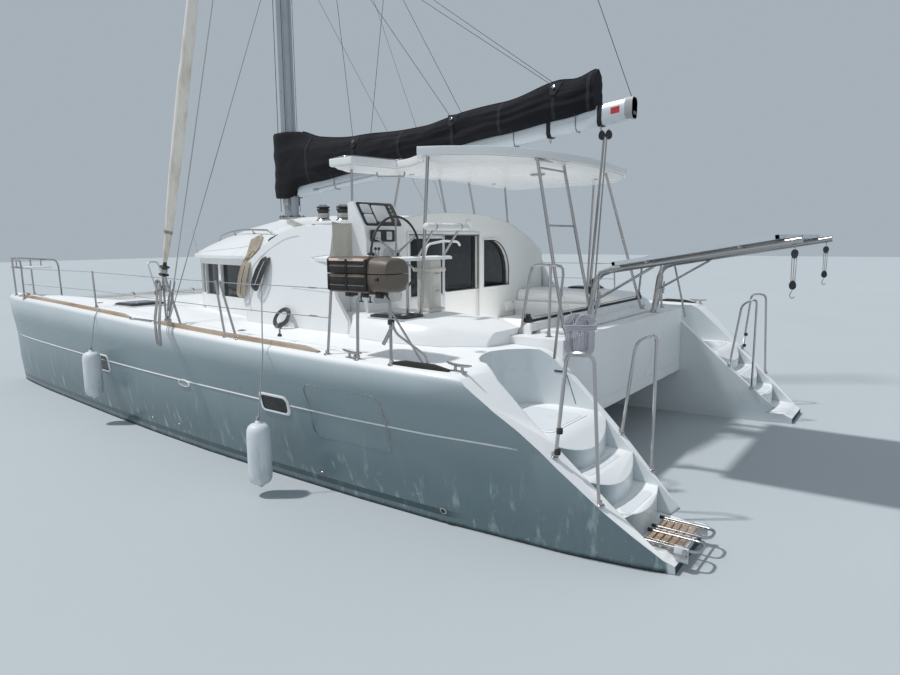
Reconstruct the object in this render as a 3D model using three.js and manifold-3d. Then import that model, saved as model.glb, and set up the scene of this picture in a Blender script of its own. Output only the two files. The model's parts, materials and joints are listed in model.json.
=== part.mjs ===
// Cruising sailing catamaran, afloat, with its sails furled. Millimetres.
// X points to the bow, Y to port, Z up. The origin is on the waterline, halfway between
// the bows and the sterns, on the centreline.
import * as THREE from 'three';
import { mergeVertices } from 'three/addons/utils/BufferGeometryUtils.js';
import Module from 'manifold-3d';

const wasm = await Module();
wasm.setup();

const SEAT_GAP = 0.3;

// Driving dimensions
const LENGTH = 11550;
const BOW_X = LENGTH / 2;
const HULL_Y = 2330;
const CHINE_Z = 820;
const UNDERWING_Z = 600;
const SOLE_Z = 720;
const HULL_FACE = HULL_Y - 600;
const KEEL_BOTTOM_Z = -1150;
const BULKHEAD_X = -2000;
const WINDOW = { bottom: 1640, top: 2050 };
const ROOF = { edge: 2130, skin: 50, centre: -200, visor: 90 };
const PANEL_SEAM = -600;
const WALL = 45;
const MAST = { x: 1200, chord: 270, width: 190, foot: 2700, top: 17600, hounds: 13100 };
const BOOM = { x: 1020, z: 3110, end: -4350, rise: 0.115, depth: 215, width: 150 };
const DRUM = { x: 5030, z: 1660, radius: 95 };
const CROSSBEAM = { x: 5060, z: 1330, radius: 75 };
const RAIL = 14;
const WIRE = 4;

// One hull's stations. Half widths are measured from the hull's own centre plane.
// round is 1 where the inner edge of the deck is free and rounded.
const STATIONS = [
  { x: 5775, waterline: 12, keel: -60, chine: 18, outer: 34, inner: 34, sheer: 1440, round: 1 },
  { x: 5740, waterline: 24, keel: -95, chine: 42, outer: 74, inner: 74, sheer: 1462, round: 1 },
  { x: 5660, waterline: 42, keel: -150, chine: 76, outer: 128, inner: 122, sheer: 1470, round: 1 },
  { x: 5450, waterline: 78, keel: -230, chine: 128, outer: 205, inner: 180, sheer: 1472, round: 1 },
  { x: 5000, waterline: 132, keel: -340, chine: 205, outer: 292, inner: 255, sheer: 1474, round: 1 },
  { x: 4200, waterline: 218, keel: -430, chine: 305, outer: 385, inner: 345, sheer: 1475, round: 1 },
  { x: 3060, waterline: 318, keel: -490, chine: 425, outer: 505, inner: 440, sheer: 1468, round: 1 },
  { x: 1800, waterline: 425, keel: -515, chine: 545, outer: 625, inner: 560, sheer: 1450, round: 0 },
  { x: 600, waterline: 510, keel: -520, chine: 640, outer: 735, inner: 600, sheer: 1430, round: 0 },
  { x: -600, waterline: 570, keel: -515, chine: 715, outer: 830, inner: 600, sheer: 1412, round: 0 },
  { x: -1800, waterline: 590, keel: -495, chine: 765, outer: 905, inner: 600, sheer: 1395, round: 0 },
  { x: -3000, waterline: 590, keel: -445, chine: 785, outer: 935, inner: 600, sheer: 1378, round: 0 },
  { x: -3900, waterline: 565, keel: -370, chine: 760, outer: 930, inner: 600, sheer: 1368, round: 0 },
  { x: -4420, waterline: 520, keel: -300, chine: 705, outer: 890, inner: 600, sheer: 1362, round: 1 },
  { x: -5000, waterline: 475, keel: -200, chine: 660, outer: 790, inner: 570, sheer: 1360, round: 1 },
  { x: -5500, waterline: 385, keel: -90, chine: 570, outer: 680, inner: 480, sheer: 1360, round: 1 },
  { x: -5775, waterline: 310, keel: 10, chine: 490, outer: 590, inner: 400, sheer: 1360, round: 1 },
];
const STEM_RAKE = 165;
const RAKE_FROM = 4200;

// The stern's sheer, seen from the side, and the flight of steps inside it
const STERN_SHEER = [
  { x: -4180, z: 1420 }, { x: -4330, z: 1330 }, { x: -4500, z: 1180 }, { x: -4850, z: 860 },
  { x: -5310, z: 440 }, { x: -5700, z: 105 }, { x: -5790, z: 60 },
];
const TREADS = [
  { z: 870, x: -4020, bulge: -380 },
  { z: 580, x: -4900, bulge: 110 },
  { z: 340, x: -5160, bulge: 100 },
  { z: 125, x: -5390, bulge: 70 },
];
const SCOOP = { x: -4700, aft: -5760, outer: 2810, inner: 1830, outerAft: 2640, innerAft: 1960 };

const v = (x, y, z) => new THREE.Vector3(x, y, z);
const lerp = THREE.MathUtils.lerp;
const rad = THREE.MathUtils.degToRad;

function paint(color, metalness, roughness) {
  return new THREE.MeshStandardMaterial({ color, metalness, roughness });
}
const GELCOAT = paint(0xf0f2f2, 0, 0.25);
const GREY_GELCOAT = paint(0xb9c0c2, 0, 0.4);
const STEEL = paint(0xc4c8cc, 1, 0.2);
const ALLOY = paint(0xd6d8d8, 0.8, 0.35);
const BLACK = paint(0x16171a, 0, 0.5);
const GLASS = paint(0x14181b, 0, 0.08);
const CANVAS = paint(0x1c1d22, 0, 0.85);
const SAILCLOTH = paint(0xcfc8b8, 0, 0.9);
const NETTING = paint(0xe2e2de, 0, 0.9);
const ANTIFOUL = paint(0x1e2a3a, 0, 0.7);
const FENDER = paint(0xd5dadc, 0, 0.5);
const BROWN = paint(0x5b4636, 0.3, 0.5);
const SOLAR = paint(0x1a2230, 0.2, 0.2);
const UPHOLSTERY = paint(0xd9cfba, 0, 0.8);

function solid(geometry) {
  const bare = new THREE.BufferGeometry();
  bare.setAttribute('position', geometry.getAttribute('position'));
  bare.setIndex(geometry.getIndex());
  const merged = mergeVertices(bare, 1e-3);
  const index = merged.getIndex().array;
  const faces = [];
  for (let i = 0; i < index.length; i += 3) {
    const [a, b, c] = [index[i], index[i + 1], index[i + 2]];
    if (a !== b && b !== c && c !== a) faces.push(a, b, c);
  }
  const vertProperties = new Float32Array(merged.getAttribute('position').array);
  return new wasm.Manifold(new wasm.Mesh({ numProp: 3, vertProperties, triVerts: new Uint32Array(faces) }));
}

function join(...parts) {
  return parts.flat().reduce((whole, part) => whole.add(part));
}

function cut(body, ...tools) {
  return tools.flat().reduce((rest, tool) => rest.subtract(tool), body);
}

function box(x0, x1, y0, y1, z0, z1) {
  const geometry = new THREE.BoxGeometry(x1 - x0, y1 - y0, z1 - z0);
  return solid(geometry.translate((x0 + x1) / 2, (y0 + y1) / 2, (z0 + z1) / 2));
}

// A round bar between two points
function bar(from, to, radius, sides = 8, endRadius = radius) {
  const along = to.clone().sub(from);
  const geometry = new THREE.CylinderGeometry(endRadius, radius, along.length(), sides);
  const turn = new THREE.Quaternion().setFromUnitVectors(v(0, 1, 0), along.clone().normalize());
  geometry.applyQuaternion(turn);
  const middle = from.clone().add(to).multiplyScalar(0.5);
  return solid(geometry.translate(middle.x, middle.y, middle.z));
}

// A polygon given as [a, b] pairs, extruded along one axis: (x, y) along Z, (x, z) along Y
// or (y, z) along X
const PRISM_BASIS = {
  z: new THREE.Matrix4().identity(),
  y: new THREE.Matrix4().makeBasis(v(1, 0, 0), v(0, 0, 1), v(0, -1, 0)),
  x: new THREE.Matrix4().makeBasis(v(0, 1, 0), v(0, 0, 1), v(1, 0, 0)),
};
function prism(outline, axis, from, to) {
  const shape = new THREE.Shape(outline.map(([a, b]) => new THREE.Vector2(a, b)));
  const geometry = new THREE.ExtrudeGeometry(shape, { depth: to - from, bevelEnabled: false });
  const start = axis === 'y' ? -to : from;
  return solid(geometry.translate(0, 0, start).applyMatrix4(PRISM_BASIS[axis]));
}

// A lathe of [radius, height] pairs about a vertical axis
function turned(profile, x, y, z, sides = 16) {
  const points = profile.map(([r, h]) => new THREE.Vector2(r, h));
  return solid(new THREE.LatheGeometry(points, sides).rotateX(Math.PI / 2).translate(x, y, z));
}

// A route through points, with one ring at each of them
class Route extends THREE.Curve {
  constructor(points) {
    super();
    this.points = points;
  }
  getPoint(t, target = v(0, 0, 0)) {
    const last = this.points.length - 1;
    const i = Math.min(Math.floor(t * last + 1e-6), last - 1);
    return target.lerpVectors(this.points[i], this.points[i + 1], t * last - i);
  }
  getPointAt(u, target) {
    return this.getPoint(u, target);
  }
  getTangentAt(u, target = v(0, 0, 0)) {
    const last = this.points.length - 1;
    const i = Math.round(u * last);
    const leg = (k) => this.points[k + 1].clone().sub(this.points[k]).normalize();
    target.copy(leg(Math.max(i - 1, 0))).add(leg(Math.min(i, last - 1)));
    return target.normalize();
  }
}

// The same route with its corners rounded
function rounded(points, radius, steps = 3) {
  const route = [points[0]];
  for (let i = 1; i < points.length - 1; i += 1) {
    const corner = points[i];
    const back = points[i - 1].clone().sub(corner);
    const ahead = points[i + 1].clone().sub(corner);
    const a = corner.clone().addScaledVector(back.clone().normalize(),
        Math.min(radius, back.length() * 0.45));
    const b = corner.clone().addScaledVector(ahead.clone().normalize(),
        Math.min(radius, ahead.length() * 0.45));
    route.push(...new THREE.QuadraticBezierCurve3(a, corner, b).getPoints(steps));
  }
  route.push(points[points.length - 1]);
  return route;
}

function tube(points, radius, sides = 6) {
  const section = new THREE.Shape(Array.from({ length: sides }, (_, i) => {
    const angle = (i / sides) * 2 * Math.PI;
    return new THREE.Vector2(radius * Math.cos(angle), radius * Math.sin(angle));
  }));
  return solid(new THREE.ExtrudeGeometry(section, {
    steps: points.length - 1, bevelEnabled: false, extrudePath: new Route(points),
  }));
}

function bent(points, radius, bend = 80, sides = 6) {
  return tube(rounded(points, bend), radius, sides);
}

// A closed skin over rings of points, flat at both ends
function loft(rings) {
  const count = rings[0].length;
  const positions = rings.flat().flatMap((p) => [p.x, p.y, p.z]);
  const faces = [];
  for (let r = 0; r < rings.length - 1; r += 1) {
    for (let i = 0; i < count; i += 1) {
      const a = r * count + i;
      const b = r * count + ((i + 1) % count);
      faces.push(a, b, b + count, a, b + count, a + count);
    }
  }
  const cap = (ring, base, flip) => {
    const normal = v(0, 0, 0);
    ring.forEach((p, i) => normal.add(p.clone().cross(ring[(i + 1) % count])));
    normal.normalize();
    const side = Math.abs(normal.x) > 0.9 ? v(0, 1, 0) : v(1, 0, 0);
    const up = normal.clone().cross(side).normalize();
    const right = up.clone().cross(normal);
    const flat = ring.map((p) => new THREE.Vector2(p.dot(right), p.dot(up)));
    THREE.ShapeUtils.triangulateShape(flat, []).forEach(([a, b, c]) => {
      faces.push(...(flip ? [base + a, base + c, base + b] : [base + a, base + b, base + c]));
    });
  };
  cap(rings[0], 0, true);
  cap(rings[rings.length - 1], (rings.length - 1) * count, false);
  const geometry = new THREE.BufferGeometry();
  geometry.setAttribute('position', new THREE.Float32BufferAttribute(positions, 3));
  geometry.setIndex(faces);
  let volume = 0;
  const corner = (k) => v(...positions.slice(3 * k, 3 * k + 3));
  for (let i = 0; i < faces.length; i += 3) {
    volume += corner(faces[i]).dot(corner(faces[i + 1]).cross(corner(faces[i + 2])));
  }
  if (volume < 0) {
    geometry.setIndex(faces.flatMap((_, i) => (i % 3 ? [] : [faces[i], faces[i + 2], faces[i + 1]])));
  }
  return solid(geometry);
}

function mirrored(body) {
  return body.mirror([0, 1, 0]);
}

const group = new THREE.Group();
function add(name, body, material) {
  const mesh = body.getMesh();
  const geometry = new THREE.BufferGeometry();
  geometry.setAttribute('position', new THREE.BufferAttribute(new Float32Array(mesh.vertProperties), 3));
  geometry.setIndex(new THREE.BufferAttribute(new Uint32Array(mesh.triVerts), 1));
  geometry.computeVertexNormals();
  const piece = new THREE.Mesh(geometry, material);
  piece.name = name;
  group.add(piece);
}

function addPair(name, body, material) {
  add(`${name}_port`, body, material);
  add(`${name}_starboard`, mirrored(body), material);
}

// The hulls

function stationAt(x) {
  const k = STATIONS.findIndex((s) => s.x <= x);
  const [fore, aft] = [STATIONS[Math.max(k - 1, 0)], STATIONS[Math.max(k, 0)]];
  const t = fore === aft ? 0 : (fore.x - x) / (fore.x - aft.x);
  return Object.fromEntries(Object.keys(fore).map((key) => [key, lerp(fore[key], aft[key], t)]));
}

function hullRing(s, grow) {
  const edge = (half, r) => [
    [half, s.sheer - 70], [half - 4 - 18 * r, s.sheer - 4 - 16 * r],
      [half - 20 - 40 * r * Math.min(1, half / 200), s.sheer],
  ];
  const outerEdge = edge(s.outer, 1);
  const innerEdge = edge(s.inner, s.round).reverse();
  const innerChine = Math.min(s.chine, s.inner - 4);
  const side = [
    [0, s.keel], [0.55 * s.waterline, 0.82 * s.keel], [0.9 * s.waterline, 0.4 * s.keel],
    [s.waterline, 0], [lerp(s.waterline, s.chine, 0.55) + 14, CHINE_Z / 2], [s.chine, CHINE_Z],
    [lerp(s.chine, s.outer, 0.75), lerp(CHINE_Z, s.sheer, 0.55)], ...outerEdge, [0, s.sheer + 22],
    ...innerEdge.map(([half, z]) => [-half, z]), [-innerChine, CHINE_Z],
    [-lerp(s.waterline, innerChine, 0.55) - 10, CHINE_Z / 2], [-s.waterline, 0],
    [-0.9 * s.waterline, 0.4 * s.keel], [-0.55 * s.waterline, 0.82 * s.keel],
  ];
  const forward = THREE.MathUtils.clamp((s.x - RAKE_FROM) / (BOW_X - RAKE_FROM), 0, 1) ** 2;
  return side.map(([half, z]) => {
    const rake = (STEM_RAKE * (1 - z / 1470) + Math.max(0, -z) * 0.9) * forward;
    const y = HULL_Y + half + Math.sign(half) * grow;
    return v(s.x - rake, y, z + (z > 0 ? grow : -grow));
  });
}

function hullBlank(grow) {
  return loft(STATIONS.map((s) => hullRing(s, grow)));
}

// The steps' outlines in plan: forward edge bulged aft, sides along the bulwarks
function bulwark(x, near, aft) {
  return lerp(near, aft, THREE.MathUtils.clamp((SCOOP.x - x) / (SCOOP.x - SCOOP.aft), 0, 1));
}

function treadOutline({ x, bulge }) {
  const steps = 10;
  const inner = bulwark(x, SCOOP.inner, SCOOP.innerAft);
  const outer = bulwark(x, SCOOP.outer, SCOOP.outerAft);
  const front = Array.from({ length: steps + 1 }, (_, k) => {
    const across = (2 * k) / steps - 1;
    const depth = bulge < 0 ? bulge * (1 - Math.sqrt(1 - across * across)) : -bulge * (1 - across * across);
    return [x + depth, lerp(inner, outer, k / steps)];
  });
  const kink = x > SCOOP.x ? [[SCOOP.x, SCOOP.outer]] : [];
  const back = x > SCOOP.x ? [[SCOOP.x, SCOOP.inner]] : [];
  return [...front, ...kink, [SCOOP.aft, SCOOP.outerAft], [-6000, SCOOP.outerAft], [-6000, SCOOP.innerAft],
    [SCOOP.aft, SCOOP.innerAft], ...back];
}

function sternCutter() {
  const slope = [...STERN_SHEER.map((p) => [p.x, p.z]), [-6100, 60], [-6100, 2500], [-4180, 2500]];
  const steps = TREADS.map((tread) => prism(treadOutline(tread), 'z', tread.z, 2500));
  return join(prism(slope, 'y', 0, 5000), ...steps);
}

const RUDDER = { x: -4480, stock: 24, top: -380, bottom: -1010 };
const hullGrown = cut(hullBlank(SEAT_GAP), sternCutter().translate([0, 0, SEAT_GAP * 1.5]));
const bothHullsGrown = join(hullGrown, mirrored(hullGrown));
const rudderBore = bar(v(RUDDER.x, HULL_Y, -600), v(RUDDER.x, HULL_Y, -60), RUDDER.stock + 0.8, 16);
const hull = cut(hullBlank(0), sternCutter(), rudderBore);
// Lugs on the port platform, bored for the swim ladder's pin
const LADDER = { x: -5815, z: 158, near: 2100, far: 2540, pin: 9, lug: 12, head: -5485 };
function ladderLugs() {
  const { x, z, near, far, pin, lug } = LADDER;
  const lugs = [near - 18 - lug, far + 18].map((y) => box(x - 22, x + 80, y, y + lug, 70, z + 22));
  return cut(join(lugs), bar(v(x, near - 60, z), v(x, far + 60, z), pin + 1, 10));
}
add('hull_port', join(hull, ladderLugs()), GELCOAT);
add('hull_starboard', mirrored(hull), GELCOAT);

function foil(x, y, z, chord, thickness) {
  const half = [[0, 0], [0.04, 0.55], [0.15, 0.9], [0.35, 1], [0.65, 0.7], [1, 0.04]];
  const point = ([a, b], side) => v(x - a * chord, y + (side * b * thickness) / 2, z);
  return [...half.map((p) => point(p, 1)), ...half.slice(1).reverse().map((p) => point(p, -1))];
}

function keel() {
  const blank = loft([
    foil(600, HULL_Y, KEEL_BOTTOM_Z, 1450, 150), foil(620, HULL_Y, KEEL_BOTTOM_Z + 60, 1500, 210),
    foil(900, HULL_Y, -380, 2100, 300),
  ]);
  return cut(blank, hullGrown);
}
addPair('keel', keel(), ANTIFOUL);

function rudder() {
  const blade = loft([
    foil(RUDDER.x + 90, HULL_Y, RUDDER.bottom, 360, 50), foil(RUDDER.x + 120, HULL_Y, RUDDER.top, 470, 80),
  ]);
  const stock = bar(v(RUDDER.x, HULL_Y, RUDDER.top - 100), v(RUDDER.x, HULL_Y, -62), RUDDER.stock, 12);
  return join(blade, stock);
}
addPair('rudder', rudder(), ANTIFOUL);

const DRIVE = { x: -3050, z: -760, pod: 62, shaft: 14 };
function saildrive() {
  const leg = loft([
    foil(DRIVE.x + 150, HULL_Y, DRIVE.z, 330, 90), foil(DRIVE.x + 170, HULL_Y, -380, 390, 120),
  ]);
  const pod = bar(v(DRIVE.x + 240, HULL_Y, DRIVE.z), v(DRIVE.x - 230, HULL_Y, DRIVE.z), 40, 12, DRIVE.pod);
  const shaft = bar(v(DRIVE.x - 200, HULL_Y, DRIVE.z), v(DRIVE.x - 330, HULL_Y, DRIVE.z), DRIVE.shaft, 12);
  return join(cut(leg, hullGrown), pod, shaft);
}
addPair('saildrive', saildrive(), GREY_GELCOAT);

function propeller() {
  const hubFront = DRIVE.x - 238;
  const hub = bar(v(hubFront, HULL_Y, DRIVE.z), v(hubFront - 110, HULL_Y, DRIVE.z), 46, 12, 32);
  const blades = [0, 1, 2].map((k) => {
    const blade = new THREE.Shape([[-26, 30], [26, 30], [62, 130], [40, 200], [-20, 205], [-58, 140]]
      .map(([a, b]) => new THREE.Vector2(a, b)));
    const geometry = new THREE.ExtrudeGeometry(blade, { depth: 8, bevelEnabled: false });
    geometry.translate(0, 0, -4).rotateY(rad(62));
    const upright = new THREE.Matrix4().makeBasis(v(0, 1, 0), v(0, 0, 1), v(1, 0, 0));
    geometry.applyMatrix4(upright).rotateX(rad(120 * k)).translate(hubFront - 55, HULL_Y, DRIVE.z);
    return solid(geometry);
  });
  const bore = bar(v(hubFront + 10, HULL_Y, DRIVE.z), v(hubFront - 96, HULL_Y, DRIVE.z),
      DRIVE.shaft + 0.9, 12);
  return cut(join(hub, blades), bore);
}
addPair('propeller', propeller(), paint(0xb08d57, 1, 0.35));

// Bridgedeck, foredeck and cockpit between the hulls

function bridgedeck() {
  const side = [[-4420, UNDERWING_Z], [2050, UNDERWING_Z], [2050, SOLE_Z - SEAT_GAP],
      [-4420, SOLE_Z - SEAT_GAP]];
  return cut(prism(side, 'y', -HULL_Y, HULL_Y), bothHullsGrown);
}
add('bridgedeck', bridgedeck(), GELCOAT);

const FOREDECK_AFT = 1060;
const FOREDECK_TOP = 1462;
function foredeck() {
  const side = [
    [2051, UNDERWING_Z], [2650, 680], [3000, 860], [3060, 1000], [3060, 1430], [3020, FOREDECK_TOP],
    [2000, FOREDECK_TOP], [FOREDECK_AFT, 1434], [FOREDECK_AFT, 1380], [2050 + SEAT_GAP, 1380],
  ];
  return cut(prism(side, 'y', -1880, 1880), bothHullsGrown);
}
add('foredeck', foredeck(), GELCOAT);

const COCKPIT = { aft: -4420, side: 1400, sole: 880, bench: 1230, benchAft: -3720, rim: 1440 };
function cockpit() {
  const block = box(COCKPIT.aft, BULKHEAD_X - 60, -HULL_FACE + SEAT_GAP, HULL_FACE - SEAT_GAP, SOLE_Z,
      COCKPIT.rim);
  const well = box(COCKPIT.benchAft, BULKHEAD_X - 40, -COCKPIT.side + 450, COCKPIT.side, COCKPIT.sole,
      2000);
  const seats = box(COCKPIT.aft + 170, BULKHEAD_X - 40, -COCKPIT.side, COCKPIT.side, COCKPIT.bench, 2000);
  const rims = [coaming(), mirrored(coaming())];
  return cut(join(block, rims), well, seats, bothHullsGrown);
}

function bulkheadRoom() {
  return box(BULKHEAD_X - 60, BULKHEAD_X, -2260, 2260, SOLE_Z, 2700);
}

function coaming(grow = 0) {
  const ring = (x, inner, outer, top) => [
    v(x, inner, 1300), v(x, outer + 110 + grow, 1300), v(x, outer + 60 + grow, 1420),
    v(x, outer + grow, top - 30 + grow), v(x, outer - 60, top + grow), v(x, inner + 40, top + grow),
    v(x, inner - grow, top - 40),
  ];
  return loft([
    ring(BULKHEAD_X - 60, 1480, 2185, 1600), ring(-2360, 1480, 2185, 1600), ring(-2460, 1480, 2420, 1600),
    ring(-3000, 1480, 2420, 1600), ring(-3560, 1480, 2330, 1570), ring(-3860, 1480, 2060, 1500),
  ]);
}
add('cockpit', cockpit(), GELCOAT);
const rimGrown = box(COCKPIT.aft - 10, BULKHEAD_X, -1740, 1740, SOLE_Z, COCKPIT.rim + SEAT_GAP);
const cockpitGrown = join(rimGrown, coaming(SEAT_GAP), mirrored(coaming(SEAT_GAP)));

// The cabin: a roof over walls with windows

const OUTLINE = [
  [-3200, 2330], [BULKHEAD_X, 2300], [-1200, 2190], [-400, 2060], [400, 1910], [900, 1790],
  [1250, 1640], [1600, 1380], [1900, 1040], [2120, 620], [2200, 200],
];
// The cabin's plan, grown outwards; the roof's visor overhangs only ahead of the side panels
function cabinOutline(grow) {
  const grown = OUTLINE.map(([x, y]) => {
    const visor = grow > 0 ? THREE.MathUtils.smoothstep(x, -900, -100) : 1;
    const bow = THREE.MathUtils.smoothstep(x, 800, 2200);
    return [x + grow * bow, Math.max(y + grow * visor * (1 - 0.8 * bow), 10)];
  });
  return [...grown, ...grown.slice().reverse().map(([x, y]) => [x, -y])];
}

function outlineRing(grow, z, scale = 1) {
  return cabinOutline(grow).map(([x, y]) => v(lerp(ROOF.centre, x, scale), y * scale, z));
}

const ROOF_RISE = [
  { scale: 1, rise: 0 }, { scale: 0.97, rise: 40 }, { scale: 0.9, rise: 125 }, { scale: 0.8, rise: 225 },
  { scale: 0.66, rise: 350 }, { scale: 0.5, rise: 450 }, { scale: 0.35, rise: 500 },
  { scale: 0.1, rise: 520 },
];
function dome(grow, lift) {
  const wide = 1 + grow / 1500;
  const skin = ROOF_RISE.map(({ scale, rise }) => outlineRing(ROOF.visor, ROOF.edge + 40 + rise + lift,
      scale * wide));
  return loft([outlineRing(ROOF.visor, ROOF.edge - lift, wide), ...skin]);
}

const aftOfBulkhead = box(-6000, BULKHEAD_X, -4000, 4000, 0, 4000);
function coachroof() {
  const skin = ROOF_RISE.map(({ scale, rise }) => outlineRing(-60, ROOF.edge + rise - ROOF.skin + 30,
      scale));
  const under = loft([outlineRing(-60, ROOF.edge - 60), ...skin]);
  const step = turned([[0, 0], [230, 0], [190, 90], [0, 90]], MAST.x, 0, MAST.foot - 90 - SEAT_GAP);
  return cut(join(dome(0, 0), step), under, aftOfBulkhead);
}
add('coachroof', coachroof(), GELCOAT);
const roofGrown = cut(dome(SEAT_GAP, SEAT_GAP), aftOfBulkhead);

const SIDE_PANES = [{ from: -520, to: 400 }, { from: 480, to: 930 }];
const FRONT_PANES = [{ from: 8, to: 24 }, { from: 28, to: 47 }, { from: 51, to: 68 }];
function windowCutters() {
  const sides = SIDE_PANES.map((pane) => box(pane.from, pane.to, 1200, 2500, WINDOW.bottom, WINDOW.top));
  const fan = (angle, reach) => [reach * Math.cos(rad(angle)), reach * Math.sin(rad(angle))];
  const fronts = FRONT_PANES.map(({ from, to }) => {
    const wedge = prism([fan(from, 900), fan(from, 3200), fan(to, 3200), fan(to, 900)], 'z',
        WINDOW.bottom, WINDOW.top);
    return cut(wedge, box(-3000, 960, -4000, 4000, 0, 4000));
  });
  return [...sides, ...fronts].flatMap((cutter) => [cutter, mirrored(cutter)]);
}

const foredeckGrown = box(FOREDECK_AFT - 5, 3100, -2000, 2000, 600, FOREDECK_TOP + SEAT_GAP);
const outerWall = loft([outlineRing(0, 1330), outlineRing(0, ROOF.edge - SEAT_GAP)]);
const innerWall = loft([outlineRing(-WALL, 1000), outlineRing(-WALL, 2400)]);
const wallShell = cut(outerWall, innerWall, aftOfBulkhead);
const fore = box(PANEL_SEAM + SEAT_GAP / 2, 4000, -4000, 4000, 0, 4000);
add('cabin_front', cut(wallShell.intersect(fore), windowCutters(), bothHullsGrown, foredeckGrown), GELCOAT);

// The side panels stand from the deck to the roof. The port one is higher and carries winches.
const PANEL = [
  { x: PANEL_SEAM - 160, z: 1300 }, { x: PANEL_SEAM - 30, z: 1700 }, { x: PANEL_SEAM - 20, z: 1900 },
  { x: PANEL_SEAM - 70, z: 2110 }, { x: -920, z: 2310 }, { x: -1180, z: 2440 }, { x: -1460, z: 2505 },
  { x: -2000, z: 2515 }, { x: -2020, z: 2050 }, { x: -2140, z: 1760 }, { x: -2330, z: 1540 },
  { x: -2350, z: 1300 },
];
function panelY(z) {
  return z < 2050 ? lerp(2370, 2290, (z - 1400) / 650) : lerp(2290, 2190, (z - 2050) / 465);
}
function sidePanel(top) {
  const heights = PANEL.map(({ x, z }) => ({ x, z: Math.min(z, top) }));
  const skin = (inset) => heights.map(({ x, z }) => v(x, panelY(z) - inset, z));
  return loft([skin(WALL), skin(0)]);
}
function shoulder() {
  const ring = (x, top) => [v(x, 1500, 2200), v(x, 1500, top), v(x, 2130, top), v(x, 2185, top - 40),
      v(x, 2240, 2200)];
  return loft([ring(-1180, 2440), ring(-1460, 2515), ring(BULKHEAD_X, 2515)]);
}
const cabinInside = innerWall.intersect(box(-2500, 3000, -3000, 3000, 0, ROOF.edge - 40));
add('cabin_side_port', cut(join(sidePanel(3000), shoulder()), hullGrown, roofGrown, bulkheadRoom(),
    cabinInside), GELCOAT);
add('cabin_side_starboard', mirrored(cut(sidePanel(ROOF.edge - SEAT_GAP), hullGrown, roofGrown,
    bulkheadRoom())), GELCOAT);

function glassBand() {
  const outer = loft([outlineRing(-WALL - SEAT_GAP, WINDOW.bottom - 30),
      outlineRing(-WALL - SEAT_GAP, WINDOW.top + 30)]);
  const inner = loft([outlineRing(-WALL - 10, 1000), outlineRing(-WALL - 10, 2400)]);
  return cut(outer, inner).intersect(fore);
}
add('cabin_windows', glassBand(), GLASS);

const DOOR = { port: 1050, meet: 330, starboard: -450, bottom: 900, top: 2420, pane: 1690 };
const QUARTER = { port: -560, starboard: -1240, bottom: 1690, top: 2340 };
function bulkheadOutline(grow) {
  const half = [[2240, 1425], [2240, 2120], [2130, 2180], [1980, 2270], [1800, 2365], [1480, 2500],
      [1100, 2605],
    [650, 2665], [200, 2685]];
  const right = half.map(([y, z]) => [y + grow, z + grow]);
  return [...right, ...right.slice().reverse().map(([y, z]) => [-y, z])];
}
function bulkhead() {
  const x0 = BULKHEAD_X - 50;
  const upper = prism(bulkheadOutline(0), 'x', x0, BULKHEAD_X - SEAT_GAP);
  const lower = box(x0, BULKHEAD_X - SEAT_GAP, -1725, 1725, SOLE_Z, 1450);
  const track = box(x0 - 10, BULKHEAD_X - 12, DOOR.starboard, DOOR.port, DOOR.bottom, DOOR.top);
  const doorway = box(x0 - 10, BULKHEAD_X + 10, DOOR.meet, DOOR.port, DOOR.bottom, DOOR.top);
  const pane = box(x0 - 10, BULKHEAD_X + 10, DOOR.starboard + 20, DOOR.meet - 40, DOOR.pane, DOOR.top - 20);
  const corner = 460;
  const arc = Array.from({ length: 7 }, (_, k) => {
    const angle = rad(15 * k);
    return [QUARTER.starboard + corner - corner * Math.cos(angle),
        QUARTER.top - corner + corner * Math.sin(angle)];
  });
  const quarter = prism([[QUARTER.port, QUARTER.bottom], [QUARTER.port, QUARTER.top], ...arc.reverse(),
    [QUARTER.starboard, QUARTER.bottom]].reverse(), 'x', x0 - 10, BULKHEAD_X + 10);
  return cut(join(upper, lower), track, doorway, pane, quarter, bothHullsGrown);
}
add('cabin_bulkhead', bulkhead(), GREY_GELCOAT);

function doorLeaf(y0, y1, x) {
  const leaf = box(x - 22, x, y0, y1, DOOR.bottom + 6, DOOR.top - 6);
  const runners = [y0 + 60, y1 - 120].map((y) => box(x - 16, x - 6, y, y + 60, DOOR.bottom + SEAT_GAP,
      DOOR.bottom + 10));
  return join(leaf, runners);
}
add('cockpit_windows', box(BULKHEAD_X, BULKHEAD_X + 10, QUARTER.starboard - 20, DOOR.meet - 20,
    DOOR.pane - 20,
  DOOR.top + 10), GLASS);
add('sliding_door', doorLeaf(DOOR.meet - 20, DOOR.port - 5, BULKHEAD_X - 18), GLASS);

// Helm station on the port side, with the winches on the cabin's shoulder

const WHEEL = { x: -2430, y: 1700, z: 2200, radius: 395, shaft: 16 };
function helmConsole() {
  const side = [[-2052, 1600 + SEAT_GAP], [-2310, 1600 + SEAT_GAP], [-2310, 2320], [-2285, 2490],
      [-2130, 2755],
    [-2052, 2740]];
  const shaft = bar(v(-2250, WHEEL.y, WHEEL.z), v(WHEEL.x - 20, WHEEL.y, WHEEL.z), WHEEL.shaft, 12);
  return join(prism(side, 'y', 1400, 2030), shaft);
}
add('helm_console', helmConsole(), GELCOAT);

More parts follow.
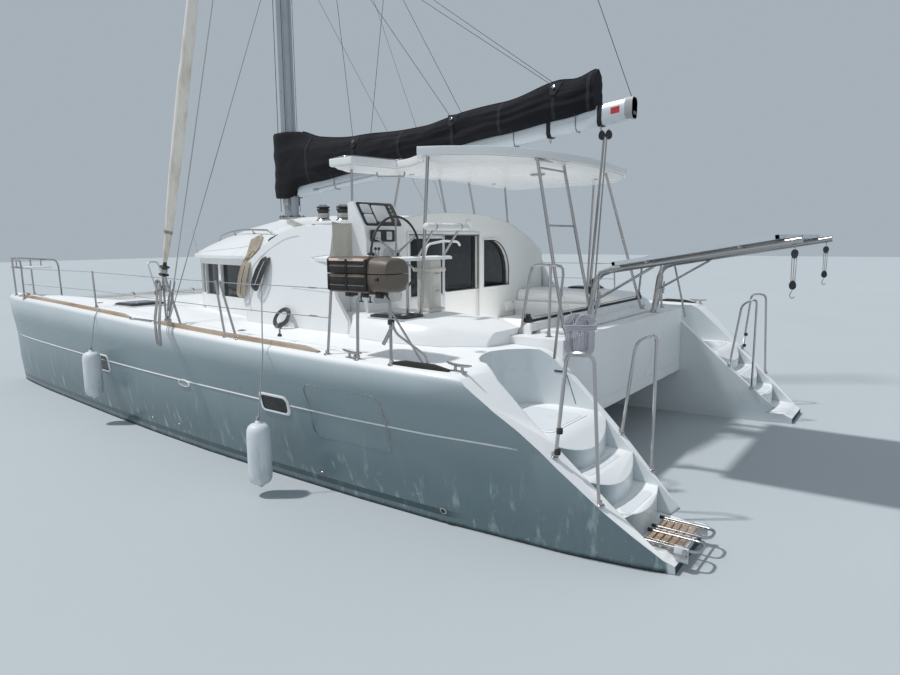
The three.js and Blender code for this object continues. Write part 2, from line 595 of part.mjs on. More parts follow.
function steeringWheel() {
  const rim = solid(new THREE.TorusGeometry(WHEEL.radius, 13, 6, 32).rotateY(Math.PI / 2)
    .translate(WHEEL.x, WHEEL.y, WHEEL.z));
  const hub = bar(v(WHEEL.x + 20, WHEEL.y, WHEEL.z), v(WHEEL.x - 25, WHEEL.y, WHEEL.z), 38, 12);
  const spokes = [0, 1, 2, 3, 4].map((k) => {
    const angle = rad(90 + 72 * k);
    const end = v(WHEEL.x, WHEEL.y + WHEEL.radius * Math.cos(angle),
        WHEEL.z + WHEEL.radius * Math.sin(angle));
    return bar(v(WHEEL.x, WHEEL.y, WHEEL.z), end, 7, 6);
  });
  const bore = bar(v(WHEEL.x + 40, WHEEL.y, WHEEL.z), v(WHEEL.x - 21.5, WHEEL.y, WHEEL.z),
      WHEEL.shaft + 0.9, 12);
  return cut(join(rim, hub, spokes), bore);
}
add('steering_wheel', steeringWheel(), BLACK);

const BENCH = { fore: -2640, aft: -2920, port: 2290, starboard: 1320, z: 2180, back: -3110 };
function helmSeat() {
  const plank = box(BENCH.aft, BENCH.fore, BENCH.starboard, BENCH.port, BENCH.z - 35, BENCH.z);
  const pedestal = box(-2880, -2690, 1500, 1690, 1400, BENCH.z - 20);
  const leg = bar(v(-2800, 1970, 1500), v(-2800, 1970, BENCH.z - 20), 25, 8);
  const poles = [1480, 1900].map((y) => bar(v(-2870, y, BENCH.z - 100), v(BENCH.back, y, 2480), 14));
  const ties = [1480, 1900].map((y) => bar(v(-2875, y, BENCH.z - 90), v(-2800, y, BENCH.z - 20), 14));
  const roll = bar(v(BENCH.back, 1330, 2480), v(BENCH.back, 2070, 2480), 36, 10);
  return cut(join(plank, pedestal, leg, poles, ties, roll), cockpitGrown);
}
add('helm_seat', helmSeat(), GELCOAT);

const WINCHES = [{ x: -1520, y: 1830 }, { x: -1830, y: 1720 }];
function winches() {
  const drum = [[0, 0], [78, 0], [78, 30], [52, 50], [46, 110], [62, 150], [62, 165], [40, 190], [0, 190]];
  const pad = box(-1940, -1400, 1600, 1960, 2515 + SEAT_GAP, 2535);
  return join(pad, WINCHES.map((w) => turned(drum, w.x, w.y, 2530)));
}
add('winches', winches(), BLACK);

// Bimini over the helm and the cockpit

const BIMINI = { z: 3150, thick: 80, half: 2070 };
const BIMINI_CROWN = [
  { x: -1500, crown: 20 }, { x: -1900, crown: 35 }, { x: -2700, crown: 60 }, { x: -3400, crown: 55 },
  { x: -3800, crown: 40 },
];
// Its plan, with the helmsman's notch in the port edge
const BIMINI_PLAN = [
  [-1560, -1960], [-1620, -2040], [-3150, -2050], [-3520, -1900], [-3700, -1480], [-3760, -700],
  [-3760, 300],
  [-3680, 850], [-3500, 1440], [-3220, 1850], [-3000, 2040], [-2930, 1940], [-2520, 1400], [-2200, 1190],
  [-1960, 1120], [-1960, 1860], [-1620, 1860], [-1560, 1780],
];
const ACROSS = Array.from({ length: 9 }, (_, k) => lerp(-BIMINI.half, BIMINI.half, k / 8));
const crownAt = (crown, y) => BIMINI.z + crown * (1 - (y / BIMINI.half) ** 2);
function biminiTop() {
  const ring = ({ x, crown }) => {
    const under = ACROSS.map((y) => v(x, y, crownAt(crown, y)));
    return [...under.map((p) => v(x, p.y, p.z + BIMINI.thick)), ...under.reverse()];
  };
  return loft(BIMINI_CROWN.map(ring)).intersect(prism(BIMINI_PLAN.slice().reverse(), 'z', 3000, 3500));
}
add('bimini_top', biminiTop(), GELCOAT);

// Posts from the coaming and the cockpit's rim, and struts from the roof, each up to a hoop
const BIMINI_POSTS = [
  { x: -2960, y: 1960, z: 1540, topX: -3040, topY: 1915 },
  { x: -4120, y: 1100, z: 1400, topX: -3640, topY: 850 },
  { x: -4120, y: 420, z: 1400, topX: -3640, topY: 250 },
  { x: -4120, y: -1100, z: 1400, topX: -3640, topY: -900 },
  { x: -2960, y: -1960, z: 1540, topX: -3040, topY: -1940 },
];
const BIMINI_STRUTS = [
  { x: -1972, y: 1880, z: 2480, topX: -1820, topY: 1720 },
  { x: -1960, y: 1230, z: 2540, topX: -1820, topY: 880 },
  { x: -1960, y: 150, z: 2600, topX: -1820, topY: 150 },
  { x: -1960, y: -520, z: 2560, topX: -1820, topY: -520 },
  { x: -1960, y: -1380, z: 2400, topX: -1820, topY: -1480 },
];
const BIMINI_HOOPS = [
  { x: -1820, crown: 31, from: -1500, to: 1740 }, { x: -3040, crown: 57, from: -1950, to: 1925 },
  { x: -3640, crown: 45, from: -920, to: 870 },
];
function biminiFrame() {
  const up = ({ x, y, z, topX, topY }, radius) => bar(v(x, y, z), v(topX, topY, BIMINI.z + 60), radius);
  const posts = BIMINI_POSTS.map((post) => up(post, 17));
  const struts = BIMINI_STRUTS.map((strut) => up(strut, 14));
  const rungEnd = ({ x, y, z, topX, topY }, t) => {
    return v(lerp(x, topX, t), lerp(y, topY, t), lerp(z, BIMINI.z + 60, t));
  };
  const rungs = [0.6, 0.93].map((t) => bar(rungEnd(BIMINI_POSTS[1], t), rungEnd(BIMINI_POSTS[2], t), 11));
  const hoops = BIMINI_HOOPS.map(({ x, crown, from, to }) => {
    const ys = [from, ...ACROSS.filter((y) => y > from + 60 && y < to - 60), to];
    return tube(ys.map((y) => v(x, y, crownAt(crown, y) - 16)), 15);
  });
  const rafters = [150, -520].map((y) => tube(BIMINI_HOOPS.map(({ x, crown }) => v(x, y,
      crownAt(crown, y) - 16)), 15));
  return join(posts, struts, rungs, hoops, rafters);
}
// Everything over the bimini's underside
function overUnderside() {
  const ring = ({ x, crown }) => {
    const under = ACROSS.map((y) => v(x, y, crownAt(crown, y) - SEAT_GAP));
    return [v(x, -BIMINI.half, 3600), v(x, BIMINI.half, 3600), ...under.reverse()];
  };
  return loft(BIMINI_CROWN.map(ring));
}
const shoulderGrown = shoulder().translate([0, 0, SEAT_GAP]);
add('bimini_frame', cut(biminiFrame(), overUnderside(), roofGrown, shoulderGrown, cockpitGrown), STEEL);

// Mast, boom, sails and standing rigging

function ellipseRing(x, y, z, a, b, sides = 14) {
  return Array.from({ length: sides }, (_, i) => {
    const angle = (i / sides) * 2 * Math.PI;
    return v(x + a * Math.cos(angle), y + b * Math.sin(angle), z);
  });
}
const SPREADERS = [{ z: 6900, reach: 1150, sweep: 420 }, { z: 10300, reach: 850, sweep: 310 }];
function mast() {
  const [a, b] = [MAST.chord / 2, MAST.width / 2];
  const spar = loft([
    ellipseRing(MAST.x, 0, MAST.foot, a, b), ellipseRing(MAST.x, 0, MAST.hounds, a, b),
    ellipseRing(MAST.x, 0, MAST.top, a * 0.6, b * 0.6),
  ]);
  const arms = SPREADERS.flatMap((s) => [1, -1].map((side) => bar(v(MAST.x - 60, side * 60, s.z),
    v(MAST.x - s.sweep, side * s.reach, s.z + 60), 45, 8, 26)));
  return join(spar, arms, gooseneck());
}

const boomZ = (x) => BOOM.z + BOOM.rise * (BOOM.x - x);
function boomRing(x, half, depth, lift = 0) {
  return [[-half, 0.2], [-half * 0.6, 0], [half * 0.6, 0], [half, 0.2], [half, 0.8], [half * 0.6, 1],
      [-half * 0.6, 1],
    [-half, 0.8]].map(([y, t]) => v(x, y, boomZ(x) + lift + (t - 0.5) * depth));
}
const mastAft = MAST.x - MAST.chord / 2;
function boom() {
  const spar = loft([boomRing(mastAft - 110, BOOM.width / 2, BOOM.depth),
      boomRing(BOOM.end, BOOM.width / 2, BOOM.depth)]);
  const knuckle = bar(v(mastAft - 50, 0, BOOM.z - 71.5), v(mastAft - 50, 0, BOOM.z + 71.5), 30, 12);
  const tongue = box(mastAft - 160, mastAft - 50, -18, 18, BOOM.z - 40, BOOM.z + 50);
  return join(spar, knuckle, tongue);
}
add('boom', boom(), ALLOY);

const BAG = [
  { x: 890, top: 3985, half: 165 }, { x: 500, top: 3900, half: 200 }, { x: -220, top: 3815, half: 215 },
  { x: -1550, top: 3850, half: 205 }, { x: -2720, top: 4010, half: 185 },
  { x: -3500, top: 4130, half: 160 },
  { x: -3930, top: 4190, half: 120 },
];
function sailBag() {
  const section = [[0.5, 0], [0.86, 0.16], [1, 0.42], [0.84, 0.72], [0.42, 0.95], [0, 1]];
  const full = [...section, ...section.slice(0, -1).reverse().map(([y, z]) => [-y, z])];
  const blank = loft(BAG.map(({ x, top, half }) => full.map(([y, z]) => {
    return v(x, y * half, lerp(boomZ(x) + BOOM.depth / 2 - 60, top, z));
  })));
  const grown = (x) => boomRing(x, BOOM.width / 2 + SEAT_GAP, BOOM.depth + 2 * SEAT_GAP);
  return cut(blank, loft([grown(1000), grown(BOOM.end)]));
}
add('sail_bag', sailBag(), CANVAS);

function gooseneck() {
  const plates = [-88, 72].map((dz) => box(mastAft - 85, mastAft + 20, -34, 34, BOOM.z + dz,
      BOOM.z + dz + 16));
  return join(plates);
}
add('mast', mast(), ALLOY);

// The sail bag's collar around the front of the mast
const COLLAR = [
  { z: 3010, a: 235, b: 150 }, { z: 3250, a: 280, b: 175 }, { z: 3700, a: 300, b: 180 },
  { z: 3990, a: 265, b: 160 },
];
function mastCollar() {
  const blank = loft(COLLAR.map(({ z, a, b }) => ellipseRing(MAST.x + 20, 0, z, a, b)));
  const [a, b] = [MAST.chord / 2 + SEAT_GAP, MAST.width / 2 + SEAT_GAP];
  const spar = [2900, 4100].map((z) => ellipseRing(MAST.x, 0, z, a, b));
  return cut(blank, loft(spar), box(800, 1120, -300, 300, 2900, 4100));
}
add('mast_collar', mastCollar(), CANVAS);

const STAY_TOP = v(MAST.x + MAST.chord / 2 + 25, 0, MAST.hounds);
const STAY_FOOT = v(DRUM.x + 20, 0, DRUM.z - 100);
function onStay(z) {
  return STAY_FOOT.clone().lerp(STAY_TOP, (z - STAY_FOOT.z) / (STAY_TOP.z - STAY_FOOT.z));
}
const SAIL_ROLL = [
  { z: 1960, r: 38 }, { z: 2250, r: 62 }, { z: 3100, r: 88 }, { z: 4300, r: 112 }, { z: 5600, r: 104 },
  { z: 7400, r: 86 }, { z: 9600, r: 66 }, { z: 11700, r: 44 }, { z: 12300, r: 32 },
];
function genoa() {
  const sides = 12;
  const along = STAY_TOP.clone().sub(STAY_FOOT).normalize();
  const side = v(0, 1, 0);
  const front = side.clone().cross(along).normalize();
  const rings = SAIL_ROLL.map(({ z, r }) => {
    const centre = onStay(z);
    return Array.from({ length: sides }, (_, i) => {
      const angle = (i / sides) * 2 * Math.PI;
      return centre.clone().addScaledVector(side, r * Math.cos(angle)).addScaledVector(front,
          r * Math.sin(angle));
    });
  });
  const luff = bar(onStay(1700), onStay(12500), 22, 10);
  const drum = join(bar(onStay(1700), onStay(1730), DRUM.radius, 16),
      bar(onStay(1730), onStay(1840), 45, 12),
    bar(onStay(1840), onStay(1870), DRUM.radius, 16));
  const bore = bar(onStay(1650), onStay(12600), 6.9, 8);
  return cut(join(loft(rings), luff, drum), bore);
}
add('furled_genoa', genoa(), SAILCLOTH);
add('forestay', bar(STAY_FOOT, STAY_TOP, 6, 8), STEEL);

const CHAINPLATE = v(-150, 3010, 1424);
function shrouds() {
  const tip = (s) => v(MAST.x - s.sweep, s.reach + 30, s.z + 66);
  const [low, high] = SPREADERS;
  const mastSide = MAST.width / 2 + 8;
  const cap = tube([CHAINPLATE, tip(low), tip(high), v(MAST.x - 30, mastSide, MAST.hounds)], 6);
  const lower = tube([CHAINPLATE, v(MAST.x - 70, mastSide, low.z - 160)], 5);
  const middle = tube([tip(low), v(MAST.x - 60, mastSide, high.z - 160)], 4);
  const plate = box(CHAINPLATE.x - 40, CHAINPLATE.x + 40, CHAINPLATE.y - 10, CHAINPLATE.y + 10, 1380, 1470);
  const screw = bar(CHAINPLATE, CHAINPLATE.clone().lerp(tip(low), 0.07), 14, 8);
  return cut(join(cap, lower, middle, plate, screw), hullGrown);
}
addPair('shrouds', shrouds(), STEEL);

// Crossbeam, trampolines and the bows

function crossbeam() {
  const { x, z, radius } = CROSSBEAM;
  const beam = bar(v(x, -2300, z), v(x, 2300, z), radius, 12);
  const fitting = box(x - 60, x + 40, -30, 30, z, STAY_FOOT.z - 2);
  const spine = box(3065, x, -75, 75, z - 40, z + 40);
  const hoop = bent([v(x + 20, -110, z), v(x + 320, -110, z + 620), v(x + 320, 110, z + 620),
      v(x + 20, 110, z)], 18);
  return cut(join(beam, fitting, spine, hoop), bothHullsGrown);
}
add('crossbeam', crossbeam(), ALLOY);

function trampoline() {
  const blank = box(3060 + SEAT_GAP, CROSSBEAM.x - 76, 80, 2500, 1345, 1357);
  return cut(blank, hullGrown);
}
addPair('trampoline', trampoline(), NETTING);

function pulpit() {
  const deck = 1440;
  const top = 2060;
  const rail = bent([v(4560, 2640, deck), v(4600, 2630, top), v(5620, 2400, top + 20),
      v(5620, 2260, top + 20),
    v(4600, 2080, top), v(4560, 2080, deck)], RAIL, 120);
  const legs = [v(5330, 2478, 0), v(5330, 2205, 0)].map((p) => bar(v(p.x - 40, p.y, deck),
      v(p.x, p.y, top + 14), RAIL));
  const seat = box(4880, 5230, 2130, 2540, 1930, 1958);
  const stays = [2150, 2520].map((y) => bar(v(5060, y, 1935), v(5060, y, top + 5), 10, 6));
  return join(rail, legs, seat, stays);
}

// Stanchions along the side deck, by foot and head
const STANCHIONS = [
  { x: 2140, y: 2690, headX: 2260, headY: 2650 }, { x: -100, y: 3000, headX: -20, headY: 2960 },
  { x: -520, y: 3050, headX: -90, headY: 2970 }, { x: -1390, y: 3130, headX: -1160, headY: 3060 },
  { x: -1600, y: 3140, headX: -1240, headY: 3065 }, { x: -2900, y: 3180, headX: -2900, headY: 3110 },
];
const LIFELINE = { top: 1940, middle: 1690, foot: 1330 };
function lifelines() {
  const posts = STANCHIONS.map((s) => bar(v(s.x, s.y, LIFELINE.foot),
      v(s.headX, s.headY, LIFELINE.top + 12), 12));
  const wires = [LIFELINE.top, LIFELINE.middle].map((z) => {
    const t = (z - LIFELINE.foot) / (LIFELINE.top + 12 - LIFELINE.foot);
    const places = [0, 1, 3, 4, 5].map((k) => STANCHIONS[k]).map(({ x, y, headX, headY }) => {
      return v(lerp(x, headX, t), lerp(y, headY, t), z);
    });
    return tube([v(4580, 2636, z), ...places], WIRE);
  });
  return join(posts, wires);
}
addPair('guardrail', cut(join(pulpit(), lifelines()), hullGrown), STEEL);

// Rails, ladder and davits at the stern

function sternRailOuter() {
  const rail = bent([v(-4940, 2900, 620), v(-5030, 2900, 1560), v(-5220, 2870, 1560),
      v(-5280, 2840, 380)], RAIL, 70);
  return cut(rail, hullGrown);
}
addPair('stern_rail_outer', sternRailOuter(), STEEL);

function sternRailInner() {
  const rail = bent([v(-5020, 1818, 620), v(-5140, 1850, 1510), v(-5310, 1850, 1590),
      v(-5310, 1850, 440)], RAIL, 70);
  return cut(rail, hullGrown);
}
addPair('stern_rail_inner', sternRailInner(), STEEL);

function pushpit() {
  const rail = bent([v(-3870, 1560, 1400), v(-3960, 1500, 2110), v(-4330, 1560, 2110),
      v(-4420, 1900, 1300)], RAIL, 90);
  const leg = bar(v(-4200, 1590, 1400), v(-4180, 1535, 2112), RAIL);
  return cut(join(rail, leg), hullGrown, cockpitGrown);
}
addPair('pushpit', pushpit(), STEEL);

function swimLadder() {
  const { x, z, near, far, pin, lug, head } = LADDER;
  const rails = [near, far].map((y) => bar(v(x - 12, y, z), v(head, y, z), 12));
  const end = bar(v(head, near, z), v(head, far, z), 12);
  const steps = [1, 2, 3].map((k) => box(x + 85 * k - 24, x + 85 * k + 24, near, far, z - 12, z + 14));
  const pivot = bar(v(x, near - 18 - lug, z), v(x, far + 18 + lug, z), pin, 10);
  return join(rails, end, steps, pivot);
}
add('swim_ladder', swimLadder(), STEEL);

const DAVIT = { x: -4480, y: 960, foot: 1440, top: 2020, end: -6180, endZ: 2330 };
function davit() {
  const arm = [v(-4300, DAVIT.y, DAVIT.foot - 60), v(-4380, DAVIT.y, DAVIT.top),
      v(DAVIT.end, DAVIT.y, DAVIT.endZ)];
  return bent(arm, 32, 160, 8);
}
addPair('davit', cut(davit(), cockpitGrown), STEEL);

function solarPanels() {
  const slope = (DAVIT.endZ - DAVIT.top) / (DAVIT.end + 4380);
  const z = (x) => DAVIT.top + slope * (x + 4380) + 32.8;
  const side = [[-4620, z(-4620)], [-6040, z(-6040)], [-6040, z(-6040) + 35], [-4620, z(-4620) + 35]];
  return prism(side, 'y', -1150, 1150);
}
add('solar_panel', solarPanels(), SOLAR);

// Barbecue on its rail

const BARBECUE = { x: -3300, y: 3060, z: 2080, length: 640 };
function barbecueRail() {
  const rail = bent([v(-3640, 3190, 1300), v(-3560, 3100, 1910), v(-3200, 3100, 1910),
      v(-3270, 3190, 1300)], RAIL, 90);
  const brace = bar(v(-3850, 2990, 1300), v(-3574, 3116, 1800), 10);
  return cut(join(rail, brace), hullGrown);
}
add('barbecue_rail', barbecueRail(), STEEL);

const HALF_PAN = [[-165, 0], [165, 0], [150, -90], [90, -135], [-90, -135], [-150, -90]];
const LID = { y: BARBECUE.y - 180, z: BARBECUE.z + 3, pin: 6, lugs: [-260, 236] };
function halfPan(flip) {
  const outline = HALF_PAN.map(([y, z]) => [BARBECUE.y + y, BARBECUE.z + (flip ? -z + 6 : z)]);
  return prism(outline, 'x', BARBECUE.x - BARBECUE.length / 2, BARBECUE.x + BARBECUE.length / 2);
}
// An eye about the lid's pin, tied to the pan or to the lid
function hingeEye(dx, up) {
  const x0 = BARBECUE.x + dx;
  const eye = bar(v(x0, LID.y, LID.z), v(x0 + 24, LID.y, LID.z), 13, 12);
  const tab = up ? box(x0, x0 + 24, LID.y, LID.y + 34, LID.z + 4, LID.z + 20)
    : box(x0, x0 + 24, LID.y, LID.y + 34, LID.z - 20, LID.z - 4);
  return join(eye, tab);
}
function barbecue() {
  const bore = bar(v(BARBECUE.x - 400, LID.y, LID.z), v(BARBECUE.x + 400, LID.y, LID.z), LID.pin + 0.6, 12);
  const eyes = cut(join(LID.lugs.map((dx) => hingeEye(dx, false))), bore);
  return join(halfPan(false), eyes, box(-3500, -3260, 3020, 3140, 1924 + SEAT_GAP, 1960));
}
function barbecueLid() {
  const eyes = LID.lugs.map((dx) => hingeEye(dx - 30, true));
  const pins = LID.lugs.map((dx) => bar(v(BARBECUE.x + dx - 20, LID.y, LID.z),
      v(BARBECUE.x + dx + 24, LID.y, LID.z), LID.pin, 10));
  return join(halfPan(true), eyes, pins);
}
add('barbecue', barbecue(), BROWN);
add('barbecue_lid', barbecueLid(), BROWN);

// Hatches, each a lid on the deck
const HATCHES = [
  { name: 'hatch_bow', x: 1900, y: 2200, long: 500, wide: 500 },
  { name: 'hatch_aft', x: -2840, y: 2190, long: 460, wide: 320 },
];
for (const h of HATCHES) {
  const z = h.name === 'hatch_aft' ? 1600 + SEAT_GAP : 1478;
  addPair(h.name, box(h.x - h.long / 2, h.x + h.long / 2, h.y - h.wide / 2, h.y + h.wide / 2, z,
      z + 35), BLACK);
}

// Fenders hanging on the port side
const FENDERS = [
  { x: 1610, y: 3062, z: 660, line: [[1610, 2986, 1330], [1610, 2966, 1420], [1610, 2902, 1490],
    [1610, 2822, 1440]] },
  { x: -2160, y: 3380, z: 400, line: [[-2150, 3282, 1330], [-2130, 3264, 1420], [-1940, 3093.2, 1950]] },
];
const FENDER_PROFILE = [[0, -360], [30, -345], [70, -320], [105, -260], [110, 0], [105, 250], [70, 310],
    [25, 340],
  [25, 380], [0, 380]];
FENDERS.forEach(({ x, y, z, line }, i) => {
  const rope = tube([v(x, y, z + 370), ...line.map((p) => v(...p))], 7);
  add(`fender_${i + 1}`, cut(join(turned(FENDER_PROFILE, x, y, z, 14), rope), hullGrown), FENDER);
});

// Saloon furniture, seen through the windows
function saloon() {
  const seat = box(-600, 1500, -1500, -900, SOLE_Z + SEAT_GAP, 1150);
  const back = box(-600, 1500, -1650, -1500, SOLE_Z + SEAT_GAP, 1380);
  const foot = box(200, 500, -900, -300, SOLE_Z + SEAT_GAP, 760);
  const post = box(300, 400, -650, -550, 750, 1300);
  const table = box(-100, 900, -850, -350, 1290, 1320);
  return join(seat, back, foot, post, table);
}
add('saloon_furniture', saloon(), UPHOLSTERY);

export default group;
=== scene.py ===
"""Looks of a cruising sailing catamaran, afloat, with its sails furled.

Metres. X points to the bow, Y to port, Z up, and z = 0 is the waterline.
"""
import json
from math import copysign, cos, exp, hypot, pi, radians, sin, sqrt

import bmesh
import bpy
from mathutils import Matrix, Vector, noise
from mathutils.bvhtree import BVHTree
from mathutils.geometry import delaunay_2d_cdt

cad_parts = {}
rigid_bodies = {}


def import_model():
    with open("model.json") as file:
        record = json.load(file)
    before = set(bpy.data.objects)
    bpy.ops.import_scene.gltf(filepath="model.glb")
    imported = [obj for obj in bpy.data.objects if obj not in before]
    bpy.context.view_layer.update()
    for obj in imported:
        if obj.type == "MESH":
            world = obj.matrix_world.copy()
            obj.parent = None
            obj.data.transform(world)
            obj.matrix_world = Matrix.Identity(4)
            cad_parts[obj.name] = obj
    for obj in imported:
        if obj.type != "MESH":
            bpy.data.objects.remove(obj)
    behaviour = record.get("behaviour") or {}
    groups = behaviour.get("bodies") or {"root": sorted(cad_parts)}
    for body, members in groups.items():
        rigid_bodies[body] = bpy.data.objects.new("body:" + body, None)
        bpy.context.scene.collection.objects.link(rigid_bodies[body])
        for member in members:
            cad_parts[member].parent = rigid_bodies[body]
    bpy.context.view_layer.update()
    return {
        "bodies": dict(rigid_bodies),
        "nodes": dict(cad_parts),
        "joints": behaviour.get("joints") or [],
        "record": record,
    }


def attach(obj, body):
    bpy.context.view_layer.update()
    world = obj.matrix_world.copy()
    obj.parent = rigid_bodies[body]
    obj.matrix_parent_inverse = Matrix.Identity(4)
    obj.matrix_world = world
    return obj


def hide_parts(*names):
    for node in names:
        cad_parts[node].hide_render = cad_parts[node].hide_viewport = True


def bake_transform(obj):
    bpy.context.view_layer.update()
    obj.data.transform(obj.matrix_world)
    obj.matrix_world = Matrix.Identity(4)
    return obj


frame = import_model()

SIDES = {"port": 1, "starboard": -1}


def vec(*axes):
    return Vector(axes)


def moved(*by):
    return Matrix.Translation(by)


def angles(parts, count=None):
    """Angles in equal steps, of which parts make a full turn."""
    return [2 * pi * k / parts for k in range(count or parts)]


MERGE = 2e-5
UP, AHEAD, TO_PORT = vec(0, 0, 1), vec(1, 0, 0), vec(0, 1, 0)


class Socket:
    """An output in a look's node tree. Arithmetic on it adds Math nodes."""

    def __init__(self, look, out):
        self.look, self.out = look, out

    def _math(self, operation, other):
        return self.look.node("Math", (self, other), operation=operation)

    def __add__(self, other):
        return self._math("ADD", other)

    __radd__ = __add__

    def __sub__(self, other):
        return self._math("SUBTRACT", other)

    def __mul__(self, other):
        return self._math("MULTIPLY", other)

    __rmul__ = __mul__

    def __truediv__(self, other):
        return self._math("DIVIDE", other)

    def over(self, low, high):
        """0 at low and 1 at high, with soft ends; low may be the larger."""
        span = {"Value": self, "From Min": low, "From Max": high}
        return self.look.node("MapRange", span, interpolation_type="SMOOTHSTEP")

    def fold(self, period):
        """A triangle wave of the value, from 0 to 1."""
        return self.look.node("Math", (self / period, 1.0), operation="PINGPONG")


class Look:
    """One material: a Principled shader and the nodes that feed it."""

    def __init__(self, name, colour, rough, **fixed):
        self.material = bpy.data.materials.new(name)
        self.material.use_nodes = True
        self.tree = self.material.node_tree
        self.shader = self.tree.nodes["Principled BSDF"]
        self.paint(Base_Color=colour, Roughness=rough, **fixed)

    def paint(self, **sockets):
        for name, value in sockets.items():
            self.plug(self.shader.inputs[name.replace("_", " ")], value)

    def plug(self, socket, value):
        if isinstance(value, Socket):
            self.tree.links.new(value.out, socket)
        elif isinstance(value, tuple) and socket.type == "RGBA":
            socket.default_value = (*value, 1)
        else:
            socket.default_value = value

    def node(self, kind, values=(), output=0, stops=None, **settings):
        made = self.tree.nodes.new("ShaderNode" + kind)
        for name, value in settings.items():
            setattr(made, name, value)
        if stops:
            ramp = made.color_ramp.elements
            while len(ramp) < len(stops):
                ramp.new(0.5)
            for element, (place, colour) in zip(ramp, stops):
                element.position, element.color = place, (*colour, 1)
        for key, value in values.items() if isinstance(values, dict) else enumerate(values):
            self.plug(made.inputs[key], value)
        return Socket(self, made.outputs[output])

    def at(self, stretch=(1, 1, 1), turn=(0, 0, 0)):
        """Object coordinates, stretched and turned."""
        place = self.node("TexCoord", output="Object")
        return self.node("Mapping", {"Vector": place, "Scale": stretch, "Rotation": turn})

    def axis(self, name):
        return self.node("SeparateXYZ", [self.node("TexCoord", output="Object")], output=name)

    def facing(self, name):
        """One axis of the surface's own normal."""
        return self.node("SeparateXYZ", [self.node("NewGeometry", output="Normal")], output=name)

    def noise(self, scale, detail=3, stretch=(1, 1, 1), rough=0.5, turn=(0, 0, 0)):
        values = {"Vector": self.at(stretch, turn), "Scale": scale, "Detail": detail, "Roughness": rough}
        return self.node("TexNoise", values)

    def cells(self, scale, stretch=(1, 1, 1), feature="F1", output="Distance"):
        values = {"Vector": self.at(stretch), "Scale": scale}
        return self.node("TexVoronoi", values, output=output, feature=feature)

    def waves(self, scale, axis="X", distort=0.0, stretch=(1, 1, 1), turn=(0, 0, 0)):
        values = {"Vector": self.at(stretch, turn), "Scale": scale, "Distortion": distort}
        return self.node("TexWave", values, output="Fac", bands_direction=axis)

    def mix(self, first, second, share):
        made = self.tree.nodes.new("ShaderNodeMix")
        made.data_type = "RGBA"
        for key, value in ((0, share), (6, first), (7, second)):
            self.plug(made.inputs[key], value)
        return Socket(self, made.outputs[2])

    def tint(self, colour, share):
        """Lays a colour over the shade so far."""
        self.shade = self.mix(self.shade, colour, share)

    def finish(self, rough, normal=None):
        self.paint(Base_Color=self.shade, Roughness=rough)
        if normal:
            self.paint(Normal=normal)

    def bump(self, height, depth, under=None):
        values = {"Height": height, "Distance": depth}
        if under is not None:
            values["Normal"] = under
        return self.node("Bump", values)

    def round_edges(self, radius):
        return self.node("Bevel", {"Radius": radius}, samples=4)


# Looks of the finishes


def gelcoat(name, colour, edge=0.012, grain=True):
    """Polished moulding: rounded edges, faint waves, chalking and non-skid patterns on level faces."""
    look = Look(name, colour, 0.28, Specular_IOR_Level=0.5)
    cloud = look.noise(0.9, 4)
    grime = look.noise(6.0, 6, rough=0.65)
    dull = tuple(c * 0.86 for c in colour)
    look.shade = look.mix(colour, dull, cloud.over(0.2, 1.0) * 0.45)
    look.tint((0.50, 0.49, 0.45), grime.over(0.55, 0.95) * 0.2)
    level = look.facing("Z").over(0.955, 0.985)
    studs = look.cells(150.0)
    rounded = look.round_edges(edge)
    waved = look.bump(look.noise(2.2, 2), 0.004, rounded)
    tread = look.bump(studs.over(0.1, 0.5) * level, 0.0006 if grain else 0.0, waved)
    look.finish(cloud * 0.18 + 0.2 + level * 0.22, tread)
    return look


WATER_STRIPE = (0.075, 0.135)
STRIPE_AFT = -3.9


def nonslip():
    """Moulded diamond pattern on the treads, with painted shade in its hollows."""
    look = Look("nonslip_gelcoat", (0.74, 0.77, 0.79), 0.6)
    across, back = look.waves(34.0, "DIAGONAL"), look.waves(34.0, "DIAGONAL", 0.0, (1, -1, 1))
    studs = (across * back).over(0.15, 0.5)
    dirt = look.noise(6.0, 5, rough=0.6)
    # The bluish grey in the pattern's hollows is painted shade.
    look.shade = look.mix((0.60, 0.64, 0.67), (0.82, 0.84, 0.85), studs * 0.5 + 0.4)
    look.tint((0.50, 0.50, 0.47), dirt.over(0.5, 0.8) * 0.3)
    look.finish(dirt * 0.2 + 0.45, look.bump(studs, 0.0012))
    return look


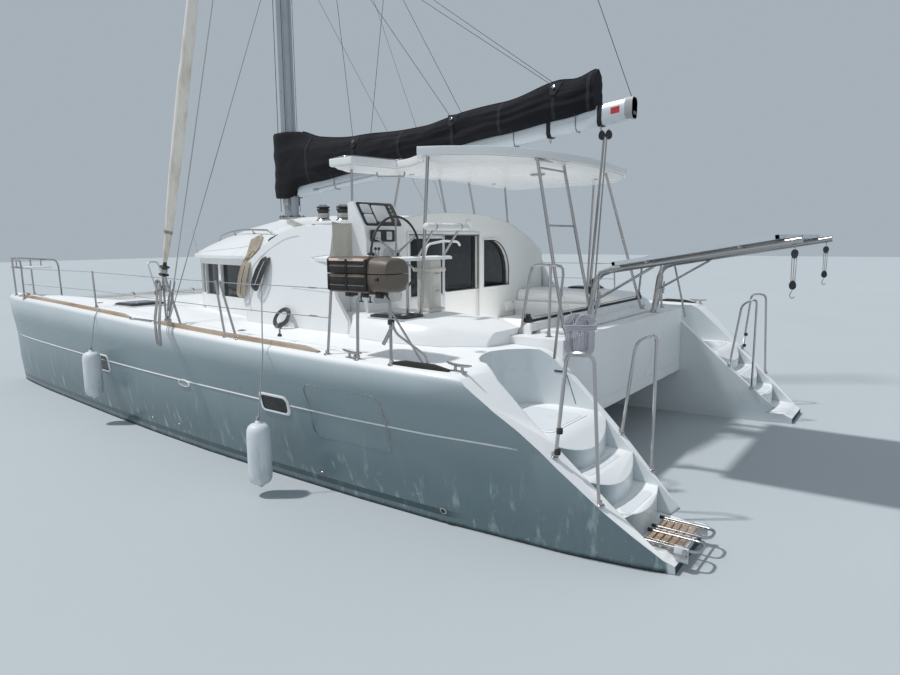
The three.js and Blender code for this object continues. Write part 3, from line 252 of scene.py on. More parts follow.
def topside_gelcoat():
    """The hulls' gelcoat: painted shade and painted water reflection, cool and darker low down on the outer
    sides; salt and dirt streaks, and fouling at the waterline.
    """
    # The cool grey base and the teal darkening of the outer sides towards the waterline are painted shade and
    # painted reflection of the water.
    base = (0.66, 0.705, 0.72)
    look = Look("topside_gelcoat", base, 0.2)
    height, along = look.axis("Z"), look.axis("X")
    cloud = look.noise(0.8, 4)
    across = look.axis("Y")
    outboard = (across * look.facing("Y")).over(0.2, 1.2) * (across * across).over(4.4, 5.2)
    outboard = outboard * along.over(-5.735, -5.70)
    look.shade = look.mix(base, (0.235, 0.300, 0.320), height.over(1.50, 1.05) * outboard)
    look.tint((0.125, 0.180, 0.200), height.over(1.05, 0.3) * outboard * 0.9)
    look.tint((0.070, 0.110, 0.125), height.over(0.7, 0.0) * along.over(-4.0, 2.5) * outboard * 0.7)
    look.tint((0.30, 0.37, 0.39), cloud.over(0.25, 0.95) * outboard * 0.3)
    upright = look.facing("Z").over(0.75, 0.45) * outboard
    low = height.over(0.85, 0.25) * upright
    runs = look.noise(7.0, 5, (1, 1, 0.07), 0.7)
    pale = look.noise(11.0, 4, (1, 1, 0.05), 0.6)
    look.tint((0.10, 0.20, 0.21), runs.over(0.50, 0.74) * low * 0.5)
    look.tint((0.44, 0.54, 0.53), pale.over(0.56, 0.72) * low * 0.6)
    splash = look.noise(16.0, 6, (1, 1, 0.5), 0.75).over(0.6, 0.7) * height.over(0.5, 0.1) * upright
    look.tint((0.80, 0.85, 0.84), splash * 0.55)
    low_edge, top_edge = WATER_STRIPE
    stripe = height.over(low_edge, low_edge + 0.008) * height.over(top_edge + 0.008, top_edge)
    stripe = stripe * along.over(STRIPE_AFT - 0.3, STRIPE_AFT) * upright
    worn = look.noise(9.0, 6, (1, 1, 0.4), 0.7).over(0.70, 0.52)
    look.tint((0.035, 0.075, 0.085), stripe * (worn * 0.5 + 0.45))
    slime = look.noise(14.0, 5, rough=0.7)
    weed = (height + slime * 0.05).over(0.075, 0.035)
    look.tint((0.03, 0.05, 0.055), weed * upright * along.over(-5.76, -5.72))
    level = look.facing("Z").over(0.955, 0.985) * height.over(0.05, 0.1)
    # Upward faces are set to near white, so the sides read as shaded against lit tops: painted light and
    # shade.
    look.tint((0.86, 0.87, 0.87), look.facing("Z").over(0.25, 0.75))
    dust = look.noise(5.0, 6, rough=0.7).over(0.55, 0.8) * level
    look.tint((0.55, 0.53, 0.48), dust * 0.25)
    normal = look.round_edges(0.014)
    normal = look.bump(look.noise(1.6, 2), 0.006, normal)
    normal = look.bump(look.cells(150.0).over(0.1, 0.5) * level, 0.0006, normal)
    look.finish(cloud * 0.2 + 0.16 + weed * 0.5 + level * 0.3, normal)
    return look


def teak():
    """Weathered teak: straight grain, grey silvering and dark pores."""
    look = Look("weathered_teak", (0.42, 0.27, 0.15), 0.7)
    grain = look.noise(18.0, 8, (0.05, 1, 1), 0.7)
    pores = look.noise(90.0, 4, (0.03, 1, 1), 0.6)
    silver = look.noise(2.0, 4)
    look.shade = look.node("ValToRGB", [grain], stops=[(0.3, (0.24, 0.15, 0.09)), (0.55, (0.42, 0.30, 0.20)),
                                                       (0.75, (0.54, 0.43, 0.31))])
    look.tint((0.50, 0.45, 0.39), silver.over(0.35, 0.7) * 0.6)
    look.tint((0.16, 0.10, 0.06), pores.over(0.60, 0.75) * 0.5)
    look.finish(grain * 0.3 + 0.5, look.bump(grain + pores * 0.5, 0.001))
    return look


def steel():
    """Polished stainless tube with drawing marks, water spots and a little tea staining."""
    look = Look("polished_steel", (0.46, 0.455, 0.45), 0.2, Metallic=1.0)
    spots = look.noise(28.0, 5, rough=0.7)
    stain = look.noise(5.0, 5, rough=0.65).over(0.62, 0.8)
    look.shade = look.mix((0.47, 0.46, 0.455), (0.26, 0.21, 0.17), stain * 0.45)
    brushed = look.noise(220.0, 2, (1, 1, 0.05))
    look.finish(spots * 0.22 + 0.1 + stain * 0.2, look.bump(brushed, 0.0002))
    return look


def alloy(name, colour, metal=0.75):
    """Anodised or painted spar: fine extrusion lines, chalky patches and scuffs."""
    look = Look(name, colour, 0.36, Metallic=metal)
    chalk = look.noise(3.0, 5, rough=0.6)
    scuff = look.noise(22.0, 6, (1, 1, 0.3), 0.7).over(0.63, 0.76)
    look.shade = look.mix(colour, tuple(c * 0.72 for c in colour), chalk.over(0.45, 0.8) * 0.5)
    look.tint((0.30, 0.30, 0.30), scuff * 0.3)
    lines = look.waves(40.0, "Y", 1.0)
    look.finish(chalk * 0.25 + 0.25, look.bump(lines, 0.0002))
    return look


def canvas(name, colour, weave=420.0, fade=0.5):
    """Woven acrylic cloth: crossing yarns, fading on top, salt marks and soft creases."""
    look = Look(name, colour, 0.9, Sheen_Weight=0.04, Sheen_Roughness=0.5, Specular_IOR_Level=0.15)
    warp, weft = look.waves(weave, "X", 0.3), look.waves(weave, "Z", 0.3)
    faded = tuple(c * 1.4 + 0.006 for c in colour)
    sun = look.facing("Z").over(-0.2, 0.9)
    patches = look.noise(2.5, 5, rough=0.6)
    look.shade = look.mix(colour, faded, sun * patches.over(0.3, 0.75) * fade)
    salt = look.noise(9.0, 6, (0.4, 1, 1), 0.7).over(0.60, 0.80)
    look.tint(tuple(c * 1.6 + 0.022 for c in colour), salt * 0.22)
    look.tint(tuple(c * 0.6 for c in colour), warp * weft * 0.4)
    creases = look.noise(5.0, 5, (0.5, 1, 1.6), 0.55)
    normal = look.bump(creases, 0.02)
    look.finish(patches * 0.15 + 0.78, look.bump(warp + weft, 0.0006, normal))
    return look


def sailcloth():
    """Old white sailcloth rolled on the stay: tan weathering, mildew and fine folds."""
    look = Look("sailcloth", (0.74, 0.70, 0.62), 0.85, Sheen_Weight=0.15)
    stain = look.noise(3.0, 6, (1, 1, 0.35), 0.7)
    mildew = look.noise(30.0, 5, rough=0.7).over(0.66, 0.8)
    look.shade = look.mix((0.76, 0.73, 0.66), (0.50, 0.42, 0.31), stain.over(0.42, 0.72) * 0.7)
    look.tint((0.30, 0.29, 0.26), mildew * 0.4)
    folds = look.noise(12.0, 4, (1, 1, 0.12), 0.55)
    yarn = look.waves(500.0, "Z")
    normal = look.bump(yarn, 0.0004, look.bump(folds, 0.02))
    look.finish(stain * 0.2 + 0.7, normal)
    return look


def tinted_glass():
    """Smoked acrylic with polishing haze and salt spots."""
    look = Look("tinted_glass", (0.012, 0.014, 0.016), 0.06, IOR=1.49, Specular_IOR_Level=0.3,
                Coat_Weight=0.1)
    haze = look.noise(4.0, 5, rough=0.6)
    spots = look.cells(60.0).over(0.10, 0.03) * look.noise(12.0, 3).over(0.5, 0.7)
    look.shade = look.mix((0.012, 0.014, 0.016), (0.10, 0.11, 0.11), haze.over(0.5, 0.9) * 0.35 + spots * 0.2)
    look.finish(haze * 0.1 + 0.03 + spots * 0.3, look.bump(haze, 0.001))
    return look


def plastic(name, colour, rough=0.45, grain=0.0005):
    """Moulded plastic with a fine grain and sun-bleached patches."""
    look = Look(name, colour, rough)
    grit = look.noise(260.0, 3, rough=0.6)
    bleach = look.noise(8.0, 5, rough=0.6)
    pale = tuple(min(1, c * 1.25 + 0.03) for c in colour)
    look.shade = look.mix(colour, pale, bleach.over(0.45, 0.8) * 0.5)
    look.finish(bleach * 0.25 + rough - 0.1, look.bump(grit, grain))
    return look


def rope_look(name, first, second, lay=70.0, share=0.5):
    """Braided rope: slanted strands, painted shade in the grooves across them, and a fleck of a second
    colour.
    """
    look = Look(name, first, 0.85)
    strands = look.waves(lay, "DIAGONAL", 1.2)
    cross = look.waves(lay, "DIAGONAL", 1.2, (-1, 1, 1))
    fleck = look.cells(lay * 2.2, output="Color")
    look.shade = look.mix(first, second, strands.over(0.45, 0.6) * share)
    # Darker lines across the strands are painted shade in the braid's grooves.
    look.tint(tuple(c * 0.55 for c in first), cross.over(0.7, 1.0) * 0.5)
    worn = look.noise(14.0, 5, rough=0.7).over(0.5, 0.8)
    look.tint((0.45, 0.41, 0.34), worn * 0.3)
    look.paint(Base_Color=look.shade, Normal=look.bump(strands + cross, 0.0016),
               Roughness=look.node("SeparateColor", [fleck]) * 0.15 + 0.75)
    return look


def netting():
    """Open knotless net: square holes between cords."""
    look = Look("netting", (0.80, 0.80, 0.77), 0.85)
    grid = [look.axis(name).fold(0.0225) for name in "XY"]
    cord = grid[0].over(0.66, 0.74) + grid[1].over(0.66, 0.74)
    solid = cord.over(0.1, 0.6)
    grey = look.noise(2.0, 5, rough=0.6)
    look.shade = look.mix((0.82, 0.82, 0.79), (0.52, 0.52, 0.49), grey.over(0.4, 0.8) * 0.6)
    look.paint(Base_Color=look.shade, Alpha=solid, Normal=look.bump(cord, 0.002))
    return look


def antifoul():
    """Matte bottom paint with worn patches and slime towards the top."""
    look = Look("bottom_paint", (0.02, 0.04, 0.06), 0.8)
    worn = look.noise(4.0, 6, rough=0.65)
    slime = look.noise(18.0, 5, rough=0.7)
    look.shade = look.mix((0.02, 0.045, 0.075), (0.10, 0.15, 0.17), worn.over(0.5, 0.75) * 0.6)
    look.tint((0.09, 0.11, 0.05), slime.over(0.55, 0.75) * 0.35)
    look.finish(worn * 0.2 + 0.65, look.bump(slime, 0.002))
    return look


def bronze():
    """Dull bronze with green and brown patches."""
    look = Look("dull_bronze", (0.40, 0.28, 0.14), 0.45, Metallic=0.9)
    patch = look.noise(14.0, 5, rough=0.7)
    look.shade = look.mix((0.42, 0.29, 0.14), (0.12, 0.20, 0.16), patch.over(0.55, 0.75) * 0.6)
    look.finish(patch * 0.4 + 0.3, look.bump(patch, 0.001))
    return look


def fender_vinyl():
    """Soft white vinyl, scuffed and yellowed, with dirt low down."""
    look = Look("fender_vinyl", (0.62, 0.65, 0.68), 0.5)
    scuff = look.noise(11.0, 6, (1, 1, 0.25), 0.7)
    low = look.axis("Z").over(0.75, 0.1)
    look.shade = look.mix((0.68, 0.71, 0.74), (0.42, 0.45, 0.46), scuff.over(0.5, 0.75) * 0.4)
    look.tint((0.33, 0.37, 0.36), low * scuff.over(0.35, 0.7) * 0.5)
    dents = look.noise(3.5, 2)
    look.finish(scuff * 0.3 + 0.35, look.bump(dents, 0.006))
    return look


def brown_enamel():
    """Weathered brown enamel with heat stains and rust."""
    look = Look("brown_enamel", (0.13, 0.085, 0.06), 0.5, Metallic=0.2)
    heat = look.noise(5.0, 5, rough=0.65)
    rust = look.noise(20.0, 6, rough=0.7).over(0.58, 0.72)
    look.shade = look.mix((0.12, 0.08, 0.055), (0.30, 0.23, 0.18), heat.over(0.4, 0.75) * 0.7)
    look.tint((0.34, 0.14, 0.05), rust * 0.5)
    look.finish(heat * 0.35 + 0.35, look.bump(rust + heat, 0.0012))
    return look


def solar_cells():
    """Square cells with silver lines under glass."""
    look = Look("solar_cells", (0.01, 0.015, 0.035), 0.12, Coat_Weight=0.6)
    cell = [look.axis(name).fold(0.0785) for name in "XY"]
    gap = cell[0].over(0.04, 0.0) + cell[1].over(0.04, 0.0)
    bars = look.axis("X").fold(0.026).over(0.05, 0.0)
    tone = look.cells(6.4, feature="F1", output="Color")
    look.shade = look.mix((0.008, 0.012, 0.03), (0.02, 0.03, 0.065), look.node("SeparateColor", [tone]))
    look.tint((0.42, 0.44, 0.47), gap.over(0.0, 1.0) * 0.6)
    look.tint((0.50, 0.51, 0.53), bars * 0.25)
    look.finish(look.noise(5.0, 4) * 0.15 + 0.08)
    return look


LOOKS = {
    "topside": topside_gelcoat(),
    "gelcoat": gelcoat("white_gelcoat", (0.83, 0.84, 0.84)),
    "grey_gelcoat": gelcoat("grey_gelcoat", (0.72, 0.73, 0.72), grain=False),
    "teak": teak(),
    "steel": steel(),
    # The mast's dark grey-blue stands for the spar in shade: painted shade. Other alloy parts take this look
    # too.
    "mast": alloy("mast_alloy", (0.36, 0.39, 0.42), 0.5),
    "boom": alloy("boom_alloy", (0.62, 0.66, 0.70), 0.4),
    "beam": alloy("beam_alloy", (0.70, 0.71, 0.71), 0.4),
    "canvas": canvas("black_canvas", (0.012, 0.0125, 0.016)),
    "beige": canvas("beige_canvas", (0.56, 0.53, 0.46), 380.0, 0.3),
    "cushion": canvas("seat_cloth", (0.46, 0.42, 0.34), 300.0, 0.3),
    "sail": sailcloth(),
    "glass": tinted_glass(),
    "black": plastic("black_plastic", (0.022, 0.022, 0.024)),
    "rubber": plastic("black_rubber", (0.03, 0.03, 0.03), 0.75, 0.001),
    "grey": plastic("grey_plastic", (0.35, 0.36, 0.37)),
    "white": plastic("white_plastic", (0.78, 0.78, 0.76), 0.4),
    "cover": plastic("light_cover", (0.55, 0.56, 0.57), 0.35),
    "red": plastic("red_label", (0.45, 0.03, 0.04), 0.5),
    "dial": plastic("dial_face", (0.60, 0.61, 0.58), 0.5),
    # Bright salmon for the lid's top lips: a painted sunlit highlight.
    "louvre": plastic("sunlit_louvre", (0.86, 0.62, 0.52), 0.35),
    "net": netting(),
    "antifoul": antifoul(),
    "bronze": bronze(),
    "fender": fender_vinyl(),
    "enamel": brown_enamel(),
    "taupe": plastic("taupe_enamel", (0.125, 0.098, 0.076), 0.45),
    "nonslip": nonslip(),
    # Near-black slats of the barbecue; the aft teak rail run also wears this as painted shadow.
    "dark_slat_and_painted_shadow": plastic("dark_slats_and_painted_shadow", (0.016, 0.012, 0.009), 0.68, 0.0012),
    "cream": plastic("cream_locker", (0.62, 0.60, 0.54), 0.45),
    "lilac_rope": rope_look("grey_flecked_rope", (0.66, 0.65, 0.69), (0.12, 0.11, 0.19), 34.0, 0.45),
    "cells": solar_cells(),
    "black_rope": rope_look("black_rope", (0.035, 0.035, 0.04), (0.32, 0.32, 0.31), share=0.35),
    "fleck_rope": rope_look("flecked_rope", (0.62, 0.61, 0.58), (0.06, 0.06, 0.08), share=0.85),
    "tan_rope": rope_look("tan_rope", (0.52, 0.44, 0.33), (0.70, 0.64, 0.54)),
    "grey_rope": rope_look("grey_rope", (0.50, 0.50, 0.52), (0.24, 0.23, 0.30)),
    "white_rope": rope_look("white_rope", (0.70, 0.69, 0.65), (0.45, 0.44, 0.42)),
    "webbing": canvas("black_webbing", (0.03, 0.03, 0.035), 700.0, 0.3),
}


# Shapes


def through(points, steps=6):
    """A smooth path through points."""
    points = [Vector(p) for p in points]
    ends = [points[0] * 2 - points[1], *points, points[-1] * 2 - points[-2]]
    path = []
    for a, b, c, d in zip(ends, ends[1:], ends[2:], ends[3:]):
        for k in range(steps):
            t = k / steps
            path.append(0.5 * (2 * b + (c - a) * t + (2 * a - 5 * b + 4 * c - d) * t * t
                               + (3 * b - a - 3 * c + d) * t ** 3))
    return [*path, points[-1]]


def straight(start, end, parts):
    return [start + (end - start) * k / parts for k in range(parts + 1)]


def reach(path):
    return sum((b - a).length for a, b in zip(path, path[1:]))


def eased(path):
    """The path with its inner points drawn towards their neighbours."""
    return [path[0]] + [(a + b * 2 + c) / 4 for a, b, c in zip(path, path[1:], path[2:])] + [path[-1]]


def bent(points, radius, steps=5):
    """A path along straight legs, with an arc-like bend at each corner."""
    points = [Vector(p) for p in points]
    path = [points[0]]
    for before, corner, after in zip(points, points[1:], points[2:]):
        back, ahead = before - corner, after - corner
        start = corner + back.normalized() * min(radius, back.length * 0.45)
        end = corner + ahead.normalized() * min(radius, ahead.length * 0.45)
        for k in range(steps + 1):
            t = k / steps
            path.append(start * (1 - t) ** 2 + corner * 2 * t * (1 - t) + end * t * t)
    return [*path, points[-1]]


def ring_about(centre, first, second, radii, sides, start=0.0):
    """Points of an ellipse about centre in the plane of two directions."""
    turns = [start + 2 * pi * k / sides for k in range(sides)]
    return [centre + first * radii[0] * cos(a) + second * radii[1] * sin(a) for a in turns]


def box_corners(a0, a1, b0, b1):
    return [(a0, b0), (a1, b0), (a1, b1), (a0, b1)]


def rounded(wide, tall, radius, steps=4):
    """A rectangle's outline about zero with round corners, as (a, b) pairs."""
    outline = []
    for quarter, (sa, sb) in enumerate(((1, 1), (-1, 1), (-1, -1), (1, -1))):
        for k in range(steps + 1):
            angle = pi / 2 * (quarter + k / steps)
            outline.append((sa * (wide / 2 - radius) + radius * cos(angle),
                            sb * (tall / 2 - radius) + radius * sin(angle)))
    return outline


class Shape:
    """Faces of one piece, gathered from simple forms; each face has the place of its look."""

    def __init__(self):
        self.points, self.faces, self.looks = [], [], []

    def add(self, points, faces, look=0):
        start = len(self.points)
        self.points += [Vector(p) for p in points]
        self.faces += [[start + i for i in face] for face in faces]
        self.looks += [look] * len(faces)
        return self

    def loft(self, rings, look=0, closed=True, caps=True):
        """A skin over rings that have the same number of points."""
        n = len(rings[0])
        around = range(n) if closed else range(n - 1)
        faces = [[r * n + i, r * n + (i + 1) % n, (r + 1) * n + (i + 1) % n, (r + 1) * n + i]
                 for r in range(len(rings) - 1) for i in around]
        if caps and closed:
            faces += [list(range(n))[::-1], [(len(rings) - 1) * n + i for i in range(n)]]
        return self.add([p for ring in rings for p in ring], faces, look)

    def tube(self, path, radius, look=0, sides=10, flat=1.0, closed=False):
        """A round tube along a path; radius is one number or one for each point."""
        path = [Vector(p) for p in path]
        radii = radius if isinstance(radius, (list, tuple)) else [radius] * len(path)
        legs = [(b - a).normalized() for a, b in zip(path, path[1:])]
        if closed:
            legs = [(path[0] - path[-1]).normalized(), *legs, (path[0] - path[-1]).normalized()]
        else:
            legs = [legs[0], *legs, legs[-1]]
        side = legs[0].cross(UP)
        if side.length < 0.05:
            side = legs[0].cross(vec(1, 0, 0))
        side.normalize()
        rings = []
        for point, before, after, r in zip(path, legs, legs[1:], radii):
            along = (before + after).normalized()
            side = (side - along * side.dot(along)).normalized()
            rings.append(ring_about(point, side, along.cross(side), (r, r * flat), sides))
        if closed:
            rings.append(rings[0])
        return self.loft(rings, look, caps=not closed)

    def rod(self, start, end, radius, look=0, sides=10):
        return self.tube([start, end], radius, look, sides)

    def block(self, low, high, bevel=0.0, look=0, turn=None, segments=2):
        """A box with rounded edges, turned about its middle by a rotation matrix."""
        low, high = Vector(low), Vector(high)
        work = bmesh.new()
        bmesh.ops.create_cube(work, size=1.0)
        bmesh.ops.scale(work, vec=high - low, verts=work.verts)
        if bevel:
            bmesh.ops.bevel(work, geom=work.edges[:], offset=bevel, segments=segments, profile=0.5,
                            affect="EDGES", clamp_overlap=True)
        middle = (low + high) / 2
        turned = [middle + (turn @ v.co if turn else v.co) for v in work.verts]
        self.add(turned, [[v.index for v in f.verts] for f in work.faces], look)
        work.free()
        return self

    def lathe(self, profile, centre, axis=UP, look=0, sides=24):
        """A turned form of (radius, height) pairs about an axis."""
        axis, centre = Vector(axis).normalized(), Vector(centre)
        first = axis.cross(vec(0.3, 1, 0.2)).normalized()
        second = axis.cross(first)
        rings = [ring_about(centre + axis * h, first, second, (max(r, 1e-4),) * 2, sides) for r, h in profile]
        return self.loft(rings, look)

    def pin(self, middle, axis, radius, half, look=0, sides=14):
        """A round bar about its middle."""
        return self.lathe([(radius, -half), (radius, half)], middle, axis, look, sides)

    def slab(self, outline, levels, place, look=0):
        """An outline of (a, b) pairs raised between the levels of a matrix."""
        return self.loft([[place @ vec(a, b, z) for a, b in outline] for z in levels], look)

    def plate(self, outline, thick, place, look=0, bevel=0.003):
        """A flat plate with an outline of (a, b) pairs; place is its matrix, and it grows along Z."""
        inset = [(a * (1 - bevel * 2 / max(abs(a), 0.02)), b * (1 - bevel * 2 / max(abs(b), 0.02)))
                 for a, b in outline]
        levels = [(outline, 0.0), (outline, thick - bevel), (inset, thick)]
        return self.loft([[place @ vec(a, b, z) for a, b in ring] for ring, z in levels], look)

    def sheet(self, place, nu, nv, thick, look=0):
        """A skin over place(u, v), with its thickness behind it."""
        grid = [[Vector(place(i / nu, j / nv)) for i in range(nu + 1)] for j in range(nv + 1)]
        def normal(i, j):
            a = grid[j][min(i + 1, nu)] - grid[j][max(i - 1, 0)]
            b = grid[min(j + 1, nv)][i] - grid[max(j - 1, 0)][i]
            return a.cross(b).normalized()
        behind = [[grid[j][i] - normal(i, j) * thick for i in range(nu + 1)] for j in range(nv + 1)]
        n = nu + 1
        points = [p for row in grid for p in row] + [p for row in behind for p in row]
        back = n * (nv + 1)
        faces = []
        for j in range(nv):
            for i in range(nu):
                quad = [j * n + i, j * n + i + 1, (j + 1) * n + i + 1, (j + 1) * n + i]
                faces += [quad, [back + k for k in reversed(quad)]]
        rim = [i for i in range(n)] + [j * n + nu for j in range(1, nv + 1)]
        rim += [nv * n + i for i in range(nu - 1, -1, -1)] + [j * n for j in range(nv - 1, 0, -1)]
        faces += [[a, a + back, b + back, b] for a, b in zip(rim, rim[1:] + rim[:1])]
        return self.add(points, faces, look)

    def make(self, name, looks, body="boat", slot=None, replaces=(), smooth=38, crease=None):
        mesh = bpy.data.meshes.new(name)
        mesh.from_pydata([tuple(p) for p in self.points], [], self.faces)
        for look in looks:
            mesh.materials.append(LOOKS[look].material)
        mesh.polygons.foreach_set("material_index", self.looks)
        work = bmesh.new()
        work.from_mesh(mesh)
        bmesh.ops.remove_doubles(work, verts=work.verts, dist=MERGE)
        bmesh.ops.recalc_face_normals(work, faces=work.faces)
        limit = radians(smooth)
        for edge in work.edges:
            angle = edge.calc_face_angle(pi)
            edge.smooth = angle < limit and not (crease and crease(edge, angle))
        for face in work.faces:
            face.smooth = True
        work.to_mesh(mesh)
        work.free()
        made = bpy.data.objects.new(name, mesh)
        bpy.context.scene.collection.objects.link(made)
        if isinstance(body, tuple):
            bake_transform(made)
        else:
            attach(made, body)
        if replaces:
            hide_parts(*replaces)
        return made


BODY_OF = {node: body for body, nodes in frame["record"]["behaviour"]["bodies"].items() for node in nodes}
SLOT_OF = {part["node"]: part["material_slot"] for part in frame["record"]["subparts"]}


def shape_from(work):
    """A work mesh's points and faces as a shape; the work mesh is freed."""
    work.verts.index_update()
    shape = Shape().add([v.co.copy() for v in work.verts], [[v.index for v in f.verts] for f in work.faces])
    work.free()
    return shape


def shape_of(node, cuts=()):
    """A CAD node's own solid as a shape, with its faces divided at planes given as (point, normal)."""
    work = bmesh.new()
    work.from_mesh(frame["nodes"][node].data)
    bmesh.ops.remove_doubles(work, verts=work.verts, dist=MERGE)
    for point, normal in cuts:
        everything = work.verts[:] + work.edges[:] + work.faces[:]
        bmesh.ops.bisect_plane(work, geom=everything, plane_co=point, plane_no=normal)
    bmesh.ops.dissolve_limit(work, angle_limit=radians(0.05), verts=work.verts, edges=work.edges)
    return shape_from(work)


def dress(node, looks, name=None, extra=None, choose=None, cuts=(), **how):
    """The CAD node's solid with a better finish, and any extra shape joined to it."""
    shape = shape_of(node, cuts)
    if choose:
        middles = [sum((shape.points[i] for i in face), Vector()) / len(face) for face in shape.faces]
        shape.looks = [choose(middle) for middle in middles]
    if extra:
        shape.add(extra.points, extra.faces)
        shape.looks[-len(extra.faces):] = extra.looks
    return shape.make(name or node + "_skin", looks, BODY_OF[node], SLOT_OF[node], [node], **how)


def solid_tree(node):
    mesh = frame["nodes"][node].data
    return BVHTree.FromPolygons([v.co for v in mesh.vertices], [p.vertices for p in mesh.polygons])


HULL = {side: solid_tree("hull_" + side) for side in SIDES}


def on_topside(side, x, z):
    """The place on a hull's outer side, and the direction out of it."""
    sign = SIDES[side]
    place, out, *_ = HULL[side].ray_cast(vec(x, sign * 5, z), vec(0, -sign, 0))
    return place, out if out.y * sign > 0 else -out


def on_deck(side, x, y, top=3.0):
    """The height of a hull's deck, or of its steps."""
    place, *_ = HULL[side].ray_cast(vec(x, y, top), -UP)
    return place.z if place else 0.0


SHEER = ((5.5, 1.472), (3.06, 1.468), (0.6, 1.43), (-1.8, 1.395), (-3.9, 1.368), (-4.3, 1.36))


def sheer(x):
    for (ax, az), (bx, bz) in zip(SHEER, SHEER[1:]):
        if x >= bx:
            return az + (bz - az) * (ax - x) / (ax - bx)
    return SHEER[-1][1]


def deck_edge(side, x):
    """The outer edge of the side deck."""
    return abs(on_topside(side, x, sheer(x) - 0.1)[0].y)


# Camera, light and floor

IMAGE = (900, 675)
CAMERA = {"place": (-7.07, 7.077, 2.361), "yaw": -53.76, "pitch": 8.55, "roll": -0.42, "focal": 658.5}
SENSOR = 36.0


def camera():
    yaw, pitch, roll = (radians(CAMERA[key]) for key in ("yaw", "pitch", "roll"))
    ahead = vec(cos(yaw) * cos(pitch), sin(yaw) * cos(pitch), -sin(pitch))
    right = vec(sin(yaw), -cos(yaw), 0)
    up = right.cross(ahead)
    right, up = right * cos(roll) + up * sin(roll), up * cos(roll) - right * sin(roll)
    data = bpy.data.cameras.new("camera")
    data.lens = SENSOR * CAMERA["focal"] / IMAGE[0]
    data.sensor_width = SENSOR
    data.clip_end = 300
    made = bpy.data.objects.new("camera", data)
    axes = Matrix((right, up, -ahead)).transposed()
    made.matrix_world = Matrix.Translation(CAMERA["place"]) @ axes.to_4x4()
    bpy.context.scene.collection.objects.link(made)
    bpy.context.scene.camera = made


LIGHTS = (("key", 2.45, 3, (-0.38, -0.29, -0.88)), ("fill", 0.2, 70, (0.6, -0.7, -0.35)))
BOUNCE = {"place": (-2.9, -0.1, 1.0), "size": (1.5, 2.3), "power": 26.0}


def studio():
    world = bpy.data.worlds.new("studio")
    world.use_nodes = True
    back = world.node_tree.nodes["Background"]
    back.inputs["Color"].default_value = (0.74, 0.84, 0.94, 1)
    back.inputs["Strength"].default_value = 0.52
    bpy.context.scene.world = world
    bpy.context.scene.view_settings.view_transform = "Standard"
    for name, power, angle, ray in LIGHTS:
        light = bpy.data.lights.new(name, "SUN")
        light.energy, light.angle = power, radians(angle)
        lamp = bpy.data.objects.new(name, light)
        lamp.rotation_euler = Vector(ray).to_track_quat("-Z", "Y").to_euler()
        bpy.context.scene.collection.objects.link(lamp)
    light = bpy.data.lights.new("bounce", "AREA")
    light.shape, light.energy = "RECTANGLE", BOUNCE["power"]
    light.size, light.size_y = BOUNCE["size"]
    light.color = (1.0, 0.98, 0.95)
    lamp = bpy.data.objects.new("bounce", light)
    lamp.location, lamp.rotation_euler = BOUNCE["place"], (pi, 0, 0)
    lamp.visible_camera = lamp.visible_glossy = False
    bpy.context.scene.collection.objects.link(lamp)
    floor = Look("pale_floor", (0.46, 0.50, 0.52), 0.85)
    cloud = floor.noise(0.3, 3)
    floor.paint(Base_Color=floor.mix((0.44, 0.48, 0.50), (0.48, 0.52, 0.54), cloud),
                Roughness=cloud * 0.1 + 0.8)
    mesh = bpy.data.meshes.new("floor")
    far = 80
    mesh.from_pydata([(-far, -far, 0), (far, -far, 0), (far, far, 0), (-far, far, 0)], [], [(0, 1, 2, 3)])
    mesh.materials.append(floor.material)
    made = bpy.data.objects.new("floor", mesh)
    bpy.context.scene.collection.objects.link(made)


camera()
studio()


# Hulls

ANTIFOUL_TOP = 0.04
CHINE = 0.82


def hulls():
    waterline = [((0, 0, ANTIFOUL_TOP), (0, 0, 1))]
    for side in SIDES:
        dress("hull_" + side, ["topside", "antifoul"], cuts=waterline, smooth=46,
              choose=lambda middle: int(middle.z < ANTIFOUL_TOP),
              crease=lambda edge, angle: angle > 0.07 and all(abs(v.co.z - CHINE) < 0.03 for v in edge.verts))
        dress("keel_" + side, ["antifoul"])
        dress("rudder_" + side, ["antifoul"])
        dress("saildrive_" + side, ["antifoul"])
        dress("propeller_" + side, ["bronze"])


TEAK_RAIL = {"wide": 0.042, "tall": 0.042, "inboard": 0.085, "segment": 0.18}
TEAK_RUNS = ((5.05, 0.75), (0.12, -2.78), (-3.62, -4.18))
LEDGE = {"fore": 5.35, "aft": -4.7, "tall": 0.016, "out": 0.006}


RAIL_PROFILE = ((-1, -0.1), (-1, 0.6), (-0.6, 1), (0.6, 1), (1, 0.6), (1, -0.1))


def toe_rails(side):
    """Teak rails along the deck's edge, tapered at their ends, with bright screws; the aft run is painted
    dark as the barbecue's shadow.
    """
    half, tall = TEAK_RAIL["wide"] / 2, TEAK_RAIL["tall"]
    rails = Shape()

    def foot(x):
        y = SIDES[side] * (deck_edge(side, x) - TEAK_RAIL["inboard"])
        return x, y, on_deck(side, x, y)

    for fore, aft in TEAK_RUNS:
        count = max(4, round((fore - aft) / TEAK_RAIL["segment"]))
        feet = [foot(fore + (aft - fore) * k / count) for k in range(count + 1)]
        rings = []
        for k, (x, y, z) in enumerate(feet):
            end = min(1.0, 0.35 + 2.0 * min(k, count - k))
            rings.append([vec(x, y + half * a, z + tall * b * end) for a, b in RAIL_PROFILE])
        # The aft run, under the barbecue, takes the near-black slat look: painted shadow.
        rails.loft(rings, 2 if fore < -3 else 0)
        for x, y, z in feet[1:count:3]:
            rails.lathe([(0.006, -0.004), (0.006, 0.0015), (0.004, 0.002)], (x, y, z + tall), look=1, sides=8)
    rails.make("toe_rails_" + side, ["teak", "steel", "dark_slat_and_painted_shadow"])


LEDGE_PROFILE = ((-0.002, -0.5), (1, -0.35), (1, 0.2), (-0.002, 0.75))
LEDGE_PARTS = 60


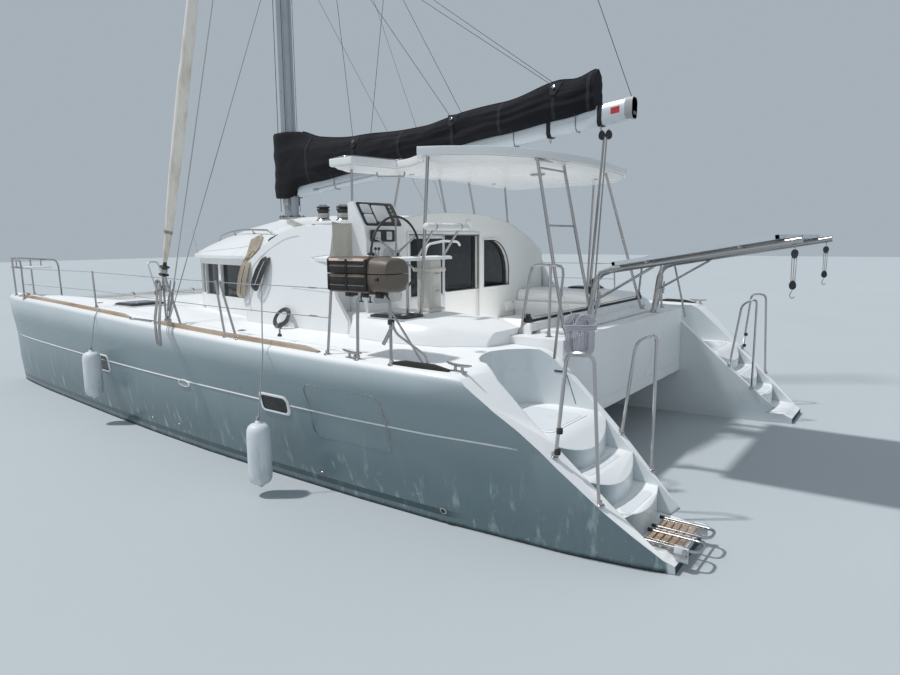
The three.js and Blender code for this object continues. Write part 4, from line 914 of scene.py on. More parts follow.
def ledge(side):
    """The thin bright step along the topsides, just under the chine."""
    rings = []
    for k in range(LEDGE_PARTS + 1):
        x = LEDGE["fore"] + (LEDGE["aft"] - LEDGE["fore"]) * k / LEDGE_PARTS
        place, _ = on_topside(side, x, CHINE - 0.004)
        push = LEDGE["out"] * min(1.0, 0.15 + min(k, LEDGE_PARTS - k) / 3)
        rings.append([place + vec(0, SIDES[side] * push * a, LEDGE["tall"] * b) for a, b in LEDGE_PROFILE])
    Shape().loft(rings).make("topside_ledge_" + side, ["gelcoat"])


PORTLIGHTS = ((1.66, 0.775, 0.33, 0.235, 0.05), (-2.06, 0.805, 0.44, 0.20, 0.055))
OVAL = (-0.425, 0.79, 0.25, 0.085)
PANEL = (-3.04, 0.83, 0.92, 0.50)


def on_surface(side, levels, middle):
    """Rings of (a, b) pairs laid on the curved topside about a middle (x, z), each at its own height."""
    x, z = middle
    rings = []
    for outline, height in levels:
        hits = [on_topside(side, x + a, z + b) for a, b in outline]
        rings.append([place + out * height for place, out in hits])
    return rings


def scaled(outline, grow):
    return [(a + copysign(grow, a) if abs(a) > 1e-6 else a, b + copysign(grow, b)) for a, b in outline]


def portlights(side):
    """Two windows in their frames and gaskets, and the hooded oval vent between them."""
    frames, glass = Shape(), Shape()
    for x, z, long, tall, radius in PORTLIGHTS:
        def inset(a, b, tighter=1.0):
            return rounded(long - a, tall - b, radius * tighter)
        outer, inner = inset(0, 0), inset(0.09, 0.07, 0.6)
        lip, rim, gasket = inset(0.022, 0.022), inset(0.06, 0.045, 0.8), inset(0.07, 0.052, 0.7)
        frame = ((outer, -0.002), (outer, 0.004), (lip, 0.012), (rim, 0.010), (inner, 0.003))
        seal = ((gasket, 0.006), (gasket, 0.0085), (inner, 0.0075), (inner, 0.004))
        frames.loft(on_surface(side, frame, (x, z)), caps=False)
        glass.loft(on_surface(side, ((inner, 0.001), (inner, 0.0035)), (x, z)))
        frames.loft(on_surface(side, seal, (x, z)), 1, caps=False)
    x, z, long, tall = OVAL
    ellipse = [(long / 2 * cos(a), tall / 2 * sin(a)) for a in angles(28)]
    ring = [(a * 0.8, b * 0.7) for a, b in ellipse]
    hood = ((ellipse, -0.002), (ellipse, 0.006), (scaled(ring, 0.006), 0.014), (ring, 0.008))
    frames.loft(on_surface(side, hood, (x, z)), caps=False)
    frames.loft(on_surface(side, ((ring, 0.001), (ring, 0.006)), (x, z)), 2)
    frames.make("portlight_frames_" + side, ["gelcoat", "rubber", "grey"])
    glass.make("portlights_" + side, ["glass"], slot="tinted_glass")


BEAD_PROFILE = ((-0.014, -0.002), (-0.012, 0.0015), (-0.004, 0.007), (0.004, 0.007), (0.012, 0.003),
                (0.012, -0.002))


def topside_panel(side):
    """The large flat panel aft, with a bead round it."""
    x, z, long, tall = PANEL
    outline = rounded(long, tall, 0.09, 6)
    levels = [(scaled(outline, grow), out) for grow, out in BEAD_PROFILE]
    bead = Shape()
    bead.loft(on_surface(side, levels, (x, z)), caps=False)
    bead.make("topside_panel_" + side, ["gelcoat"])


OUTLETS = ((-0.1, 0.23, 0.022), (-3.95, 0.13, 0.034), (0.55, 0.20, 0.018), (-2.55, 0.17, 0.02))


def outlets(side):
    """Through-hull fittings with a short streak-catching lip."""
    fittings = Shape()
    for x, z, radius in OUTLETS:
        place, out = on_topside(side, x, z)
        fittings.lathe([(radius, -0.004), (radius, 0.006), (radius * 0.86, 0.010), (radius * 0.6, 0.010)],
                       place, out)
        fittings.lathe([(radius * 0.6, 0.0), (radius * 0.6, 0.0102)], place, out, 1)
    fittings.make("outlets_" + side, ["steel", "rubber"])


def cleat(shape, place, along, size=0.25, look=0):
    """A horned mooring cleat on two feet."""
    along = Vector(along).normalized()
    place = Vector(place)
    side = along.cross(UP)
    path = [place + along * size * t + UP * (0.048 + 0.012 * abs(t * 2) ** 2) for t in
            (-0.5, -0.4, -0.2, 0, 0.2, 0.4, 0.5)]
    shape.tube(path, [0.006, 0.010, 0.012, 0.012, 0.012, 0.010, 0.006], look, 10)
    for t in (-0.14, 0.14):
        foot = place + along * size * t
        shape.tube([foot, foot + UP * 0.05], [0.014, 0.010], look, 10)
    corners = [(size * 0.27, 0.022), (-size * 0.27, 0.022), (-size * 0.27, -0.022), (size * 0.27, -0.022)]
    shape.loft([[place + along * a + side * b + UP * z for a, b in corners] for z in (-0.002, 0.007)], look)


CLEATS = ((4.72, 0.13), (-3.2, 0.075), (-4.24, 0.12))
CHAIN_TRACK = (0.45, 0.1)
FILLERS = ((2.6, 2.42), (-1.2, 2.80))


def deck_gear(side):
    """Cleats, chainplate tracks and fillers along the side deck."""
    sign = SIDES[side]
    gear = Shape()

    def inboard(x, by):
        y = sign * (deck_edge(side, x) - by)
        return x, y, on_deck(side, x, y)

    for x, by in CLEATS:
        cleat(gear, inboard(x, by), (1, -0.12 * sign, 0))
    x, y, z = inboard(*CHAIN_TRACK)
    for dy in (-0.02, 0.03):
        gear.block((x - 0.24, y + dy - 0.008, z - 0.002), (x + 0.24, y + dy + 0.008, z + 0.012), 0.003)
    for x, y in FILLERS:
        cap = (x, sign * y, on_deck(side, x, sign * y))
        gear.lathe([(0.045, -0.002), (0.045, 0.004), (0.036, 0.007), (0, 0.007)], cap)
        gear.lathe([(0.012, 0.006), (0.012, 0.009)], cap, look=1)
    gear.make("deck_gear_" + side, ["steel", "rubber"])


hulls()
for side in SIDES:
    toe_rails(side)
    ledge(side)
    portlights(side)
    topside_panel(side)
    outlets(side)
    deck_gear(side)


# Cabin


def shadow_line(shape, path, width, look, lift=0.0015):
    """A thin strip on a surface, such as a seam or a gasket; path holds (place, outward, across)."""
    sink = 0.002
    rings = []
    for p, out, across in path:
        half = across * width / 2
        rings.append([p + out * lift - half, p + out * lift + half, p + half - out * sink,
                      p - half - out * sink])
    shape.loft(rings, look)


def node_hit(tree, start, ray):
    place, out, *_ = tree.ray_cast(Vector(start), Vector(ray))
    return place, out


ROOF_TREE = solid_tree("coachroof")


def on_roof(x, y):
    """The roof's place and outward direction above (x, y)."""
    place, out = node_hit(ROOF_TREE, (x, y, 4), -UP)
    if place is None:
        return vec(x, y, 2.5), UP.copy()
    return place, out if out.z > 0 else -out


def stand(place, out, ahead=(1, 0, 0)):
    """A matrix at a place on a surface: X towards ahead, Z out of it."""
    ahead = Vector(ahead)
    ahead = (ahead - out * ahead.dot(out)).normalized()
    return Matrix.Translation(place) @ Matrix((ahead, out.cross(ahead), out)).transposed().to_4x4()


def deck_hatch(shape, frame_at, long, wide, tall=0.03, looks=(0, 1, 2)):
    """A hatch's alloy frame, its dark lid, two hinges and two handles."""
    rim, lid, fitting = looks
    outline = rounded(long, wide, 0.06, 5)
    inner = rounded(long - 0.07, wide - 0.07, 0.04, 5)
    for ring, low, high, look in ((outline, -0.004, tall * 0.7, rim), (inner, tall * 0.7 - 0.002, tall, lid)):
        shape.plate(ring, high - low, frame_at @ moved(0, 0, low), look, 0.004)
    for side in (-1, 1):
        for a, b in ((long / 2 - 0.02, wide * 0.28), (-long / 2 + 0.07, wide * 0.25)):
            shape.plate(rounded(0.045, 0.03, 0.008, 3), 0.012,
                        frame_at @ moved(a, b * side, tall - 0.003), fitting, 0.003)


HANDRAILS = (((1.35, 1.25), (-0.35, 1.62)), ((-0.75, 1.68), (-1.75, 1.30)))
DOME_HATCHES = ((1.75, 0.62), (1.75, -0.62), (-0.6, -1.05))


RAIL_PARTS, RAIL_LIFT = 12, 0.055


def roof_handrail(shape, start, end):
    """A grab rail that follows the roof on two stanchions."""
    def on_line(k):
        return on_roof(*(a + (b - a) * k / RAIL_PARTS for a, b in zip(start, end)))
    path = []
    for k in range(RAIL_PARTS + 1):
        place, out = on_line(k)
        path.append(place + out * (RAIL_LIFT if 0 < k < RAIL_PARTS else -0.004))
    shape.tube(bent(path, 0.03), 0.0125, 3, 10)
    for k in (4, 8):
        place, out = on_line(k)
        shape.rod(place - out * 0.003, place + out * RAIL_LIFT, 0.010, 3)
        shape.lathe([(0.024, -0.002), (0.024, 0.003), (0.014, 0.008)], place, out, 3, 14)


def coachroof():
    """The roof with its hatches and grab rails; the helm side has no aft rail."""
    fittings = Shape()
    for x, y in DOME_HATCHES:
        deck_hatch(fittings, stand(*on_roof(x, y)), 0.42, 0.42)
    for (x0, y0), (x1, y1) in HANDRAILS:
        for sign in (1, -1):
            if sign < 0 or x0 > 0:
                roof_handrail(fittings, (x0, sign * y0), (x1, sign * y1))
    fittings.make("roof_fittings", ["beam", "black", "grey", "steel"])
    dress("coachroof", ["gelcoat"], smooth=40)
    seam = Shape()
    for sign in (1, -1):
        path = []
        for k in range(25):
            y = sign * (1.52 + 0.38 * sin(pi * min(1.0, k / 12) / 2))
            path.append((*on_roof(1.9 - 3.7 * k / 24, y), vec(0, sign, 0)))
        shadow_line(seam, path, 0.012, 0)
    seam.make("roof_seams", ["cover"])


def window_wall():
    dress("cabin_front", ["gelcoat"], smooth=40)
    dress("cabin_windows", ["glass"], smooth=40)


ARCH_EDGE = ((-0.76, 1.42), (-0.68, 1.56), (-0.63, 1.70), (-0.622, 1.80), (-0.62, 1.90), (-0.64, 2.01),
             (-0.67, 2.11), (-0.78, 2.22), (-0.92, 2.31), (-1.05, 2.38), (-1.18, 2.44), (-1.32, 2.477),
             (-1.46, 2.497))
ARCH_BAND, ARCH_MIDDLE = 0.10, (-1.75, 1.5)
SIDE_TREE = {side: solid_tree("cabin_side_" + side) for side in SIDES}


def on_cabin_side(side, x, z):
    sign = SIDES[side]
    place, out = node_hit(SIDE_TREE[side], (x, sign * 4, z), (0, -sign, 0))
    if place is None:
        return None, None
    return place, out if out.y * sign > 0 else -out


def arch_side(side):
    """The tall side panel with the moulded line inside its front edge and a locker's seam."""
    dress("cabin_side_" + side, ["gelcoat"], smooth=42)
    lines = Shape()
    path = []
    for edge in ARCH_EDGE:
        inward = (Vector(ARCH_MIDDLE) - Vector(edge)).normalized()
        place, out = on_cabin_side(side, *(Vector(edge) + inward * ARCH_BAND))
        if place is not None:
            across = vec(inward.x, 0, inward.y)
            path.append((place, out, (across - out * across.dot(out)).normalized()))
    shadow_line(lines, path, 0.014, 0)
    hits = (on_cabin_side(side, -1.45 - 0.075 * k, 1.84 - 0.003 * k) for k in range(12))
    lower = [(place, out, UP) for place, out in hits if place is not None]
    if len(lower) > 3:
        shadow_line(lines, lower, 0.006, 0)
    lines.make("arch_lines_" + side, ["cover"])


BULKHEAD_AFT = -2.05
DOORWAY = {"port": 1.05, "meet": 0.33, "starboard": -0.45, "bottom": 0.9, "top": 2.42, "pane": 1.69}
QUARTER = {"near": -0.56, "far": -1.24, "bottom": 1.69, "top": 2.34, "corner": 0.46}


LEAF = {"x": -2.018, "starboard": 0.31, "port": 1.045, "stile": 0.05}


def strip_round(shape, outline, depth, width, look, x=BULKHEAD_AFT):
    """A raised frame round an opening in the bulkhead; outline holds (y, z) pairs."""
    points = [vec(x, y, z) for y, z in outline]
    middle = sum(points, Vector()) / len(points)
    sink = 0.003
    rings = []
    for before, point, after in zip(points[-1:] + points[:-1], points, points[1:] + points[:1]):
        across = (after - before).normalized().cross(AHEAD)
        if across.dot(point - middle) < 0:
            across = -across
        section = ((0, -sink), (0, depth), (width * 0.8, depth), (width, depth * 0.4), (width, -sink))
        rings.append([point + across * a - AHEAD * b for a, b in section])
    shape.loft([*rings, rings[0]], look, caps=False)


def quarter_outline(grow=0.0):
    """The window beside the door: square at the bottom and inboard, with one wide round corner."""
    q = QUARTER
    corner = q["corner"]
    points = [(q["near"] + grow, q["bottom"] - grow), (q["near"] + grow, q["top"] + grow)]
    for angle in (pi / 2 * k / 12 for k in range(13)):
        points.append((q["far"] + corner - corner * sin(angle) - grow * sin(angle),
                       q["top"] - corner + corner * cos(angle) + grow * cos(angle)))
    return [*points, (q["far"] - grow, q["bottom"] - grow)]


def bulkhead():
    """Frames, gaskets, the door's tracks, a lamp, plates and a switch box on the aft bulkhead."""
    dress("cabin_bulkhead", ["grey_gelcoat"], smooth=40)
    dress("cockpit_windows", ["glass"], smooth=40)
    d, x = DOORWAY, BULKHEAD_AFT
    trim = Shape()
    foot = d["bottom"] + 0.02
    door = [(d["port"], foot), (d["port"], d["top"]), (d["starboard"], d["top"]), (d["starboard"], foot)]
    near, far, low, high = d["meet"] - 0.045, d["starboard"] + 0.03, d["pane"] + 0.005, d["top"] - 0.03
    pane = [(near, low), (near, high), (far, high), (far, low)]
    strip_round(trim, door, 0.012, 0.035, 0)
    strip_round(trim, quarter_outline(), 0.012, 0.03, 0)
    strip_round(trim, quarter_outline(-0.012), 0.006, 0.014, 1)
    strip_round(trim, pane, 0.006, 0.018, 1)
    for z in (d["bottom"] + 0.015, d["top"] - 0.012):
        trim.block((x - 0.010, d["starboard"], z - 0.006), (x + 0.004, d["port"], z + 0.006), 0.002, 2)
    lamp = [(0.0, 0.0), (0.05, 0.0), (0.05, 0.012), (0.036, 0.022), (0.0, 0.024)]
    cap = [(0.045, 0.0), (0.045, 0.006), (0.036, 0.012), (0.0, 0.013)]
    for profile, y, z in ((lamp, -0.2, 2.55), (cap, -1.62, 1.5), (cap, -1.86, 1.5)):
        trim.lathe(profile, (x, y, z), -AHEAD, 3, 20)
    trim.block((x - 0.02, -1.5, 1.30), (x + 0.003, -1.15, 1.45), 0.008, 3)
    trim.block((x - 0.024, -1.35, 1.42), (x - 0.016, -1.30, 1.44), 0.003, 2)
    trim.make("bulkhead_trim", ["grey_gelcoat", "rubber", "steel", "white"])


# Helm


def door_leaf():
    """The sliding door: stiles and rails, a lower panel, the glass and a handle."""
    leaf = Shape()
    x, y0, y1, stile = (LEAF[key] for key in ("x", "starboard", "port", "stile"))
    inner, outer = y0 + 0.04, y1 - 0.04
    for y in (y0, y1 - stile):
        leaf.block((x - 0.022, y, 0.905), (x - 0.001, y + stile, 2.412), 0.003, 1)
    for z in (0.905, 1.62, 2.362):
        leaf.block((x - 0.022, inner, z), (x - 0.001, outer, z + stile), 0.003, 1)
    leaf.block((x - 0.016, inner, 0.95), (x - 0.006, outer, 1.63), 0.002, 2)
    leaf.block((x - 0.015, inner, 1.66), (x - 0.007, outer, 2.37), 0.001, 0)
    leaf.block((x - 0.0219, y0 + 0.01, 1.50), (x - 0.020, inner, 1.66), 0.0005, 3)
    looks = ["glass", "boom", "grey_gelcoat", "black"]
    leaf.make("door_leaf", looks, "sliding_door", "tinted_glass", ["sliding_door"])


CONSOLE_FACE = (vec(-2.285, 0, 2.49), vec(-2.13, 0, 2.755))
CONSOLE_Y = (1.40, 2.03)


def instrument_panel(panel):
    """The sloping black panel with three light covers and a row of buttons."""
    low, high = CONSOLE_FACE
    up = (high - low).normalized()
    out = vec(-up.z, 0, up.x)
    middle = (low + high) / 2 + vec(0, sum(CONSOLE_Y) / 2, 0)
    place = Matrix.Translation(middle) @ Matrix((-TO_PORT, up, out)).transposed().to_4x4()
    wide, tall = CONSOLE_Y[1] - CONSOLE_Y[0] - 0.05, (high - low).length - 0.02
    panel.plate(rounded(wide, tall, 0.03), 0.008, place @ moved(0, 0, -0.001))
    for a, b, w, h in INSTRUMENT_COVERS:
        panel.plate(rounded(w, h, 0.02), 0.016, place @ moved(a, b, 0.006), 1, 0.004)
        panel.plate(rounded(w + 0.016, h + 0.016, 0.022), 0.006, place @ moved(a, b, 0.005))
    button = [(0.014, 0), (0.014, 0.006), (0.008, 0.008), (0.008, 0.014), (0, 0.015)]
    for k in range(5):
        panel.lathe(button, place @ vec(0.20, 0.09 - k * 0.045, 0.006), out, 3, 14)


def gauges(panel):
    """Two square gauges with their ticks and hands, on the console's upright face."""
    face, z0, ring = GAUGES["x"], GAUGES["z"], GAUGES["ticks"]
    outline = rounded_at(sum(GAUGES["y"]) / 2, z0, 0.36, 0.125, 0.012)
    panel.loft([[vec(face - d, y, z) for y, z in outline] for d in (-0.001, 0.018, 0.022)], 0)
    for y in GAUGES["y"]:
        dial = rounded_at(y, z0, 0.085, 0.085, 0.012)
        panel.loft([[vec(face - d, a, b) for a, b in dial] for d in (0.020, 0.024)], 2)
        for angle in (radians(-120 + 30 * k) for k in range(9)):
            tick = vec(face - 0.0248, y + ring * sin(angle), z0 + ring * cos(angle))
            panel.rod(tick, tick + vec(0, -0.007 * sin(angle), -0.007 * cos(angle)), 0.0012, 0, 5)
        panel.rod((face - 0.025, y, z0), (face - 0.025, y + 0.020, z0 + 0.020), 0.0014, 0, 6)


def console():
    """The helm console: instruments, gauges, the wheel's hub, engine levers, screws and a blank door."""
    dress("helm_console", ["gelcoat"], smooth=40)
    panel = Shape()
    instrument_panel(panel)
    gauges(panel)
    hub = [(0.075, -0.001), (0.075, 0.012), (0.06, 0.02), (0.035, 0.03), (0.03, 0.10)]
    panel.lathe(hub, (-2.31, 1.70, 2.20), -AHEAD, 1)
    panel.block((-2.36, 1.93, 2.06), (-2.305, 2.02, 2.22), 0.012, 0)
    knob = [(0.0, -0.018), (0.013, -0.012), (0.016, 0), (0.013, 0.012), (0, 0.018)]
    for y in LEVER_Y:
        panel.tube(bent([(-2.345, y, 2.14), (-2.39, y, 2.16), (-2.405, y, 2.25)], 0.02), 0.008, 3, 10)
        panel.lathe(knob, (-2.405, y, 2.262), UP, 0, 14)
    for y in (1.5, 1.93):
        panel.lathe([(0.012, -0.001), (0.012, 0.002), (0.007, 0.004)], (-2.31, y, 1.75), -AHEAD, 3, 12)
    outline = rounded_at(1.715, 1.86, 0.46, 0.36, 0.04)
    panel.loft([[vec(-2.3125 + d, y, z) for y, z in outline] for d in (0.004, 0.0)], 1)
    panel.make("helm_instruments", ["black", "cover", "dial", "steel"])


INSTRUMENT_COVERS = ((-0.19, 0.055, 0.14, 0.11), (-0.19, -0.065, 0.14, 0.11), (0.02, 0.0, 0.22, 0.20))
GAUGES = {"x": -2.31, "z": 2.395, "y": (1.70, 1.88), "ticks": 0.033}
LEVER_Y = (1.95, 2.0)


def rounded_at(y, z, wide, tall, radius):
    return [(y + a, z + b) for a, b in rounded(wide, tall, radius)]


WHEEL = {"centre": vec(-2.43, 1.70, 2.20), "radius": 0.395, "parts": 72, "grips": 12, "spokes": 6}


def wheel():
    """A thin-rimmed sports wheel with drilled spokes and stitched black leather."""
    centre, radius = WHEEL["centre"], WHEEL["radius"]
    shape = Shape()
    rim = []
    for angle in angles(WHEEL["parts"]):
        grip = 0.0125 + 0.0012 * (0.5 + 0.5 * cos(angle * WHEEL["grips"]))
        out = vec(0, cos(angle), sin(angle))
        rim.append([centre + out * (radius + grip * cos(b)) + AHEAD * (grip * 0.95 * sin(b))
                    for b in angles(12)])
    shape.loft([*rim, rim[0]], 0, caps=False)
    for k in range(WHEEL["spokes"]):
        angle = 2 * pi * (k + 0.5) / WHEEL["spokes"]
        along, across = vec(0, cos(angle), sin(angle)), vec(0, -sin(angle), cos(angle))
        plane, thin = centre + AHEAD * 0.004, AHEAD * 0.003
        rings = []
        for t, half in ((0.03, 0.020), (0.12, 0.013), (0.28, 0.010), (radius - 0.006, 0.015)):
            spot, side = plane + along * t, across * half
            rings.append([spot + side + thin, spot + side - thin, spot - side - thin, spot - side + thin])
        shape.loft(rings, 1)
        for t in (0.10, 0.15, 0.20, 0.25):
            shape.pin(plane + along * t, AHEAD, 0.0055, 0.0035, 0, 10)
    hub = [(0.045, 0.012), (0.048, 0.0), (0.042, -0.010), (0.026, -0.016), (0.0, -0.018)]
    shape.lathe(hub, centre, AHEAD, 1)
    shape.lathe([(0.020, -0.015), (0.018, -0.022), (0.0, -0.023)], centre, AHEAD, 0, 20)
    shape.make("wheel", ["black", "steel"], "steering_wheel", "black_plastic", ["steering_wheel"])


BENCH = {"aft": -2.92, "fore": -2.64, "low": 1.32, "high": 2.29, "under": 2.145, "top": 2.18}


BENCH_LOCKER = (((-2.88, 1.50, 1.601), (-2.69, 1.69, 2.147), 0.02),
                ((-2.886, 1.53, 1.66), (-2.878, 1.66, 1.86), 0.003),
                ((-2.886, 1.53, 1.90), (-2.878, 1.66, 2.07), 0.003),
                ((-2.91, 1.46, 2.02), (-2.66, 1.72, 2.06), 0.012),
                ((-2.90, 1.47, 1.602), (-2.67, 1.71, 1.64), 0.012))
BENCH_ARM = ((-2.70, 1.56, 2.18), (-2.73, 1.55, 2.30), (-2.76, 1.30, 2.335), (-2.76, 1.02, 2.325),
             (-2.74, 0.955, 2.24))
BACK_ROLL = {"x": -3.108, "z": 2.478, "low": 1.335, "high": 2.065, "radius": 0.036, "parts": 44}


def helm_bench():
    """The helm seat on its locker and post, with an arm rest and the back's two tubes."""
    seat = Shape()
    b = BENCH
    outline = rounded(b["fore"] - b["aft"], b["high"] - b["low"], 0.07, 6)
    middle = moved((b["fore"] + b["aft"]) / 2, (b["low"] + b["high"]) / 2, b["under"])
    seat.plate(outline, b["top"] - b["under"], middle, 0, 0.008)
    for low, high, bevel in BENCH_LOCKER:
        seat.block(low, high, bevel, 3)
    for z in (1.82, 2.0):
        handle = [(-2.884, 1.57, z), (-2.905, 1.57, z), (-2.905, 1.62, z), (-2.884, 1.62, z)]
        seat.tube(bent(handle, 0.01), 0.005, 2, 8)
    seat.tube(bent(BENCH_ARM, 0.06)[:-2] + [vec(-2.75, 0.985, 2.285)], 0.013, 0, 12)
    seat.tube([(-2.80, 1.97, 1.585), (-2.80, 1.97, 2.147)], 0.016, 2, 14)
    seat.lathe([(0.045, 0), (0.045, 0.006), (0.02, 0.012)], (-2.80, 1.97, 1.60), UP, 2, 20)
    for y in (1.48, 1.90):
        seat.tube(bent([(-2.84, y, 2.15), (-2.885, y, 2.18), (-3.11, y, 2.48)], 0.04), 0.0125, 2, 12)
        seat.block((-2.875, y - 0.022, 2.150), (-2.835, y + 0.022, 2.186), 0.006, 2)
    seat.make("helm_bench", ["gelcoat", "cover", "steel", "cream"], slot="gelcoat", replaces=["helm_seat"])


def bench_roll():
    """The padded roll that the helm's sitter leans on, pinched at its two ties."""
    r = BACK_ROLL
    roll = Shape()
    rings = []
    long = r["high"] - r["low"]
    for t in (k / r["parts"] for k in range(r["parts"] + 1)):
        y = r["low"] + long * t
        end = min(t, 1 - t) * long
        dome = sqrt(max(0.0, 1 - (1 - min(1.0, end / 0.022)) ** 2))
        radius = r["radius"] * min(1.0, dome * 0.99 + 0.01)
        radius *= 1 - 0.05 * exp(-((t - 0.2) * 60) ** 2) - 0.05 * exp(-((t - 0.8) * 60) ** 2)
        crush = 0.0015 * sin(y * 41) + 0.001 * sin(y * 97)
        rings.append(ring_about(vec(r["x"], y, r["z"] + crush), AHEAD, UP, (radius, radius * 0.97), 20))
    roll.loft(rings, 0)
    for y in (1.49, 1.91):
        roll.lathe([(0.0355, -0.012), (0.037, 0), (0.0355, 0.012)], (r["x"], y, r["z"]), TO_PORT, 1)
    made = roll.make("bench_back_roll", ["white", "grey"])


WINCH = ((0.078, -0.002), (0.078, 0.012), (0.070, 0.020), (0.066, 0.030), (0.050, 0.045), (0.045, 0.075),
         (0.047, 0.105), (0.056, 0.125), (0.060, 0.130), (0.060, 0.136), (0.050, 0.142), (0.050, 0.150),
         (0.061, 0.156), (0.061, 0.164), (0.052, 0.170), (0.036, 0.176), (0.036, 0.186), (0.014, 0.188),
         (0.012, 0.178))
WINCH_WIDER, WINCH_TALLER = 1.22, 1.08


def winch(shape, x, y, z):
    """A self-tailing winch: ribbed drum, bright foot and top, feeder arm and turns of line."""
    drum = [(r * WINCH_WIDER, h * WINCH_TALLER) for r, h in WINCH]
    for part, look in ((drum[:5], 1), (drum[4:14], 0), (drum[13:], 1)):
        shape.lathe(part, (x, y, z), UP, look, 36)
    for angle in angles(18):
        around = vec(cos(angle), sin(angle), 0)
        foot = vec(x, y, z) + around * 0.057
        shape.tube([foot + UP * 0.054, foot + UP * 0.113 + around * 0.002], 0.0024, 0, 6)
    arm = [vec(x, y, z) + vec(0.070 * cos(a), 0.070 * sin(a), 0.158)
           for a in (0.5 + 0.16 * k for k in range(9))]
    shape.tube(arm, 0.0065, 1, 8)
    for k in range(4):
        height = z + 0.056 + 0.013 * k
        turn = [vec(x + 0.064 * cos(a), y + 0.064 * sin(a), height + 0.013 * a / (2 * pi))
                for a in angles(20, 21)]
        shape.tube(turn, 0.0058, 2, 7)


WINCHES = ((-1.47, 1.83), (-1.69, 1.74))
WINCH_FOOT = 2.545


def winches():
    pad = Shape()
    pad.plate(rounded(0.54, 0.36, 0.07, 6), 0.035, moved(-1.62, 1.78, 2.53), 3, 0.010)
    for x, y in WINCHES:
        winch(pad, x, y, WINCH_FOOT)
    looks = ["black", "steel", "white_rope", "gelcoat"]
    pad.make("winches_dressed", looks, slot="winch_metal", replaces=["winches"])


LED_LINES = ((1.02, 0.14, 1), (0.55, 0.30, 1), (0.1, 0.95, 0.9), (-0.5, 1.32, 1), (-1.12, 1.60, 1),
             (-1.40, 1.74, 0.9))
LED_SPACING = 0.032
MAST_STEP = 1.2


def running_lines():
    """Lines led from the mast's foot over the roof to the clutches and the winches."""
    gear = Shape()
    for row, look in enumerate((2, 3, 4, 2)):
        spread = LED_SPACING * row
        hits = [on_roof(x, y + spread * share) for x, y, share in LED_LINES]
        points = [place + out * 0.016 for place, out in hits]
        gear.tube(through(points, 8), 0.0055, look, 7)
        gear.lathe([(0.017, -0.012), (0.013, 0.0), (0.017, 0.012), (0.0, 0.013)], points[1], UP, 1, 16)
        at = stand(*on_roof(-1.02, 1.55 + spread), (-0.80, 0.5, 0))
        gear.plate(rounded(0.13, 0.026, 0.006), 0.05, at @ moved(0, 0, -0.003), 0, 0.005)
        gear.tube([at @ vec(-0.05, 0, 0.046), at @ vec(0.075, 0, 0.066)], [0.010, 0.006], 0, 8)
    gear.plate(rounded(0.09, 0.20, 0.03), 0.008, stand(*on_roof(0.55, 0.36)) @ moved(0, 0, -0.003), 1)
    foot = on_roof(MAST_STEP, 0.0)[0].z
    collar = [(0.20, -0.03), (0.20, 0.006), (0.185, 0.016), (0.16, 0.02)]
    gear.lathe(collar, (MAST_STEP, 0, foot + 0.003), UP, 1, 40)
    for angle in (radians(45 * k) for k in range(8)):
        spot = vec(MAST_STEP + 0.178 * cos(angle), 0.178 * sin(angle), foot + 0.01)
        gear.lathe([(0.018, 0), (0.018, 0.014), (0.006, 0.03)], spot, UP, 0, 12)
    gear.make("roof_lines", ["black", "steel", "white_rope", "fleck_rope", "tan_rope"])


coachroof()
window_wall()
for side in SIDES:
    arch_side(side)
bulkhead()
door_leaf()
console()
wheel()
helm_bench()
bench_roll()
winches()
running_lines()


# Mast, boom, sails and rigging

MAST = {"x": 1.20, "chord": 0.27, "width": 0.19, "foot": 2.70, "top": 17.60, "hounds": 13.10}
BOOM = {"fore": 1.02, "aft": -4.35, "z": 3.11, "rise": 0.115, "depth": 0.215, "width": 0.15}
BAG = ((1.12, 3.01, 3.99, 0.172), (0.89, 3.172, 3.985, 0.178), (0.50, 3.215, 3.90, 0.200),
       (-0.22, 3.30, 3.815, 0.215), (-1.55, 3.453, 3.85, 0.205), (-2.72, 3.588, 4.01, 0.185),
       (-3.50, 3.677, 4.13, 0.160), (-3.93, 3.727, 4.185, 0.120))
COLLAR = {"x": 1.22, "long": 0.28, "wide": 0.172, "low": 3.01, "high": 3.99}
BAG_WIDTHS = ((0.0, 0.42), (0.06, 0.70), (0.16, 0.90), (0.32, 1.0), (0.52, 0.99), (0.70, 0.88), (0.84, 0.66),
              (0.94, 0.36), (1.0, 0.07))
LAZY_POINTS = (-0.35, -2.05, -3.45)


def boom_z(x):
    return BOOM["z"] + BOOM["rise"] * (BOOM["fore"] - x)


def curve_through(rows, x):
    """The values of a table's rows at x, run smoothly from one row to the next."""
    for before, after in zip(rows, rows[1:]):
        low, high = sorted((before[0], after[0]))
        if low <= x <= high:
            t = (x - before[0]) / (after[0] - before[0])
            t = t * 0.5 + t * t * (3 - 2 * t) * 0.5
            return [a + (b - a) * t for a, b in zip(before[1:], after[1:])]
    return list((rows[0] if abs(x - rows[0][0]) < abs(x - rows[-1][0]) else rows[-1])[1:])


def bag_section(x):
    """The bag's bottom, top and half width at x; round the mast it is the collar's own ellipse."""
    if x <= BAG[0][0]:
        return curve_through(BAG, x)
    c = COLLAR
    share = min(1.0, abs(x - c["x"]) / c["long"]) if x > c["x"] else 0.0
    return [c["low"], c["high"], max(0.004, c["wide"] * sqrt(max(0.0, 1 - share * share)))]


